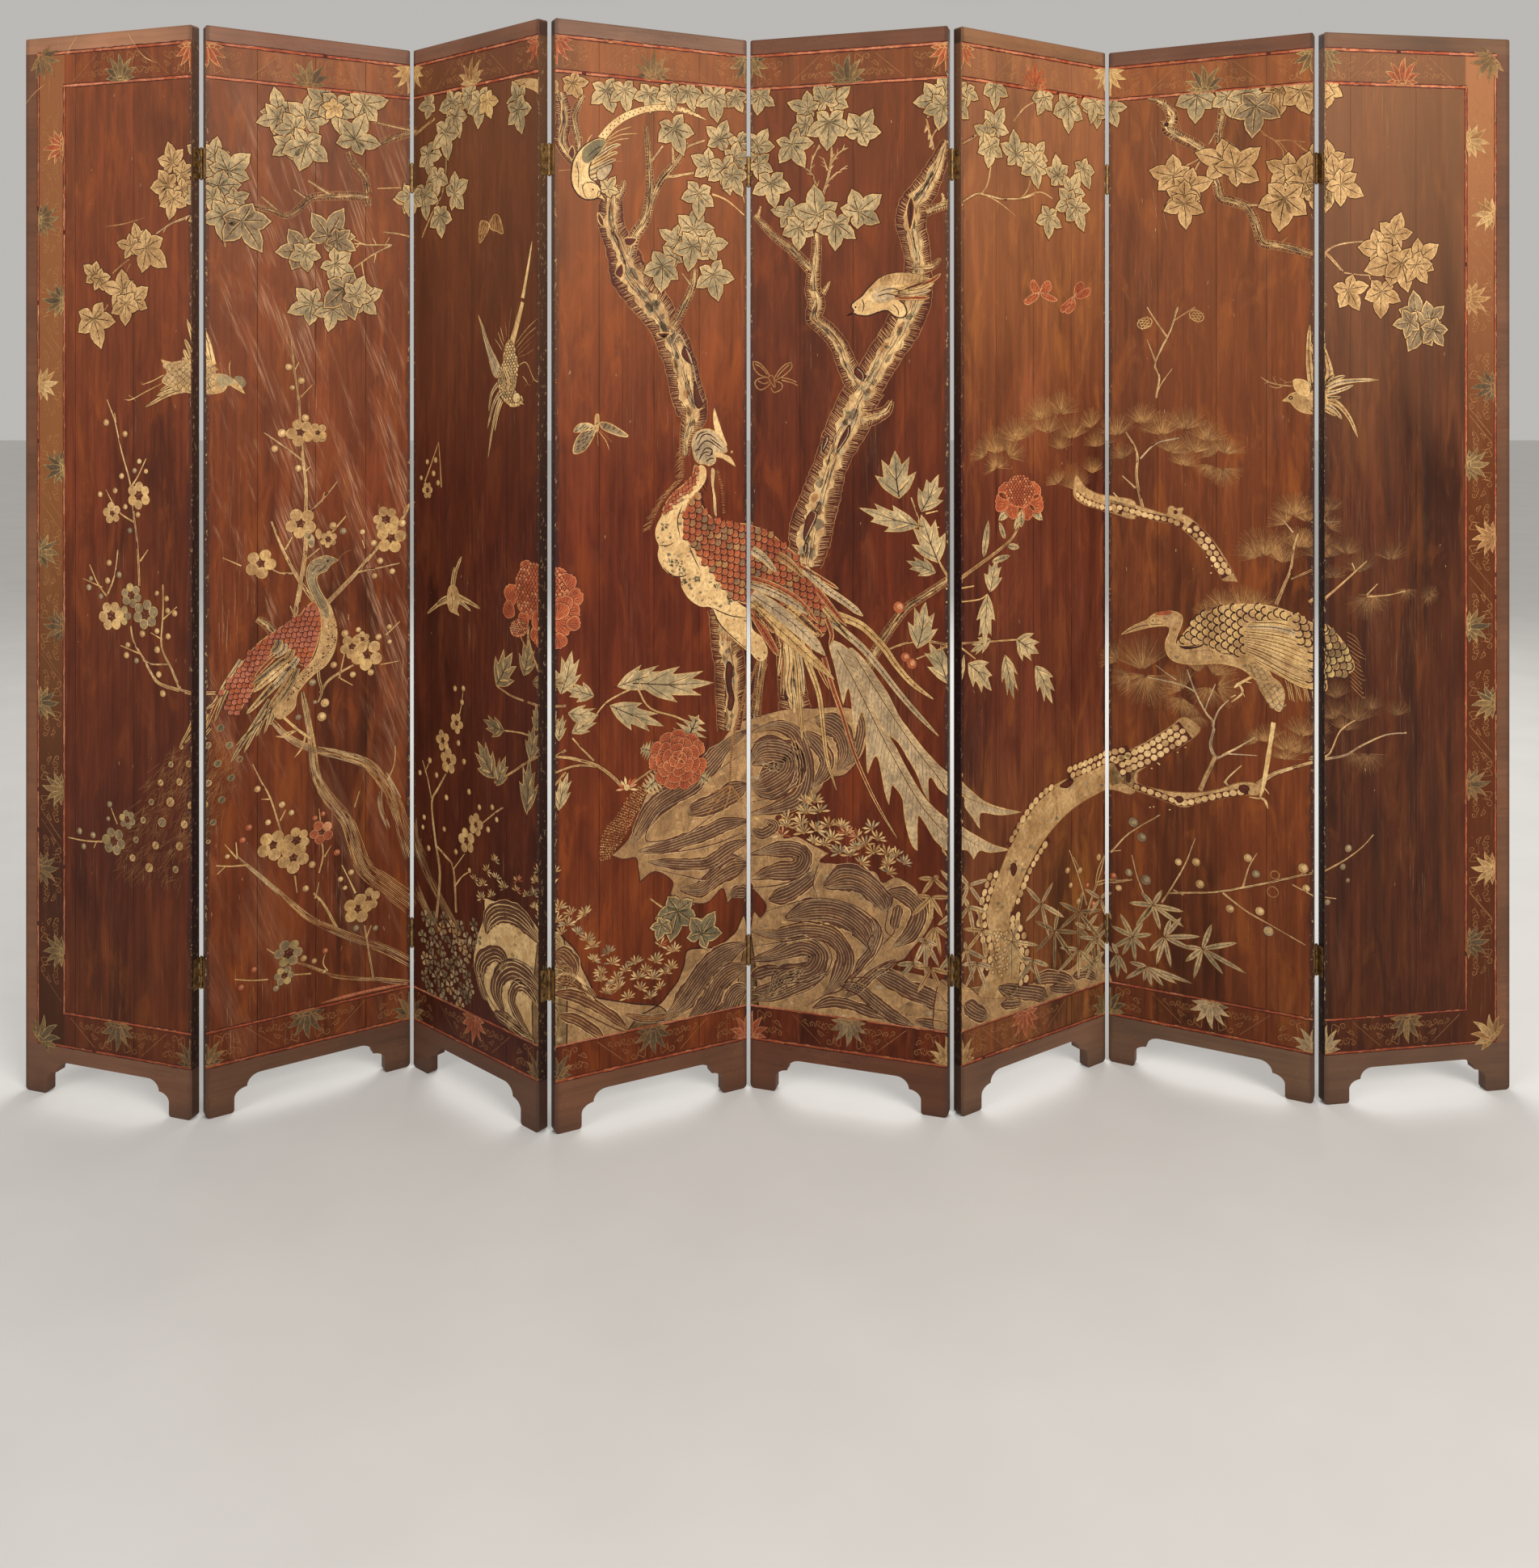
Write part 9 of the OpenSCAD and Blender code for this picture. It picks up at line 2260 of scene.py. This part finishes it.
# pigment: light, dark, share worn away, roughness
PIGMENTS = {
    "gold": ((224, 182, 118), (172, 128, 76), 0.14, 0.45),
    "gold_bright": ((240, 204, 142), (204, 158, 98), 0.08, 0.42),
    "ochre": ((182, 132, 80), (136, 90, 52), 0.22, 0.5),
    "line": ((176, 122, 74), (144, 94, 56), 0.16, 0.5),
    "olive": ((202, 172, 124), (130, 114, 84), 0.16, 0.5),
    "olive_gold": ((200, 166, 104), (134, 110, 70), 0.14, 0.5),
    "tan": ((208, 166, 112), (152, 112, 68), 0.18, 0.5),
    "dull": ((158, 132, 96), (108, 86, 62), 0.18, 0.5),
    "silver": ((208, 176, 132), (146, 122, 92), 0.14, 0.46),
    "cream": ((238, 200, 140), (196, 152, 98), 0.10, 0.48),
    "bark": ((222, 182, 126), (170, 128, 84), 0.16, 0.5),
    "rock": ((158, 118, 80), (110, 80, 56), 0.16, 0.55),
    "rock_light": ((192, 148, 98), (140, 104, 68), 0.14, 0.52),
    "rock_dark": ((106, 66, 44), (82, 52, 36), 0.0, 0.5),
    "coral": ((184, 98, 58), (142, 70, 42), 0.12, 0.5),
    "coral_light": ((220, 158, 112), (178, 110, 74), 0.12, 0.5),
    "rose": ((186, 94, 54), (140, 64, 38), 0.12, 0.5),
    "rose_light": ((220, 142, 94), (178, 102, 64), 0.12, 0.5),
    "red_line": ((206, 126, 88), (160, 86, 56), 0.16, 0.48),
    "maroon": ((92, 38, 24), (70, 28, 18), 0.0, 0.5),
    "dark": ((66, 34, 22), (48, 24, 16), 0.0, 0.5),
    "ground": ((96, 44, 25), (76, 33, 20), 0.0, 0.42),
    "green": ((138, 122, 88), (96, 84, 62), 0.14, 0.5),
    "needle": ((152, 106, 60), (114, 76, 44), 0.06, 0.5),
    "wear": ((206, 168, 122), (150, 108, 76), 0.2, 0.6),
    "hollow": ((114, 70, 44), (90, 54, 35), 0.0, 0.5),
    "strata_grey": ((178, 144, 104), (136, 106, 76), 0.1, 0.5),
    "strata_tan": ((184, 132, 80), (140, 96, 58), 0.1, 0.5),
    "pink": ((188, 110, 82), (150, 78, 56), 0.12, 0.5),
    "red_line_deep": ((186, 92, 52), (144, 64, 38), 0.16, 0.48),
    "needle_light": ((188, 140, 86), (146, 102, 62), 0.06, 0.5),
    "needle_dark": ((112, 76, 46), (88, 58, 36), 0.06, 0.5),
    "lotus": ((148, 114, 72), (106, 80, 50), 0.14, 0.5),
    "lotus_dark": ((112, 90, 62), (82, 64, 44), 0.14, 0.5),
    "moss": ((146, 122, 86), (104, 84, 58), 0.14, 0.5),
    "seam": ((60, 38, 30), (44, 26, 20), 0.0, 0.6),
}


def pigment(name):
    light, dark, worn, rough = PIGMENTS[name]
    k = Mat("paint_" + name, rough, Specular_IOR_Level=0.14)
    u, v, z = k.sep(k.obj)
    big = k.noise(k.map(k.obj, (26, 26, 20)), 1.0, 5, 0.70, 0.5)
    base = k.ramp(big, [(0.34, lin(dark)), (0.48, lin(tuple((a + b) / 2 for a, b in zip(light, dark)))), (0.60, lin(light))])
    small = k.noise(k.map(k.obj, (230, 230, 150)), 1.0, 4, 0.65)
    base = k.mix(k.math("MULTIPLY", k.ramp(small, [(0.38, 1.0), (0.54, 0.0)]), 0.45), base, lin(tuple(x * 0.74 for x in dark)))
    if worn:
        rubbed = k.noise(k.map(k.obj, (170, 170, 60), (3, 1, 2)), 1.0, 5, 0.72, 0.5)
        edge = 0.70 - 0.28 * worn
        base = k.mix(k.ramp(rubbed, [(edge - 0.02, 0.0), (edge + 0.05, 0.8)]), base, lin((104, 52, 30)))
    # painted shade: darker towards the floor
    base = k.mix(1.0, base, shade_to_floor(k, z), "MULTIPLY")
    k.put(k.p.inputs["Base Color"], base)
    k.put(k.p.inputs["Roughness"], k.math("ADD", k.math("MULTIPLY", small, 0.3), rough - 0.1))
    k.bump(k.math("ADD", small, k.math("MULTIPLY", big, 0.5)), 0.3, 0.0006)
    return k.m

# ---- the CAD nodes' materials ------------------------------------------------------------------------------


def dress(obj, mat):
    obj.data.materials.clear()
    obj.data.materials.append(mat)


brass = metal("aged_brass", (166, 130, 78), (94, 70, 44), 0.44)
brass_dark = metal("aged_brass_screws", (112, 88, 56), (58, 45, 30), 0.5)
softwood = bare_wood()
for n in ALL:
    rail, foot = rim(n), rim(n, True)
    dress(nodes[f"panel_{n}_boards"], lacquer(n))
    dress(nodes[f"panel_{n}_top_rail"], rail)
    dress(nodes[f"panel_{n}_apron"], foot)
    dress(nodes[f"panel_{n}_dowels"], softwood)
    dress(nodes[f"panel_{n}_hinge_leaves"], brass)
    dress(nodes[f"panel_{n}_screws"], brass_dark)
    if n in (1, 8):
        dress(nodes[f"panel_{n}_stile"], rim(n, side=True))
    if n < 8:
        dress(nodes[f"hinge_pins_{n}{n + 1}"], brass_dark)

# ---- the paint as thin relief on each panel ----------------------------------------------------------------

EDGE = 1.5


def clip(pts, lo, hi, axis=0):
    for bound, keep in ((lo, 1), (hi, -1)):
        out = []
        for i in range(len(pts)):
            p, q = pts[i], pts[(i + 1) % len(pts)]
            a, b = (p[axis] - bound) * keep, (q[axis] - bound) * keep
            if a >= 0:
                out.append(p)
            if (a >= 0) != (b >= 0):
                t = a / (a - b)
                out.append((p[0] + (q[0] - p[0]) * t, p[1] + (q[1] - p[1]) * t))
        pts = out
        if len(pts) < 3:
            return []
    return pts


def level(faces, lo, hi):
    """The faces between two heights."""
    out = []
    for pts, col, lift in faces:
        a, b = min(p[1] for p in pts), max(p[1] for p in pts)
        if a >= lo and b <= hi:
            out.append((pts, col, lift))
        elif b > lo and a < hi:
            cut = clip(pts, lo, hi, 1)
            if cut and abs(area2(cut)) > 0.05:
                out.append((cut, col, lift))
    return out


def build(name, n, faces, back=False):
    """One mesh of flat paint on panel n, in the row frame, riding on it."""
    cols = sorted({f[1] for f in faces})
    verts, polys, index = [], [], []
    for pts, col, lift in faces:
        first = len(verts)
        if back:
            verts.extend(place(n, W - (p[0] - (n - 1) * W), T + lift, p[1]) for p in pts)
        else:
            verts.extend(place(n, p[0] - (n - 1) * W, -lift, p[1]) for p in pts)
        polys.append(tuple(range(first, len(verts))))
        index.append(cols.index(col))
    me = bpy.data.meshes.new(name)
    me.from_pydata(verts, [], polys)
    for c in cols:
        me.materials.append(PAINT[c])
    me.polygons.foreach_set("material_index", index)
    me.update()
    ob = bpy.data.objects.new(name, me)
    bpy.context.scene.collection.objects.link(ob)
    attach(ob, f"panel_{n}")
    return ob


def split(faces):
    per = {n: [] for n in ALL}
    for pts, col, lift in faces:
        lo, hi = min(p[0] for p in pts), max(p[0] for p in pts)
        a, b = int(lo // W) + 1, int(hi // W) + 1
        for n in range(max(a, 1), min(b, 8) + 1):
            x0, x1 = (n - 1) * W + EDGE, n * W - EDGE
            if lo >= x0 and hi <= x1:
                per[n].append((pts, col, lift))
            else:
                cut = clip(pts, x0, x1)
                if cut and abs(area2(cut)) > 0.05:
                    per[n].append((cut, col, lift))
    return per


PAINT = {name: pigment(name) for name in PIGMENTS}
for n, faces in split(level(BORDER, 30.0, 2126.0)).items():
    build(f"panel_{n}_border", n, faces)
for n, faces in split(level(FACES, IN_LOW + 1.0, IN_TOP - 1.0)).items():
    if faces:
        build(f"panel_{n}_painting", n, faces)
print("paint faces", len(BORDER), len(FACES), {n: sum(len(f[0]) - 2 for f in fs) for n, fs in split(FACES).items()})

# ---- floor and light ---------------------------------------------------------------------------------------

floor_me = bpy.data.meshes.new("floor")
floor_me.from_pydata([(-40, -30, 0), (40, -30, 0), (40, 30, 0), (-40, 30, 0)], [], [(0, 1, 2, 3)])
floor = bpy.data.objects.new("floor", floor_me)
bpy.context.scene.collection.objects.link(floor)
fm = Mat("floor", 0.65, Specular_IOR_Level=0.3)
fm.put(fm.p.inputs["Base Color"], fm.ramp(fm.noise(fm.map(fm.obj, (3, 3, 3)), 1.0, 3), [(0.3, (0.70, 0.69, 0.67, 1)), (0.7, (0.74, 0.73, 0.71, 1))]))
floor_me.materials.append(fm.m)

world = bpy.data.worlds.new("studio")
bpy.context.scene.world = world
world.use_nodes = True
world.node_tree.nodes["Background"].inputs["Color"].default_value = (1.0, 0.97, 0.93, 1)
world.node_tree.nodes["Background"].inputs["Strength"].default_value = 0.5


def lamp(name, at, to, size, power, colour=(1, 1, 1)):
    d = bpy.data.lights.new(name, "AREA")
    d.shape = "RECTANGLE"
    d.size, d.size_y = size
    d.energy = power
    d.color = colour
    o = bpy.data.objects.new(name, d)
    bpy.context.scene.collection.objects.link(o)
    o.location = at
    o.rotation_euler = (Vector(to) - Vector(at)).to_track_quat("-Z", "Y").to_euler()
    return o


lamp("key", (3.4, -5.2, 3.6), (0.1, 0, 1.1), (3.0, 2.6), 330, (1.0, 0.97, 0.92))
lamp("fill", (-4.6, -4.6, 2.6), (0, 0, 1.0), (3.0, 3.0), 130, (0.96, 0.98, 1.0))
lamp("back", (0.5, 4.8, 3.6), (0, 0, 1.0), (4.0, 2.4), 160, (1.0, 0.99, 0.97))
bpy.context.scene.view_settings.view_transform = "Standard"
